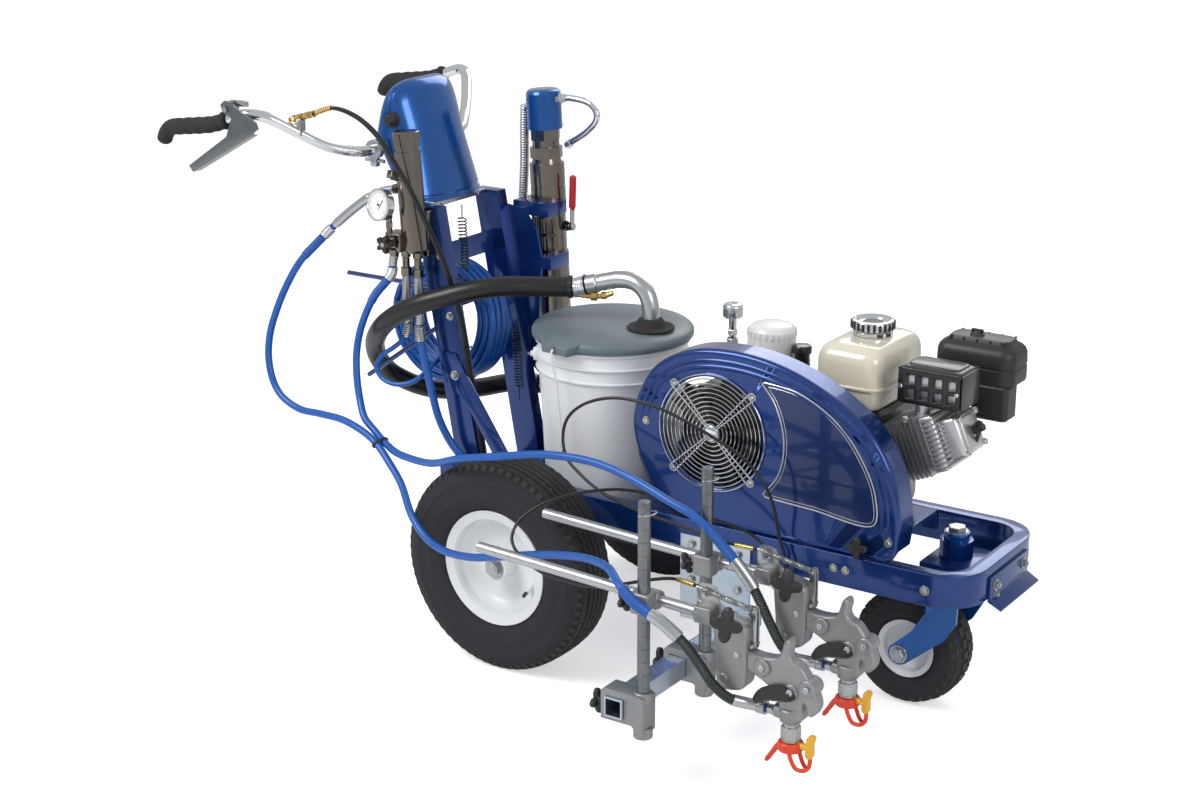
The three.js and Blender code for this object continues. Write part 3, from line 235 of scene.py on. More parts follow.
@cache
def dust_group() -> bpy.types.NodeTree:
    """Makes the dust that settles on faces that look up.

    Returns:
        A group that puts out a dusted colour.
    """
    g = ShaderGroup("settled_dust")
    g.socket("Vector", "Vector")
    g.socket("Color", "Color", (0.1, 0.1, 0.1, 1))
    g.socket("Amount", "Float", 0.1)
    g.socket("Color", "Color", output=True)
    geometry = g.node("NewGeometry")
    split = g.node("SeparateXYZ")
    upward = g.node("MapRange", From_Min=-0.2, From_Max=1.0)
    noise = g.node("TexNoise", Scale=35.0, Detail=7.0)
    product = g.node("Math", operation="MULTIPLY")
    amount = g.node("Math", operation="MULTIPLY", use_clamp=True)
    mix = g.node("Mix", data_type="RGBA")
    mix.inputs[7].default_value = (0.55, 0.52, 0.47, 1)
    w = g.wire
    i = g.inside.outputs
    w(geometry.outputs["Normal"], split.inputs[0])
    w(split.outputs[2], upward.inputs["Value"])
    w(i["Vector"], noise.inputs["Vector"])
    w(upward.outputs[0], product.inputs[0])
    w(noise.outputs["Fac"], product.inputs[1])
    w(product.outputs[0], amount.inputs[0])
    w(i["Amount"], amount.inputs[1])
    w(amount.outputs[0], mix.inputs[0])
    w(i["Color"], mix.inputs[6])
    w(mix.outputs[2], g.outside.inputs["Color"])
    return g.tree


def use_group(
    tree: bpy.types.NodeTree, group: bpy.types.NodeTree, place: bpy.types.Node, **values: object,
) -> bpy.types.Node:
    """Places a shared group in a material and feeds it the pattern's coordinates.

    Args:
        tree: the material's tree.
        group: the shared group.
        place: the node that gives the coordinates.
        values: the group's inputs by name.

    Returns:
        The group's node.
    """
    node = tree.nodes.new("ShaderNodeGroup")
    node.node_tree = group
    tree.links.new(place.outputs["Object"], node.inputs["Vector"])
    for key, value in values.items():
        node.inputs[key].default_value = value
    return node


@dataclass(frozen=True)
class Finish:
    """One finish: its colours, gloss, grain and dust."""

    name: str
    color: tuple[float, float, float]
    second: tuple[float, float, float]
    rough: float
    metal: float = 0.0
    coat: float = 0.0
    share: float = 0.35
    scale: float = 18.0
    spread: float = 0.1
    grain: float = 500.0
    pits: float = 0.2
    depth: float = 0.05
    dust: float = 0.04

    def material(self) -> bpy.types.Material:
        """Builds the finish's material the first time it is asked for.

        Returns:
            The material.
        """
        found = bpy.data.materials.get(self.name)
        if found:
            return found
        made = bpy.data.materials.new(self.name)
        made.use_nodes = True
        tree = made.node_tree
        shader = tree.nodes["Principled BSDF"]
        place = add_node(tree, "TexCoord")
        vary = use_group(
            tree, variation_group(), place, Color=(*self.color, 1), Second=(*self.second, 1),
            Scale=self.scale, Share=self.share, Roughness=self.rough, Spread=self.spread,
        )
        dust = use_group(tree, dust_group(), place, Amount=self.dust)
        grain = use_group(tree, grain_group(), place, Scale=self.grain, Pits=self.pits)
        bump = add_node(tree, "Bump", Strength=self.depth, Distance=BUMP_DISTANCE)
        for start, end in (
            (vary.outputs["Color"], dust.inputs["Color"]), (dust.outputs["Color"], shader.inputs["Base Color"]),
            (vary.outputs["Roughness"], shader.inputs["Roughness"]), (grain.outputs["Height"], bump.inputs["Height"]),
            (bump.outputs["Normal"], shader.inputs["Normal"]),
        ):
            tree.links.new(start, end)
        shader.inputs["Metallic"].default_value = self.metal
        shader.inputs["Coat Weight"].default_value = self.coat
        shader.inputs["Coat Roughness"].default_value = COAT_ROUGHNESS
        made.diffuse_color = (*self.color, 1)
        return made


DEEP_BLUE = Finish(
    "deep_blue_paint", (0.003, 0.034, 0.185), (0.004, 0.046, 0.235), 0.24, 0.6, 0.6, scale=6, depth=0.02, dust=0.01,
)
MID_BLUE = Finish(
    "mid_blue_paint", (0.003, 0.085, 0.34), (0.006, 0.115, 0.41), 0.24, 0.6, 0.6, scale=6, depth=0.02, dust=0.01,
)
WHITE_ENAMEL = Finish("white_wheel_enamel", (0.78, 0.79, 0.8), (0.72, 0.73, 0.74), 0.35, 0.0, 0.3, scale=9, dust=0.0)
TYRE = Finish(
    "tyre_rubber", (0.012, 0.012, 0.013), (0.024, 0.023, 0.022), 0.55, share=0.6, grain=350, depth=0.15, dust=0.0,
)
TREAD = Finish(
    "tread_rubber", (0.016, 0.016, 0.017), (0.032, 0.031, 0.03), 0.62, share=0.6, grain=260, depth=0.25, dust=0.0,
)
GRIP = Finish("grip_rubber", (0.01, 0.01, 0.011), (0.02, 0.02, 0.02), 0.42, grain=700, depth=0.12, dust=0.02)
ZINC = Finish(
    "zinc_plated_steel", (0.42, 0.45, 0.485), (0.50, 0.46, 0.36), 0.26, 0.95, scale=14, share=0.55, spread=0.2,
    depth=0.04,
)
ZINC_BLUE = Finish(
    "blue_zinc_steel", (0.46, 0.55, 0.66), (0.62, 0.66, 0.68), 0.24, 0.95, scale=12, share=0.7, spread=0.2,
    depth=0.03,
)
DARK_ZINC = Finish(
    "dark_zinc_steel", (0.17, 0.185, 0.2), (0.25, 0.25, 0.235), 0.3, 0.9, scale=18, share=0.6, spread=0.2, depth=0.04,
)
CHROME = Finish(
    "chrome_plate", (0.74, 0.75, 0.77), (0.66, 0.66, 0.67), 0.09, 1.0, scale=9, spread=0.06, depth=0.008, dust=0.01,
)
NICKEL = Finish(
    "warm_nickel_plate", (0.235, 0.205, 0.175), (0.17, 0.15, 0.13), 0.2, 1.0, scale=9, spread=0.15, depth=0.015,
)
CAST = Finish(
    "sand_cast_aluminium", (0.34, 0.345, 0.35), (0.25, 0.25, 0.255), 0.46, 0.85, scale=30, grain=650, pits=0.5,
    depth=0.35,
)
BRIGHT_CAST = Finish(
    "bright_machined_aluminium", (0.66, 0.66, 0.66), (0.55, 0.55, 0.56), 0.34, 0.9, scale=25, grain=600, depth=0.15,
)
TUBE_ALUMINIUM = Finish(
    "satin_aluminium_tube", (0.52, 0.53, 0.54), (0.42, 0.43, 0.44), 0.3, 0.95, scale=12, depth=0.04,
)
BRASS = Finish("yellow_brass", (0.62, 0.42, 0.14), (0.5, 0.33, 0.11), 0.24, 1.0, scale=30, depth=0.02)
BLACK_PLASTIC = Finish(
    "black_moulded_plastic", (0.013, 0.013, 0.014), (0.026, 0.026, 0.027), 0.42, grain=900, depth=0.12, dust=0.03,
)
BLACK_PAINT = Finish(
    "black_stove_paint", (0.009, 0.009, 0.01), (0.018, 0.018, 0.018), 0.3, 0.1, 0.3, scale=12, depth=0.05,
)
GREY_PAINT = Finish(
    "dark_grey_paint", (0.085, 0.105, 0.125), (0.065, 0.08, 0.1), 0.38, 0.2, 0.3, scale=12, depth=0.04,
)
LID_GREY = Finish(
    "grey_lid_plastic", (0.115, 0.15, 0.17), (0.135, 0.17, 0.19), 0.42, scale=9, grain=600, depth=0.06, dust=0.08,
)
PAIL_WHITE = Finish(
    "white_pail_plastic", (0.80, 0.81, 0.82), (0.76, 0.77, 0.78), 0.33, scale=6, grain=300, depth=0.04, dust=0.02,
)
CREAM = Finish(
    "cream_tank_enamel", (0.74, 0.69, 0.56), (0.7, 0.65, 0.52), 0.2, 0.0, 0.7, scale=6, depth=0.015, dust=0.03,
)
ORANGE = Finish("orange_red_plastic", (0.75, 0.055, 0.012), (0.65, 0.04, 0.01), 0.34, scale=20, grain=600, depth=0.04)
YELLOW = Finish("yellow_plastic", (0.82, 0.43, 0.02), (0.74, 0.36, 0.02), 0.34, scale=20, grain=600, depth=0.04)
RED = Finish("red_vinyl", (0.5, 0.008, 0.012), (0.4, 0.006, 0.01), 0.35, scale=20, grain=500, depth=0.05)
BLUE_HOSE = Finish(
    "blue_hose_jacket", (0.008, 0.10, 0.42), (0.006, 0.075, 0.33), 0.3, scale=30, grain=500, depth=0.05, dust=0.02,
)
BLACK_HOSE = Finish(
    "black_hose_rubber", (0.006, 0.006, 0.0065), (0.012, 0.012, 0.0125), 0.34, scale=30, grain=500, depth=0.08,
    dust=0.01,
)
DARK_SPRING = Finish("dark_spring_steel", (0.05, 0.058, 0.056), (0.08, 0.085, 0.08), 0.35, 0.9, scale=40, depth=0.03)
FILTER_WHITE = Finish(
    "white_filter_enamel", (0.8, 0.8, 0.79), (0.75, 0.75, 0.74), 0.3, 0.0, 0.4, scale=8, depth=0.015,
)
DIAL_WHITE = Finish("dial_white", (0.82, 0.82, 0.8), (0.78, 0.78, 0.76), 0.45, scale=10, depth=0.01, dust=0.0)
PANEL_BLUE = Finish(
    "dark_panel_film", (0.003, 0.018, 0.10), (0.004, 0.024, 0.13), 0.24, 0.4, 0.6, scale=5, depth=0.01, dust=0.01,
)
SILVER_LINE = Finish(
    "silver_trim_film", (0.62, 0.63, 0.64), (0.55, 0.56, 0.57), 0.3, 0.8, scale=20, depth=0.01, dust=0.0,
)
AMBER_LINE = Finish("amber_mould_line", (0.5, 0.17, 0.02), (0.4, 0.13, 0.02), 0.6, scale=40, depth=0.05)


# ------------------------------------------------------------------ meshes
def spline(points: Outline, steps: int, closed: bool = False) -> list[Vector]:
    """Runs a smooth curve through points, with the steps shared out by distance.

    Args:
        points: the points that the curve goes through.
        steps: how many pieces the whole curve is cut into.
        closed: true for a loop.

    Returns:
        The points along the curve.
    """
    p = [Vector((*q, 0.0)[:3]) if len(q) == 2 else Vector(q) for q in points]
    count = len(p) if closed else len(p) - 1
    dense: list[Vector] = []
    for k in range(count):
        if closed:
            a, b, c, d = p[k - 1], p[k], p[(k + 1) % len(p)], p[(k + 2) % len(p)]
        else:
            b, c = p[k], p[k + 1]
            a = p[k - 1] if k else b * 2 - c
            d = p[k + 2] if k + 2 < len(p) else c * 2 - b
        t0, t1 = 0.0, (b - a).length ** 0.5 or 1.0
        t2 = t1 + ((c - b).length ** 0.5 or 1.0)
        t3 = t2 + ((d - c).length ** 0.5 or 1.0)
        for i in range(SPAN_STEPS):
            t = t1 + (t2 - t1) * i / SPAN_STEPS
            a1 = a * ((t1 - t) / (t1 - t0)) + b * ((t - t0) / (t1 - t0))
            a2 = b * ((t2 - t) / (t2 - t1)) + c * ((t - t1) / (t2 - t1))
            a3 = c * ((t3 - t) / (t3 - t2)) + d * ((t - t2) / (t3 - t2))
            b1 = a1 * ((t2 - t) / (t2 - t0)) + a2 * ((t - t0) / (t2 - t0))
            b2 = a2 * ((t3 - t) / (t3 - t1)) + a3 * ((t - t1) / (t3 - t1))
            dense.append(b1 * ((t2 - t) / (t2 - t1)) + b2 * ((t - t1) / (t2 - t1)))
    dense.append(p[0].copy() if closed else p[-1].copy())
    lengths = [0.0]
    for k in range(1, len(dense)):
        lengths.append(lengths[-1] + (dense[k] - dense[k - 1]).length)
    out, at = [], 0
    for i in range(steps + (0 if closed else 1)):
        want = lengths[-1] * i / steps
        while at < len(lengths) - 2 and lengths[at + 1] < want:
            at += 1
        part = (want - lengths[at]) / max(lengths[at + 1] - lengths[at], 1e-9)
        out.append(dense[at].lerp(dense[at + 1], min(max(part, 0.0), 1.0)))
    return out


def length_of(points: Sequence[Vector]) -> float:
    """Measures a line.

    Args:
        points: the line's points.

    Returns:
        Its length, in the units of the points.
    """
    return sum((b - a).length for a, b in zip(points, points[1:]))


def between(table: Outline, key: float) -> float:
    """Reads a value off a table by straight interpolation.

    Args:
        table: keys and values, in rising order of the keys.
        key: where to read.

    Returns:
        The value at the key, or the last one beyond the table's end.
    """
    for (k0, v0), (k1, v1) in zip(table, table[1:]):
        if key <= k1:
            return v0 + (v1 - v0) * (key - k0) / (k1 - k0)
    return table[-1][1]


def gap(point: Vector, line: Sequence[Vector]) -> float:
    """Finds how far a point lies from a line.

    Args:
        point: the point.
        line: the points that the line goes through.

    Returns:
        The shortest distance.
    """
    least = math.inf
    for a, b in zip(line, line[1:]):
        share = (point - a).dot(b - a) / max((b - a).length_squared, 1e-9)
        least = min(least, (point - a.lerp(b, min(max(share, 0.0), 1.0))).length)
    return least


def inset(points: Sequence[Vector], distance: float) -> list[Vector]:
    """Moves a closed outline inwards.

    Args:
        points: the outline, in its first two coordinates.
        distance: how far in it moves.

    Returns:
        The moved outline.
    """
    n = len(points)
    area = sum(points[i].x * points[(i + 1) % n].y - points[i].y * points[(i + 1) % n].x for i in range(n))
    way = 1 if area > 0 else -1
    out = []
    for i, p in enumerate(points):
        along = points[(i + 1) % n] - points[i - 1]
        along.normalize()
        out.append(Vector((p.x - way * distance * along.y, p.y + way * distance * along.x, p.z)))
    return out


class Shape:
    """Closed surfaces in drawing millimetres, gathered into one piece."""

    def __init__(self) -> None:
        """Starts an empty piece whose faces take the first material."""
        self.bm = bmesh.new()
        self.paint = 0

    def surface(self, points: Iterable[Point], faces: Iterable[Sequence[int]]) -> None:
        """Adds points and the faces between them.

        Args:
            points: the points.
            faces: for each face, the places of its corners in the list of points.
        """
        verts = [self.bm.verts.new(p) for p in points]
        for face in faces:
            ring = list(dict.fromkeys(verts[i] for i in face))
            if len(ring) > 2:
                self.bm.faces.new(ring).material_index = self.paint

    def grid(self, rows: Sequence[Sequence[Point]], loop_rows: bool, loop_cols: bool, cap: bool = False) -> None:
        """Adds a sheet through rows of points, joined along and across.

        Args:
            rows: equal rows of points.
            loop_rows: true where each row closes on itself.
            loop_cols: true where the last row meets the first.
            cap: true to close the two end rows.
        """
        n, m = len(rows), len(rows[0])
        points = [p for row in rows for p in row]
        faces = []
        for i in range(n if loop_cols else n - 1):
            for j in range(m if loop_rows else m - 1):
                a, b = i * m + j, i * m + (j + 1) % m
                c, d = ((i + 1) % n) * m + (j + 1) % m, ((i + 1) % n) * m + j
                faces.append((a, b, c, d))
        if cap:
            faces.append(tuple(range(m)))
            faces.append(tuple((n - 1) * m + j for j in range(m)))
        self.surface(points, faces)

    def turned(
        self, profile: Outline, centre: Point, axis: Axis = Axis.Z, segments: int = 64, flip: float = 1.0,
    ) -> None:
        """Turns a profile of radius and offset pairs about a line.

        Args:
            profile: the pairs; a profile off the axis closes on itself.
            centre: a point on the line, from which the offsets count.
            axis: the line's direction.
            segments: how many steps the turn has.
            flip: -1 to run the offsets the other way.
        """
        on_axis = profile[0][0] < 1e-6 and profile[-1][0] < 1e-6
        rows = []
        for r, h in profile:
            row = []
            for k in range(segments):
                a = 2 * math.pi * k / segments
                u, v = max(r, 1e-6) * math.cos(a), max(r, 1e-6) * math.sin(a)
                local = {Axis.X: (h * flip, u, v), Axis.Y: (v, h * flip, u), Axis.Z: (u, v, h * flip)}[axis]
                row.append(Vector(local) + Vector(centre))
            rows.append(row)
        self.grid(rows, True, not on_axis)

    def bar(
        self, start: Point, end: Point, radius: float, sides: int = 32, tip: float | None = None, soft: float = 0.0
    ) -> None:
        """Adds a round bar, tapered or with softened ends.

        Args:
            start: the middle of its first end.
            end: the middle of its other end.
            radius: its radius at the start.
            sides: how many flats it has round it.
            tip: its radius at the end, if that differs.
            soft: the size of the chamfer at both ends.
        """
        a, b = Vector(start), Vector(end)
        turn = Vector((0, 0, 1)).rotation_difference((b - a).normalized())
        tip = radius if tip is None else tip
        long = (b - a).length
        stages = [(radius, 0.0), (tip, long)]
        if soft:
            stages = [(radius - soft, 0.0), (radius, soft), (tip, long - soft), (tip - soft, long)]
        angles = [2 * math.pi * k / sides for k in range(sides)]
        rows = [[a + turn @ Vector((r * math.cos(t), r * math.sin(t), h)) for t in angles] for r, h in stages]
        self.grid(rows, True, False, cap=True)

    def tube(self, path: Sequence[Vector], radius: float | Callable[[float], float], sides: int = 16) -> None:
        """Adds a round tube along a line.

        Args:
            path: points along its middle.
            radius: its radius, or a function of the share of the way along.
            sides: how many flats it has round it.
        """
        n = len(path)
        normal = None
        rows = []
        for i, p in enumerate(path):
            along = (path[min(i + 1, n - 1)] - path[max(i - 1, 0)]).normalized()
            if normal is None:
                normal = along.orthogonal().normalized()
            normal = (normal - along * normal.dot(along)).normalized()
            other = along.cross(normal)
            r = radius(i / (n - 1)) if callable(radius) else radius
            rows.append([
                p + (normal * math.cos(2 * math.pi * k / sides) + other * math.sin(2 * math.pi * k / sides)) * r
                for k in range(sides)
            ])
        self.grid(rows, True, False, cap=True)

    def plate(self, outlines: Sequence[Outline], low: float, high: float) -> None:
        """Adds an upright plate cut to an outline in x and z, with holes.

        Args:
            outlines: the outer outline, then the holes.
            low: where the plate starts in y.
            high: where it ends.
        """
        edges = []
        for line in outlines:
            verts = [self.bm.verts.new((x, low, z)) for x, z in line]
            edges += [self.bm.edges.new((verts[i], verts[(i + 1) % len(verts)])) for i in range(len(verts))]
        filled = bmesh.ops.triangle_fill(self.bm, use_beauty=True, use_dissolve=False, edges=edges)
        faces = [f for f in filled["geom"] if isinstance(f, bmesh.types.BMFace)]
        if len(outlines) == 1:
            merged = bmesh.ops.dissolve_faces(self.bm, faces=faces, use_verts=False)
            faces = merged["region"] or faces
        for f in faces:
            f.material_index = self.paint
        copied = bmesh.ops.extrude_face_region(self.bm, geom=faces, use_keep_orig=True)
        moved = [v for v in copied["geom"] if isinstance(v, bmesh.types.BMVert)]
        bmesh.ops.translate(self.bm, verts=moved, vec=Vector((0, high - low, 0)))
        for f in self.bm.faces:
            if self.paint and f.material_index == 0 and f.verts[0] in moved:
                f.material_index = self.paint

    def block(self, x: Point, y: Point, z: Point, soft: float = 0.0, turn: Matrix | None = None) -> None:
        """Adds a block between two values of each coordinate.

        Args:
            x: its two ends in x.
            y: its two ends in y.
            z: its two ends in z.
            soft: the size of its rounded edges.
            turn: a turn about the block's own middle.
        """
        middle = Vector(((x[0] + x[1]) / 2, (y[0] + y[1]) / 2, (z[0] + z[1]) / 2))
        size = Vector((x[1] - x[0], y[1] - y[0], z[1] - z[0]))
        made = bmesh.ops.create_cube(self.bm, size=1.0)
        verts = made["verts"]
        place = Matrix.Translation(middle) @ (turn.to_4x4() if turn else Matrix()) @ Matrix.Diagonal((*size, 1))
        bmesh.ops.transform(self.bm, matrix=place, verts=verts)
        faces = {f for v in verts for f in v.link_faces}
        for f in faces:
            f.material_index = self.paint
        if soft:
            edges = list({e for v in verts for e in v.link_edges})
            got = bmesh.ops.bevel(
                self.bm, geom=edges, offset=soft, segments=3, profile=0.5, affect="EDGES", clamp_overlap=True,
            )
            for f in got["faces"]:
                f.material_index = self.paint

    def strap(
        self, start: Point, end: Point, width: float, thick: float, side: Point = (0, 1, 0), soft: float = 0.0,
    ) -> None:
        """Adds a flat bar from one point to another.

        Args:
            start: the middle of its first end.
            end: the middle of its other end.
            width: its width, across the side direction.
            thick: its thickness along the side direction.
            side: the direction through its thickness.
            soft: the size of its rounded edges.
        """
        a, b = Vector(start), Vector(end)
        z = (b - a).normalized()
        y = (Vector(side) - z * Vector(side).dot(z)).normalized()
        x = y.cross(z)
        turn = Matrix((x, y, z)).transposed()
        m = (a + b) / 2
        half = (b - a).length / 2
        self.block(
            (m.x - width / 2, m.x + width / 2), (m.y - thick / 2, m.y + thick / 2), (m.z - half, m.z + half), soft,
            turn,
        )

    def hexagon(self, start: Point, end: Point, across: float) -> None:
        """Adds a hexagonal nut or bolt head.

        Args:
            start: the middle of its first end.
            end: the middle of its other end.
            across: its width across the corners.
        """
        self.bar(start, end, across / 2, 6, soft=min(1.2, across / 16))

    def move(self, place: Matrix) -> None:
        """Moves everything in the shape by a matrix."""
        bmesh.ops.transform(self.bm, matrix=place, verts=self.bm.verts)

    def take(self, mesh: bpy.types.Mesh, place: Matrix | None = None) -> None:
        """Adds a finished mesh's faces to the piece, then frees the mesh.

        Args:
            mesh: the mesh, in millimetres.
            place: where it goes.
        """
        before = set(self.bm.faces)
        if place is not None:
            mesh.transform(place)
        self.bm.from_mesh(mesh)
        for f in self.bm.faces:
            if f not in before:
                f.material_index = self.paint
        bpy.data.meshes.remove(mesh)

    def piece(
        self,
        name: str,
        body: str,
        finishes: Sequence[Finish],
        slot: str,
        stands_for: Sequence[str] = (),
        soft: float = 0.0,
        angle: float = 38.0,
    ) -> bpy.types.Object:
        """Finishes the piece: puts it in the frame, smooths, dresses and rides it.

        Args:
            name: the piece's name.
            body: the frame's body that it moves with.
            finishes: its finishes, in the order that its faces count them.
            slot: the record's material slot; not used.
            stands_for: the frame's nodes that it replaces.
            soft: the width of a bevel on its sharp edges.
            angle: edges sharper than this stay sharp.

        Returns:
            The finished object.
        """
        bmesh.ops.remove_doubles(self.bm, verts=self.bm.verts, dist=WELD)
        bmesh.ops.dissolve_degenerate(self.bm, edges=self.bm.edges, dist=WELD)
        bmesh.ops.recalc_face_normals(self.bm, faces=self.bm.faces)
        mesh = bpy.data.meshes.new(name)
        self.bm.to_mesh(mesh)
        self.bm.free()
        mesh.transform(DATUM.matrix())
        made = bpy.data.objects.new(name, mesh)
        bpy.context.scene.collection.objects.link(made)
        for finish in finishes:
            mesh.materials.append(finish.material())
        if soft:
            bevel = made.modifiers.new("edges", "BEVEL")
            bevel.width, bevel.segments, bevel.limit_method = soft / 1000, 2, "ANGLE"
            bevel.angle_limit = math.radians(40)
            bevel.use_clamp_overlap = True
            graph = bpy.context.evaluated_depsgraph_get()
            bevelled = bpy.data.meshes.new_from_object(made.evaluated_get(graph))
            made.modifiers.clear()
            made.data = bevelled
            bpy.data.meshes.remove(mesh)
            mesh = bevelled
            mesh.name = name
        mesh.shade_smooth()
        mesh.set_sharp_from_angle(angle=math.radians(angle))
        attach(made, body)
        if stands_for:
            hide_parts(*stands_for)
        LOG.info("%s: %d faces", name, len(mesh.polygons))
        return made


# ------------------------------------------------------------------ repeats
class Repeat(Tree):
    """Geometry Nodes that copy or coil a small mesh, turned into a plain mesh."""

    def __init__(self, name: str) -> None:
        """Starts a tree called name with a geometry output."""
        super().__init__(name, "GeometryNodeTree")
        self.tree.interface.new_socket("Geometry", in_out="OUTPUT", socket_type="NodeSocketGeometry")
        self.values: dict[str, object] = {}

    def size(self, name: str, kind: str, value: object) -> None:
        """Adds a named input with its value.

        Args:
            name: the input's name.
            kind: Int, Float, Vector or Object.
            value: what it is set to.
        """
        made = self.tree.interface.new_socket(name, in_out="INPUT", socket_type=f"NodeSocket{kind}")
        self.values[made.identifier] = value

    def close(self, last: bpy.types.NodeSocket, finish: Finish) -> bpy.types.Mesh:
        """Ends the tree, runs it and returns its mesh.

        Args:
            last: the geometry that the tree has made.
            finish: the finish that its faces take.

        Returns:
            A plain mesh, in the units that the tree worked in.
        """
        real = self.node("GeometryNodeRealizeInstances")
        dress = self.node("GeometryNodeSetMaterial", Material=finish.material())
        self.wire(last, real.inputs[0])
        self.wire(real.outputs[0], dress.inputs[0])
        self.wire(dress.outputs[0], self.outside.inputs[0])
        holder = bpy.data.objects.new("holder", bpy.data.meshes.new("holder"))
        bpy.context.scene.collection.objects.link(holder)
        modifier = holder.modifiers.new("repeat", "NODES")
        modifier.node_group = self.tree
        for identifier, value in self.values.items():
            modifier[identifier] = value
        graph = bpy.context.evaluated_depsgraph_get()
        mesh = bpy.data.meshes.new_from_object(holder.evaluated_get(graph))
        holder.modifiers.clear()
        bpy.data.objects.remove(holder)
        return mesh


def source_object(shape: Shape) -> bpy.types.Object:
    """Turns a small shape into an object that a tree can copy.

    Args:
        shape: the shape, which is used up.

    Returns:
        The object, which the caller removes.
    """
    mesh = bpy.data.meshes.new("unit")
    shape.bm.to_mesh(mesh)
    shape.bm.free()
    made = bpy.data.objects.new("unit", mesh)
    bpy.context.scene.collection.objects.link(made)
    return made


def round_axis(unit: Shape, count: int, finish: Finish) -> bpy.types.Mesh:
    """Copies a unit evenly round the Z axis.

    Args:
        unit: the small shape, already at its radius.
        count: how many copies there are.
        finish: their finish.

    Returns:
        The copies as one mesh.
    """
    source = source_object(unit)
    r = Repeat("round_axis")
    r.size("Count", "Int", count)
    r.size("Step", "Float", 2 * math.pi / count)
    r.size("Unit", "Object", source)
    line = r.node("GeometryNodeMeshLine")
    line.inputs["Offset"].default_value = (0, 0, 0)
    info = r.node("GeometryNodeObjectInfo")
    index = r.node("GeometryNodeInputIndex")
    turn = r.node("Math", operation="MULTIPLY")
    combine = r.node("CombineXYZ")
    copy = r.node("GeometryNodeInstanceOnPoints")
    r.wire(r.inside.outputs["Count"], line.inputs["Count"])
    r.wire(r.inside.outputs["Unit"], info.inputs["Object"])
    r.wire(index.outputs[0], turn.inputs[0])
    r.wire(r.inside.outputs["Step"], turn.inputs[1])
    r.wire(turn.outputs[0], combine.inputs[2])
    r.wire(line.outputs[0], copy.inputs["Points"])
    r.wire(info.outputs["Geometry"], copy.inputs["Instance"])
    r.wire(combine.outputs[0], copy.inputs["Rotation"])
    mesh = r.close(copy.outputs[0], finish)
    bpy.data.objects.remove(source)
    return mesh


def in_line(unit: Shape, count: int, step: Point, finish: Finish) -> bpy.types.Mesh:
    """Copies a unit in a straight row.

    Args:
        unit: the small shape, where its first copy goes.
        count: how many copies there are.
        step: the way from one copy to the next.
        finish: their finish.

    Returns:
        The copies as one mesh.
    """
    source = source_object(unit)
    r = Repeat("in_line")
    r.size("Count", "Int", count)
    r.size("Step", "Vector", tuple(step))
    r.size("Unit", "Object", source)
    line = r.node("GeometryNodeMeshLine")
    info = r.node("GeometryNodeObjectInfo")
    copy = r.node("GeometryNodeInstanceOnPoints")
    r.wire(r.inside.outputs["Count"], line.inputs["Count"])
    r.wire(r.inside.outputs["Step"], line.inputs["Offset"])
    r.wire(r.inside.outputs["Unit"], info.inputs["Object"])
    r.wire(line.outputs[0], copy.inputs["Points"])
    r.wire(info.outputs["Geometry"], copy.inputs["Instance"])
    mesh = r.close(copy.outputs[0], finish)
    bpy.data.objects.remove(source)
    return mesh


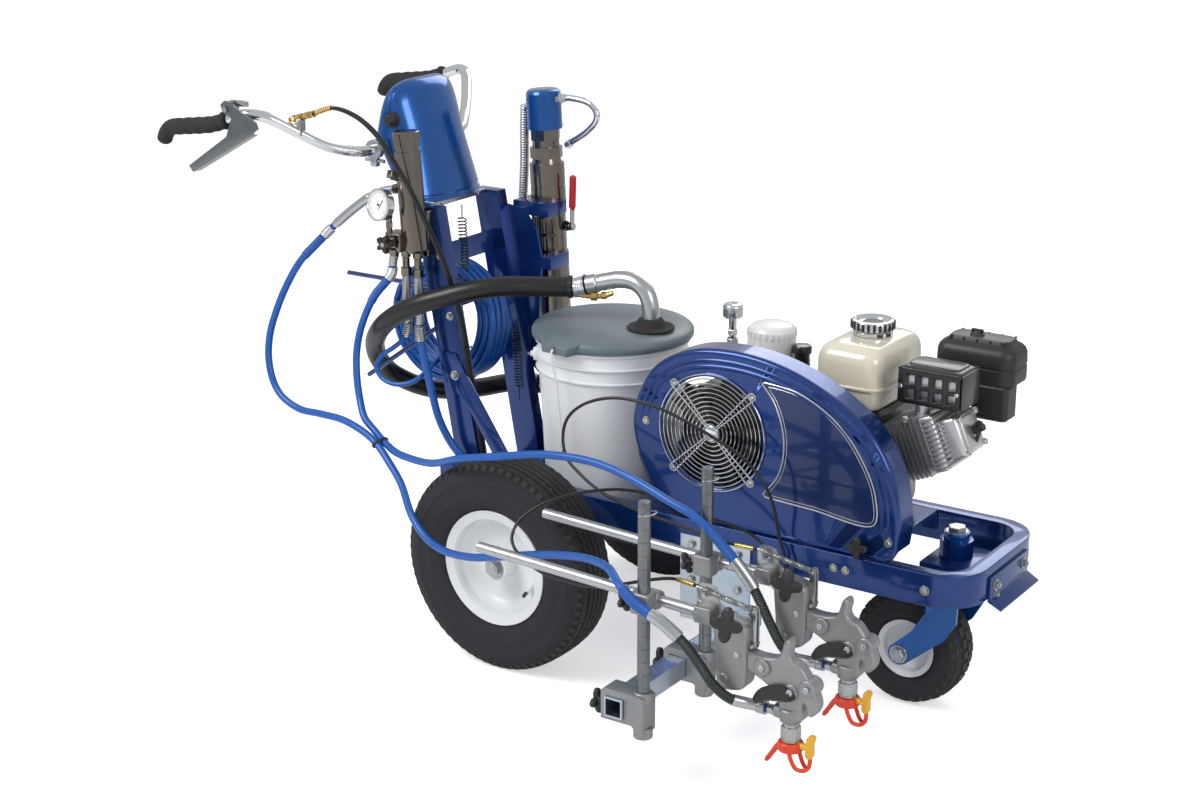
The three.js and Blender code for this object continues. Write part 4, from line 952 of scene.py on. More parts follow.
def wound(path: Sequence[Vector], turns: float, radius: float, wire: float, finish: Finish) -> bpy.types.Mesh:
    """Winds a wire round a line, as a spring does.

    Args:
        path: the line's points.
        turns: how many turns it has.
        radius: from the line to the wire's middle.
        wire: the wire's own radius.
        finish: its finish.

    Returns:
        The spring as one mesh.
    """
    line = bpy.data.curves.new("line", "CURVE")
    line.dimensions = "3D"
    run = line.splines.new("POLY")
    run.points.add(len(path) - 1)
    for k, p in enumerate(path):
        run.points[k].co = (*p, 1)
    source = bpy.data.objects.new("line", line)
    bpy.context.scene.collection.objects.link(source)
    r = Repeat("wound_wire")
    r.size("Line", "Object", source)
    r.size("Turns", "Float", turns * 2 * math.pi)
    r.size("Radius", "Float", radius)
    r.size("Wire", "Float", wire)
    r.size("Points", "Int", max(int(turns * 14), 12))
    info = r.node("GeometryNodeObjectInfo")
    even = r.node("GeometryNodeResampleCurve")
    share = r.node("GeometryNodeSplineParameter")
    angle = r.node("Math", operation="MULTIPLY")
    tangent = r.node("GeometryNodeInputTangent")
    side = r.node("VectorMath", operation="CROSS_PRODUCT")
    side.inputs[1].default_value = (0.31, 0.83, 0.47)
    unit = r.node("VectorMath", operation="NORMALIZE")
    spin = r.node("VectorRotate", rotation_type="AXIS_ANGLE")
    reach = r.node("VectorMath", operation="SCALE")
    move = r.node("GeometryNodeSetPosition")
    ring = r.node("GeometryNodeCurvePrimitiveCircle", mode="RADIUS")
    ring.inputs["Resolution"].default_value = 6
    skin = r.node("GeometryNodeCurveToMesh")
    skin.inputs["Fill Caps"].default_value = True
    i = r.inside.outputs
    r.wire(i["Line"], info.inputs["Object"])
    r.wire(info.outputs["Geometry"], even.inputs["Curve"])
    r.wire(i["Points"], even.inputs["Count"])
    r.wire(share.outputs["Factor"], angle.inputs[0])
    r.wire(i["Turns"], angle.inputs[1])
    r.wire(tangent.outputs[0], side.inputs[0])
    r.wire(side.outputs[0], unit.inputs[0])
    r.wire(unit.outputs[0], spin.inputs["Vector"])
    r.wire(tangent.outputs[0], spin.inputs["Axis"])
    r.wire(angle.outputs[0], spin.inputs["Angle"])
    r.wire(spin.outputs[0], reach.inputs[0])
    r.wire(i["Radius"], reach.inputs["Scale"])
    r.wire(even.outputs[0], move.inputs["Geometry"])
    r.wire(reach.outputs[0], move.inputs["Offset"])
    r.wire(i["Wire"], ring.inputs["Radius"])
    r.wire(move.outputs[0], skin.inputs["Curve"])
    r.wire(ring.outputs[0], skin.inputs["Profile Curve"])
    mesh = r.close(skin.outputs[0], finish)
    bpy.data.objects.remove(source)
    return mesh


# ------------------------------------------------------------------ studio
@dataclass
class Studio:
    """The camera, the floor and the soft lights."""

    eye: Point = (2.205459, -3.242329, 1.752310)
    azimuth: float = 33.65
    elevation: float = 17.67
    lens: float = 63.8166
    sensor: float = 36.0
    floor_half: float = 60.0
    paper: float = 0.86
    glow: float = 0.52
    fill: float = 0.6
    lamps: tuple[tuple[str, Point, Point, float, float], ...] = (
        ("key", (-1.6, -2.6, 3.4), (0, 0, 0.4), 2.0, 100), ("side", (3.6, -1.2, 2.2), (0, 0, 0.5), 1.4, 34),
        ("back", (-0.5, 3.4, 2.8), (0, 0, 0.6), 2.2, 40),
    )

    def stand(self, made: bpy.types.Object, place: Point, way: Vector) -> None:
        """Puts a camera or lamp in the scene.

        Args:
            made: the camera or lamp.
            place: where it stands.
            way: the direction that it faces.
        """
        made.location = place
        made.rotation_mode = "QUATERNION"
        made.rotation_quaternion = way.to_track_quat("-Z", "Y")
        bpy.context.scene.collection.objects.link(made)

    def camera(self) -> None:
        """Makes the camera and puts it to use."""
        a, e = math.radians(self.azimuth), math.radians(self.elevation)
        back = Vector((math.sin(a) * math.cos(e), -math.cos(a) * math.cos(e), math.sin(e)))
        data = bpy.data.cameras.new("camera")
        data.lens, data.sensor_width = self.lens, self.sensor
        data.clip_end = 200.0
        made = bpy.data.objects.new("camera", data)
        self.stand(made, self.eye, -back)
        bpy.context.scene.camera = made

    def floor(self) -> None:
        """Makes the plain pale floor, white to the camera where no shadow falls."""
        mesh = bpy.data.meshes.new("floor")
        r = self.floor_half
        mesh.from_pydata([(-r, -r, 0), (r, -r, 0), (r, r, 0), (-r, r, 0)], [], [(0, 1, 2, 3)])
        made = bpy.data.objects.new("floor", mesh)
        bpy.context.scene.collection.objects.link(made)
        paper = bpy.data.materials.new("pale_floor")
        paper.use_nodes = True
        tree = paper.node_tree
        shader = tree.nodes["Principled BSDF"]
        shader.inputs["Base Color"].default_value = (self.paper, self.paper, self.paper, 1)
        shader.inputs["Roughness"].default_value = 0.7
        shader.inputs["Specular IOR Level"].default_value = 0.1
        glow = add_node(tree, "Emission", Color=(self.glow, self.glow, self.glow, 1))
        ray = add_node(tree, "LightPath")
        both = add_node(tree, "AddShader")
        tree.links.new(ray.outputs["Is Camera Ray"], glow.inputs["Strength"])
        tree.links.new(shader.outputs[0], both.inputs[0])
        tree.links.new(glow.outputs[0], both.inputs[1])
        tree.links.new(both.outputs[0], tree.nodes["Material Output"].inputs["Surface"])
        mesh.materials.append(paper)

    def world(self) -> None:
        """Fills the room with soft light, and shows white behind the machine."""
        world = bpy.data.worlds.new("studio")
        bpy.context.scene.world = world
        world.use_nodes = True
        tree = world.node_tree
        fill = tree.nodes["Background"]
        fill.inputs["Color"].default_value = (0.95, 0.97, 1.0, 1)
        fill.inputs["Strength"].default_value = self.fill
        white = add_node(tree, "Background", Strength=1.0)
        white.inputs["Color"].default_value = (1, 1, 1, 1)
        ray = add_node(tree, "LightPath")
        seen = add_node(tree, "Math", operation="MAXIMUM")
        pick = add_node(tree, "MixShader")
        link = tree.links.new
        link(ray.outputs["Is Camera Ray"], seen.inputs[0])
        link(ray.outputs["Is Transmission Ray"], seen.inputs[1])
        link(seen.outputs[0], pick.inputs[0])
        link(fill.outputs[0], pick.inputs[1])
        link(white.outputs[0], pick.inputs[2])
        link(pick.outputs[0], tree.nodes["World Output"].inputs["Surface"])

    def lamp(self, name: str, place: Point, aim: Point, size: float, power: float) -> None:
        """Adds one square soft lamp.

        Args:
            name: the lamp's name.
            place: where it hangs.
            aim: the point that it faces.
            size: the length of its side.
            power: its power in watts.
        """
        data = bpy.data.lights.new(name, "AREA")
        data.size, data.energy = size, power
        self.stand(bpy.data.objects.new(name, data), place, Vector(aim) - Vector(place))

    def build(self) -> None:
        """Makes the whole studio."""
        bpy.context.scene.view_settings.view_transform = "Standard"
        self.camera()
        self.floor()
        self.world()
        for lamp in self.lamps:
            self.lamp(*lamp)


# ------------------------------------------------------------------ hoses and cables
@dataclass
class Hoses:
    """The paint hoses, the coil and the guns' control cables."""

    gun: float = 7.5
    suction: float = 20.0
    pump: float = 8.0
    lead: float = 5.0
    cable: float = 3.0
    near_gun: Outline = (
        (-497, -185, 789), (-533, -195, 752), (-575, -205, 707), (-607, -215, 652), (-626, -225, 603),
        (-639, -235, 550), (-636, -245, 499), (-619, -252, 456), (-590, -258, 430), (-541, -262, 414),
        (-485, -265, 415), (-415, -270, 414), (-333, -282, 392), (-277, -300, 358), (-234, -320, 331),
        (-174, -362, 288), (-124, -382, 261), (-70, -398, 252), (10, -420, 264), (93, -440, 290), (180, -462, 320),
        (260, -488, 346), (340, -520, 368), (410, -558, 379), (455, -594, 372), (499, -610, 352), (548, -611, 334),
        (592, -608, 304), (622, -604, 270), (645, -600, 240), (668, -588, 217), (688, -571, 207),
        (706, -561.5, 203.3), (726.4, -560, 203),
    )
    far_gun: Outline = (
        (-352.1, -181, 727.2), (-355, -181.6, 708), (-393, -192, 659), (-421, -200, 597), (-428, -210, 546),
        (-418, -225, 499), (-399, -240, 453), (-375, -256, 424), (-345, -262, 404), (-313, -272, 389),
        (-275, -285, 379), (-216, -305, 381), (-148, -330, 393), (-55, -364, 430), (38, -374, 455), (155, -376, 482),
        (263, -378, 488), (346, -388, 478), (430, -401, 458), (497, -404, 436), (552, -404, 392), (597, -396, 338),
        (620, -398, 306), (642, -397, 266), (660, -394, 236), (676, -382, 214), (694, -364, 204.5), (709, -358, 203),
        (726.7, -357, 203),
    )
    suction_run: Outline = (
        (7.3, -24.3, 703.8), (-14, -32, 699), (-72, -66, 698), (-134, -118, 700), (-185, -153, 691),
        (-230, -174, 677), (-280, -190, 659), (-328, -194, 634), (-370, -187, 606), (-413, -162, 570),
        (-447, -130, 534), (-463, -100, 496), (-464, -65, 459), (-444, -30, 431), (-414, 5, 412), (-378, 48, 403),
        (-347, 98, 401), (-322, 145, 402), (-292, 180, 404), (-272, 185, 404), (-250.3, 185, 404),
    )
    pump_run: Outline = (
        (-313, -150, 603.7), (-313, -150, 586), (-306, -150, 546), (-292, -148, 484), (-274, -143, 408),
        (-248, -132, 352), (-215, -127, 322), (-175, -126, 303), (-150, -98, 294), (-146, -40, 290), (-148, 30, 290),
        (-160, 85, 306), (-182, 125, 345), (-203, 150, 392),
    )
    lead_run: Outline = (
        (-343, -150, 603.7), (-343, -150, 590), (-350, -153, 570), (-370, -160, 550), (-397, -170, 528),
        (-406, -176, 505), (-392, -179, 486), (-357, -178, 477), (-324, -162, 484), (-312, -140, 498),
        (-308, -110, 512), (-312, -75, 520), (-330, -52, 500), (-345, -44, 474),
    )
    cable_top: Outline = (
        (-463, -262, 1032), (-432, -247, 1042), (-391, -228, 1027), (-352, -211, 990), (-322, -200, 940),
        (-298, -191, 898), (-280, -181, 855), (-261, -167, 800), (-245, -152, 745), (-230, -136, 670),
        (-224, -118, 600), (-222, -106, 530), (-207, -104, 440), (-192, -104, 350), (-184, -105, 292),
        (-177, -107, 262), (-168, -110, 250), (-140, -115, 247), (-40, -122, 249), (150, -122, 253), (380, -122, 253),
        (490, -124, 250),
    )
    cable_cross: Outline = ((530, -152, 244), (548, -182, 253), (553, -190, 282))
    far_loop: Outline = (
        (548, -186, 312), (540, -190, 339), (538, -200, 375), (535, -206, 405), (520, -215, 448), (486, -222, 488),
        (434, -230, 518), (359, -236, 548), (285, -242, 567), (209, -248, 566), (150, -255, 543), (122, -262, 513),
        (118, -270, 480), (134, -282, 446), (170, -292, 424), (217, -302, 405), (256, -310, 397), (321, -322, 390),
        (416, -338, 388), (508, -354, 384), (582, -353, 384),
    )
    near_loop: Outline = (
        (532, -199, 308), (515, -204, 326), (492, -208, 344), (449, -225, 362), (385, -250, 381), (336, -275, 406),
        (278, -310, 419), (233, -345, 418), (188, -375, 407), (154, -400, 390), (127, -425, 363), (125, -445, 340),
        (140, -460, 326), (173, -475, 315), (225, -490, 305), (294, -505, 309), (351, -520, 318), (419, -531, 342),
        (482, -537, 367), (535, -546, 384), (582, -553, 385),
    )
    rib_pitch: float = 4.2
    coil_centre: Point = (-350.0, 575.0)
    coil_hose: float = 7.0
    coil_inner: float = 93.5
    coil_ring: float = 15.0
    coil_edge: float = -26.5
    coil_lane: float = 17.7
    coil_ties: Point = (40, 165, 290)

    def cable_route(self, shift: float, loop: Outline) -> list[Point]:
        """Gives one gun cable's route from the lever to the gun.

        Args:
            shift: how far it lies beside the other cable.
            loop: its own loose end.

        Returns:
            The route's points.
        """
        top = [(x, y + shift, z) for x, y, z in self.cable_top]
        return [*top, *((x + shift * 2, y, z) for x, y, z in self.cable_cross), *loop]

    def run(
        self,
        node: str,
        route: Outline,
        radius: float,
        finish: Finish,
        steps: int,
        sides: int = 16,
        fittings: Sequence[tuple[float, float, float, Finish, bool]] = (),
    ) -> None:
        """Makes one hose or cable with the sleeves and ferrules on it.

        Args:
            node: the frame's node that it replaces.
            route: the points that it follows.
            radius: its radius.
            finish: its jacket's finish.
            steps: how many pieces its length is cut into.
            sides: how many flats it has round it.
            fittings: sleeves, each with its start and end in mm along the hose, its added
                radius, its finish, and whether it is ribbed.
        """
        line = spline(route, steps)
        whole = length_of(line)
        shape = Shape()
        shape.tube(line, radius, sides)
        piece = shape.piece(
            f"{node}_jacket", "frame", [finish], "blue_hose" if finish is BLUE_HOSE else "black_hose", [node],
        )
        fine = spline(route, max(int(whole / 2), 40))
        for k, (start, end, extra, look, ribbed) in enumerate(fittings):
            start = start if start >= 0 else whole + start
            end = end if end > 0 else whole + end
            part = self.stretch(fine, start, end)
            sleeve = Shape()
            if ribbed:
                count = max(int((end - start) / self.rib_pitch), 2)
                dense = spline([tuple(p) for p in part], count * 6)
                sleeve.tube(dense, self.ribs(radius + extra, count), sides)
            else:
                sleeve.tube(part, radius + extra, sides)
            slot = "blue_hose" if look is BLUE_HOSE else "zinc_plate"
            sleeve.piece(f"{node}_sleeve_{k}", "frame", [look], slot)

    def ribs(self, radius: float, count: int) -> Callable[[float], float]:
        """Gives a ribbed sleeve's radius along its length.

        Args:
            radius: the radius at the tops of the ribs.
            count: how many ribs it has.

        Returns:
            A function of the share of the way along.
        """
        return lambda share: radius - 1.1 * (1 - abs(math.cos(math.pi * share * count)))

    def stretch(self, line: Sequence[Vector], start: float, end: float) -> list[Vector]:
        """Cuts one stretch out of a line.

        Args:
            line: the whole line's points.
            start: where the stretch starts, in mm along it.
            end: where it ends.

        Returns:
            The stretch's points.
        """
        out, gone = [], 0.0
        for a, b in zip(line, line[1:]):
            step = (b - a).length
            for mark in (start, end):
                if gone <= mark < gone + step:
                    out.append(a.lerp(b, (mark - gone) / step))
            if start < gone + step < end:
                out.append(b.copy())
            gone += step
        if len(out) < 2 or end >= gone:
            out.append(line[-1].copy())
        return out

    def coil(self) -> None:
        """Winds the spare paint hose, with its whole length in its turns, and ties it."""
        (x, z), radius, per_turn = self.coil_centre, self.coil_hose, 30
        lanes = [
            (self.coil_inner + self.coil_ring * ring, self.coil_edge + self.coil_lane * lane)
            for ring in range(3)
            for lane in range(4)
        ]
        route: list[Point] = []
        for k, (r, y) in enumerate(lanes):
            forward = lanes[k + 1] if k + 1 < len(lanes) else (r, y)
            for i in range(per_turn):
                a = 2 * math.pi * i / per_turn + 0.9
                s = max(0.0, (i - per_turn * 0.8) / (per_turn * 0.2))
                s = s * s * (3 - 2 * s)
                rr = r + (forward[0] - r) * s
                yy = y + (forward[1] - y) * s
                route.append((x + rr * math.cos(a), yy, z + rr * math.sin(a)))
        line = spline(route, 520)
        shape = Shape()
        shape.tube(line, radius, 12)
        piece = shape.piece("hose_coil_turns", "frame", [BLUE_HOSE], "blue_hose", ["hose_coil"])
        ties = Shape()
        for degrees in self.coil_ties:
            a = math.radians(degrees)
            out = Vector((math.cos(a), 0, math.sin(a)))
            ring = []
            for i in range(25):
                t = 2 * math.pi * i / 24
                u, v = math.cos(t), math.sin(t)
                grow = 1 / max(abs(u) ** 4 + abs(v) ** 4, 1e-6) ** 0.25
                reach = self.coil_inner + self.coil_ring + 24.6 * u * grow
                ring.append(Vector((x, 36.0 * v * grow, z)) + out * reach)
            ties.tube(ring, 1.3, 8)
        tie = ties.piece("coil_ties", "frame", [BLACK_PLASTIC], "black_plastic")

    def build(self) -> None:
        """Makes every hose and cable."""
        guard = [
            (4, 30, 3.2, BRIGHT_CAST, True), (34, 96, 1.6, BLUE_HOSE, True),
        ]
        gun_end = [
            (-330, -262, 2.4, BLUE_HOSE, True), (-262, -200, 3.6, TUBE_ALUMINIUM, False),
            (-200, -62, 1.6, DARK_SPRING, True), (-62, -18, 2.4, TUBE_ALUMINIUM, False), (-18, -2, 4.6, ZINC, True),
        ]
        self.run("near_gun_hose", self.near_gun, self.gun, BLUE_HOSE, 260, 16, [*guard, *gun_end])
        self.run("far_gun_hose", self.far_gun, self.gun, BLUE_HOSE, 240, 16, [*guard, *gun_end])
        self.run("suction_hose", self.suction_run, self.suction, BLACK_HOSE, 130, 32, [
            (2, 26, 2.2, CHROME, True), (30, 38, 2.6, DARK_SPRING, False), (-34, -4, 2.2, CHROME, True),
        ])
        self.run("pump_hose", self.pump_run, self.pump, BLUE_HOSE, 110, 16, [
            (2, 34, 3.4, TUBE_ALUMINIUM, True), (-40, -3, 3.0, TUBE_ALUMINIUM, True),
        ])
        self.run("coil_lead", self.lead_run, self.lead, BLUE_HOSE, 110, 14, [(2, 30, 3.4, TUBE_ALUMINIUM, True)])
        self.coil()
        for node, shift, loop in (("near_gun_cable", -8, self.near_loop), ("far_gun_cable", 0, self.far_loop)):
            self.run(node, self.cable_route(shift, loop), self.cable, BLACK_HOSE, 380, 10, [
                (2, 34, 2.0, BRASS, True), (-40, -4, 1.3, BRASS, False),
            ])


# ------------------------------------------------------------------ wheels
@dataclass
class Wheel:
    """One pneumatic wheel: a pressed steel rim and a tyre with moulded tread."""

    name: str
    body: str
    centre: Point
    radius: float = 210.0
    width: float = 118.0
    bead: float = 101.0
    flange: float = 115.5
    axle: float = 10.0
    hub_half: float = 44.0
    side: float = -1.0
    lugs: int = 66
    small: bool = False

    def rim(self) -> None:
        """Makes the pressed rim with its dish, hub, flange lips and valve."""
        half, seat, lip = self.width * 0.41, self.bead, self.flange
        well, hub = seat * 0.86, seat * 0.26
        bore = self.axle + 0.3
        deep = half * 0.36
        profile = [
            (lip - 1, half + 0.4), (lip, half - 0.6), (lip, half - 3.2), (lip - 2.5, half - 4.4),
            (seat + 2, half - 5.4), (seat, half - 7), (seat, half * 0.55), (well + 3, half * 0.38),
            (well, half * 0.3), (well, -half * 0.3), (well + 3, -half * 0.38), (seat, -half * 0.55),
            (seat, -half + 7), (seat + 2, -half + 5.4), (lip - 2.5, -half + 4.4), (lip, -half + 3.2),
            (lip, -half + 0.6), (lip - 1, -half - 0.4), (lip - 4, -half + 1.2), (seat - 3, -half + 4.6),
            (seat - 4.6, -half + 10), (seat - 5.4, -half * 0.5), (well - 3, -half * 0.34), (well - 6, -half * 0.2),
            (well - 7.5, 1), (well - 14, 2.6), (hub + 22, 2), (hub + 12, -1), (hub + 5, -3), (hub + 1, -5), (hub, -8),
            (hub, -self.hub_half + 1), (hub - 1, -self.hub_half), (bore, -self.hub_half), (bore, self.hub_half),
            (hub - 1.5, self.hub_half), (hub, self.hub_half - 1.5), (hub, 14), (hub + 1.5, 10), (hub + 7, 8.4),
            (hub + 14, 7.6), (well - 16, deep * 0.6 + 2), (well - 9, deep * 0.85 + 2), (well - 5, deep + 3),
            (seat - 6, half * 0.55), (seat - 5, half - 9), (seat - 3.4, half - 4), (lip - 4, half - 1),
        ]
        shape = Shape()
        shape.turned(profile, self.centre, Axis.Y, 96, self.side)
        cx, cy, cz = self.centre
        stem = Vector((cx + 66, cy + self.side * 14, cz - 34))
        if not self.small:
            shape.bar(stem, stem + Vector((5, self.side * 26, -3)), 5.2, 20, soft=1)
        name = f"{self.name}_rim"
        shape.piece(f"{name}_pressed", self.body, [WHITE_ENAMEL], "white_paint", [name])
        if self.small:
            return
        trim = Shape()
        trim.bar(stem + Vector((4, self.side * 24, -3)), stem + Vector((7, self.side * 38, -5)), 3.6, 16, soft=0.6)
        trim.paint = 1
        for sign in (-1, 1):
            trim.turned(
                [(bore + 0.2, 0), (hub - 3, 0), (hub - 3, 2.2), (hub - 5, 3.2), (bore + 0.2, 3.2)],
                (cx, cy + sign * (self.hub_half - 2.6), cz), Axis.Y, 48, sign,
            )
        trim.piece(f"{self.name}_valve_and_seals", self.body, [BLACK_PLASTIC, ZINC], "zinc_plate")

    def wall(self, share: float) -> float:
        """Returns the radius at a share of the sidewall's height above the flange."""
        return self.flange + (self.radius - self.flange) * share

    def tyre(self) -> None:
        """Makes the carcass with its bead, ribbed sidewall and moulded tread."""
        half, rim = self.width / 2, self.width * 0.41
        at = self.wall
        crown = self.radius - (4.5 if self.small else 5.0)
        outer = [
            (self.bead + 0.5, rim - 8), (self.flange - 2, rim - 6.2), (self.flange + 1.2, rim - 4.6),
            (self.flange + 3, rim - 1), (at(0.08) + 2, half * 0.9), (at(0.2), half * 0.955), (at(0.3), half * 0.975),
            (at(0.33), half * 0.998), (at(0.36), half * 0.982), (at(0.5), half * 0.995), (at(0.62), half * 0.985),
            (at(0.64), half * 1.0), (at(0.67), half * 0.975), (at(0.76), half * 0.93), (at(0.85), half * 0.86),
            (crown - 3, half * 0.74), (crown, half * 0.56), (crown + 0.8, half * 0.3), (crown + 1, 0.01),
        ]
        mirrored = [(r, -h) for r, h in outer[:-1]][::-1]
        inner = [(self.bead + 0.5, -rim * 0.62), (at(0.45), -half * 0.8), (at(0.85) - 4, -half * 0.5)]
        back = [(r, -h) for r, h in inner][::-1]
        shape = Shape()
        shape.turned([*outer, *mirrored, *inner, *back], self.centre, Axis.Y, 120, self.side)
        place = Matrix.Translation(self.centre) @ Matrix.Rotation(math.radians(-90), 4, "X")
        shape.paint = 1
        shape.take(self.tread(crown, half), place)
        if not self.small:
            shape.paint = 2
            for y in (-half * 0.2, half * 0.2):
                shape.turned(
                    [(crown + 1.1, y - 0.5), (crown + 1.7, y - 0.5), (crown + 1.7, y + 0.5), (crown + 1.1, y + 0.5)],
                    self.centre, Axis.Y, 96,
                )
        name = f"{self.name}_tyre"
        shape.piece(f"{name}_moulded", self.body, [TYRE, TREAD, AMBER_LINE], "tyre_rubber", [name], angle=30)

    def tread(self, crown: float, half: float) -> bpy.types.Mesh:
        """Moulds one pitch of the tread and copies it round the tyre.

        Args:
            crown: the radius of the tread's floor.
            half: half the tyre's width.

        Returns:
            The tread, about the Z axis.
        """
        unit = Shape()
        pitch = 2 * math.pi / self.lugs
        top = self.radius
        if self.small:
            rows = [(-0.62, 0.2, 0.0), (-0.2, 0.17, 0.5), (0.2, 0.17, 0.0), (0.62, 0.2, 0.5)]
            for middle, wide, offset in rows:
                drop = 1.0 if abs(middle) < 0.5 else 6.5
                self.lug(
                    unit, (middle - wide) * half, (middle + wide) * half, offset * pitch, pitch * 0.66, crown - 8,
                    top - drop, top - drop,
                )
            for sign in (-1, 1):
                self.lug(
                    unit, sign * 0.86 * half, sign * 0.97 * half, 0.25 * pitch, pitch * 0.5, crown - 20, top - 9,
                    top - 14,
                )
            return round_axis(unit, self.lugs, TREAD)
        swing = pitch * 0.34
        for middle in (-0.36, -0.12, 0.12, 0.36):
            self.zigzag(unit, middle * half, 0.088 * half, crown - 3, top - 0.4 - 4.5 * middle * middle, pitch, swing)
        for sign in (-1, 1):
            self.zigzag(unit, sign * 0.6 * half, 0.1 * half, crown - 6, top - 2.6, pitch, swing * 0.8)
            self.lug(
                unit, sign * 0.735 * half, sign * 0.86 * half, pitch * 0.25, pitch * 0.56, crown - 16, top - 5.0,
                top - 12.5,
            )
        return round_axis(unit, self.lugs, TREAD)

    def lug(
        self, unit: Shape, y0: float, y1: float, start: float, span: float, low: float, top0: float, top1: float,
    ) -> None:
        """Adds one tread lug, in cylinder coordinates about Z.

        Args:
            unit: the shape that it joins.
            y0: where it starts across the tyre.
            y1: where it ends across the tyre.
            start: the angle where it starts.
            span: the angle that it takes.
            low: the radius of its foot.
            top0: the radius of its top at y0.
            top1: the radius of its top at y1.
        """
        points = []
        for y, top in ((y0, top0), (y1, top1)):
            for r, grow in ((low, 0.03), (top, 0.0)):
                for a in (start - span * grow, start + span * (1 + grow)):
                    points.append((r * math.cos(a), r * math.sin(a), y))
        unit.surface(points, [(0, 1, 3, 2), (4, 6, 7, 5), (0, 4, 5, 1), (2, 3, 7, 6), (0, 2, 6, 4), (1, 5, 7, 3)])

    def zigzag(self, unit: Shape, y: float, wide: float, low: float, top: float, pitch: float, swing: float) -> None:
        """Adds one pitch of a zigzag rib that runs round the tyre.

        Args:
            unit: the shape that it joins.
            y: the rib's middle across the tyre.
            wide: half the rib's width.
            low: the radius of its foot.
            top: the radius of its top.
            pitch: the angle of one pitch.
            swing: how far the zigzag swings, as an angle that sets its width.
        """
        reach = swing * top * 0.35
        rows = []
        for share, side in ((0.0, -1), (0.5, 1), (0.985, -1)):
            a = pitch * share
            m = y + side * reach * 0.5
            rows.append([
                (r * math.cos(a), r * math.sin(a), m + w)
                for r, w in ((low, -wide - 0.6), (top, -wide), (top, wide), (low, wide + 0.6))
            ])
        unit.grid(rows, True, False, cap=True)

    def build(self) -> None:
        """Makes the whole wheel."""
        self.rim()
        self.tyre()


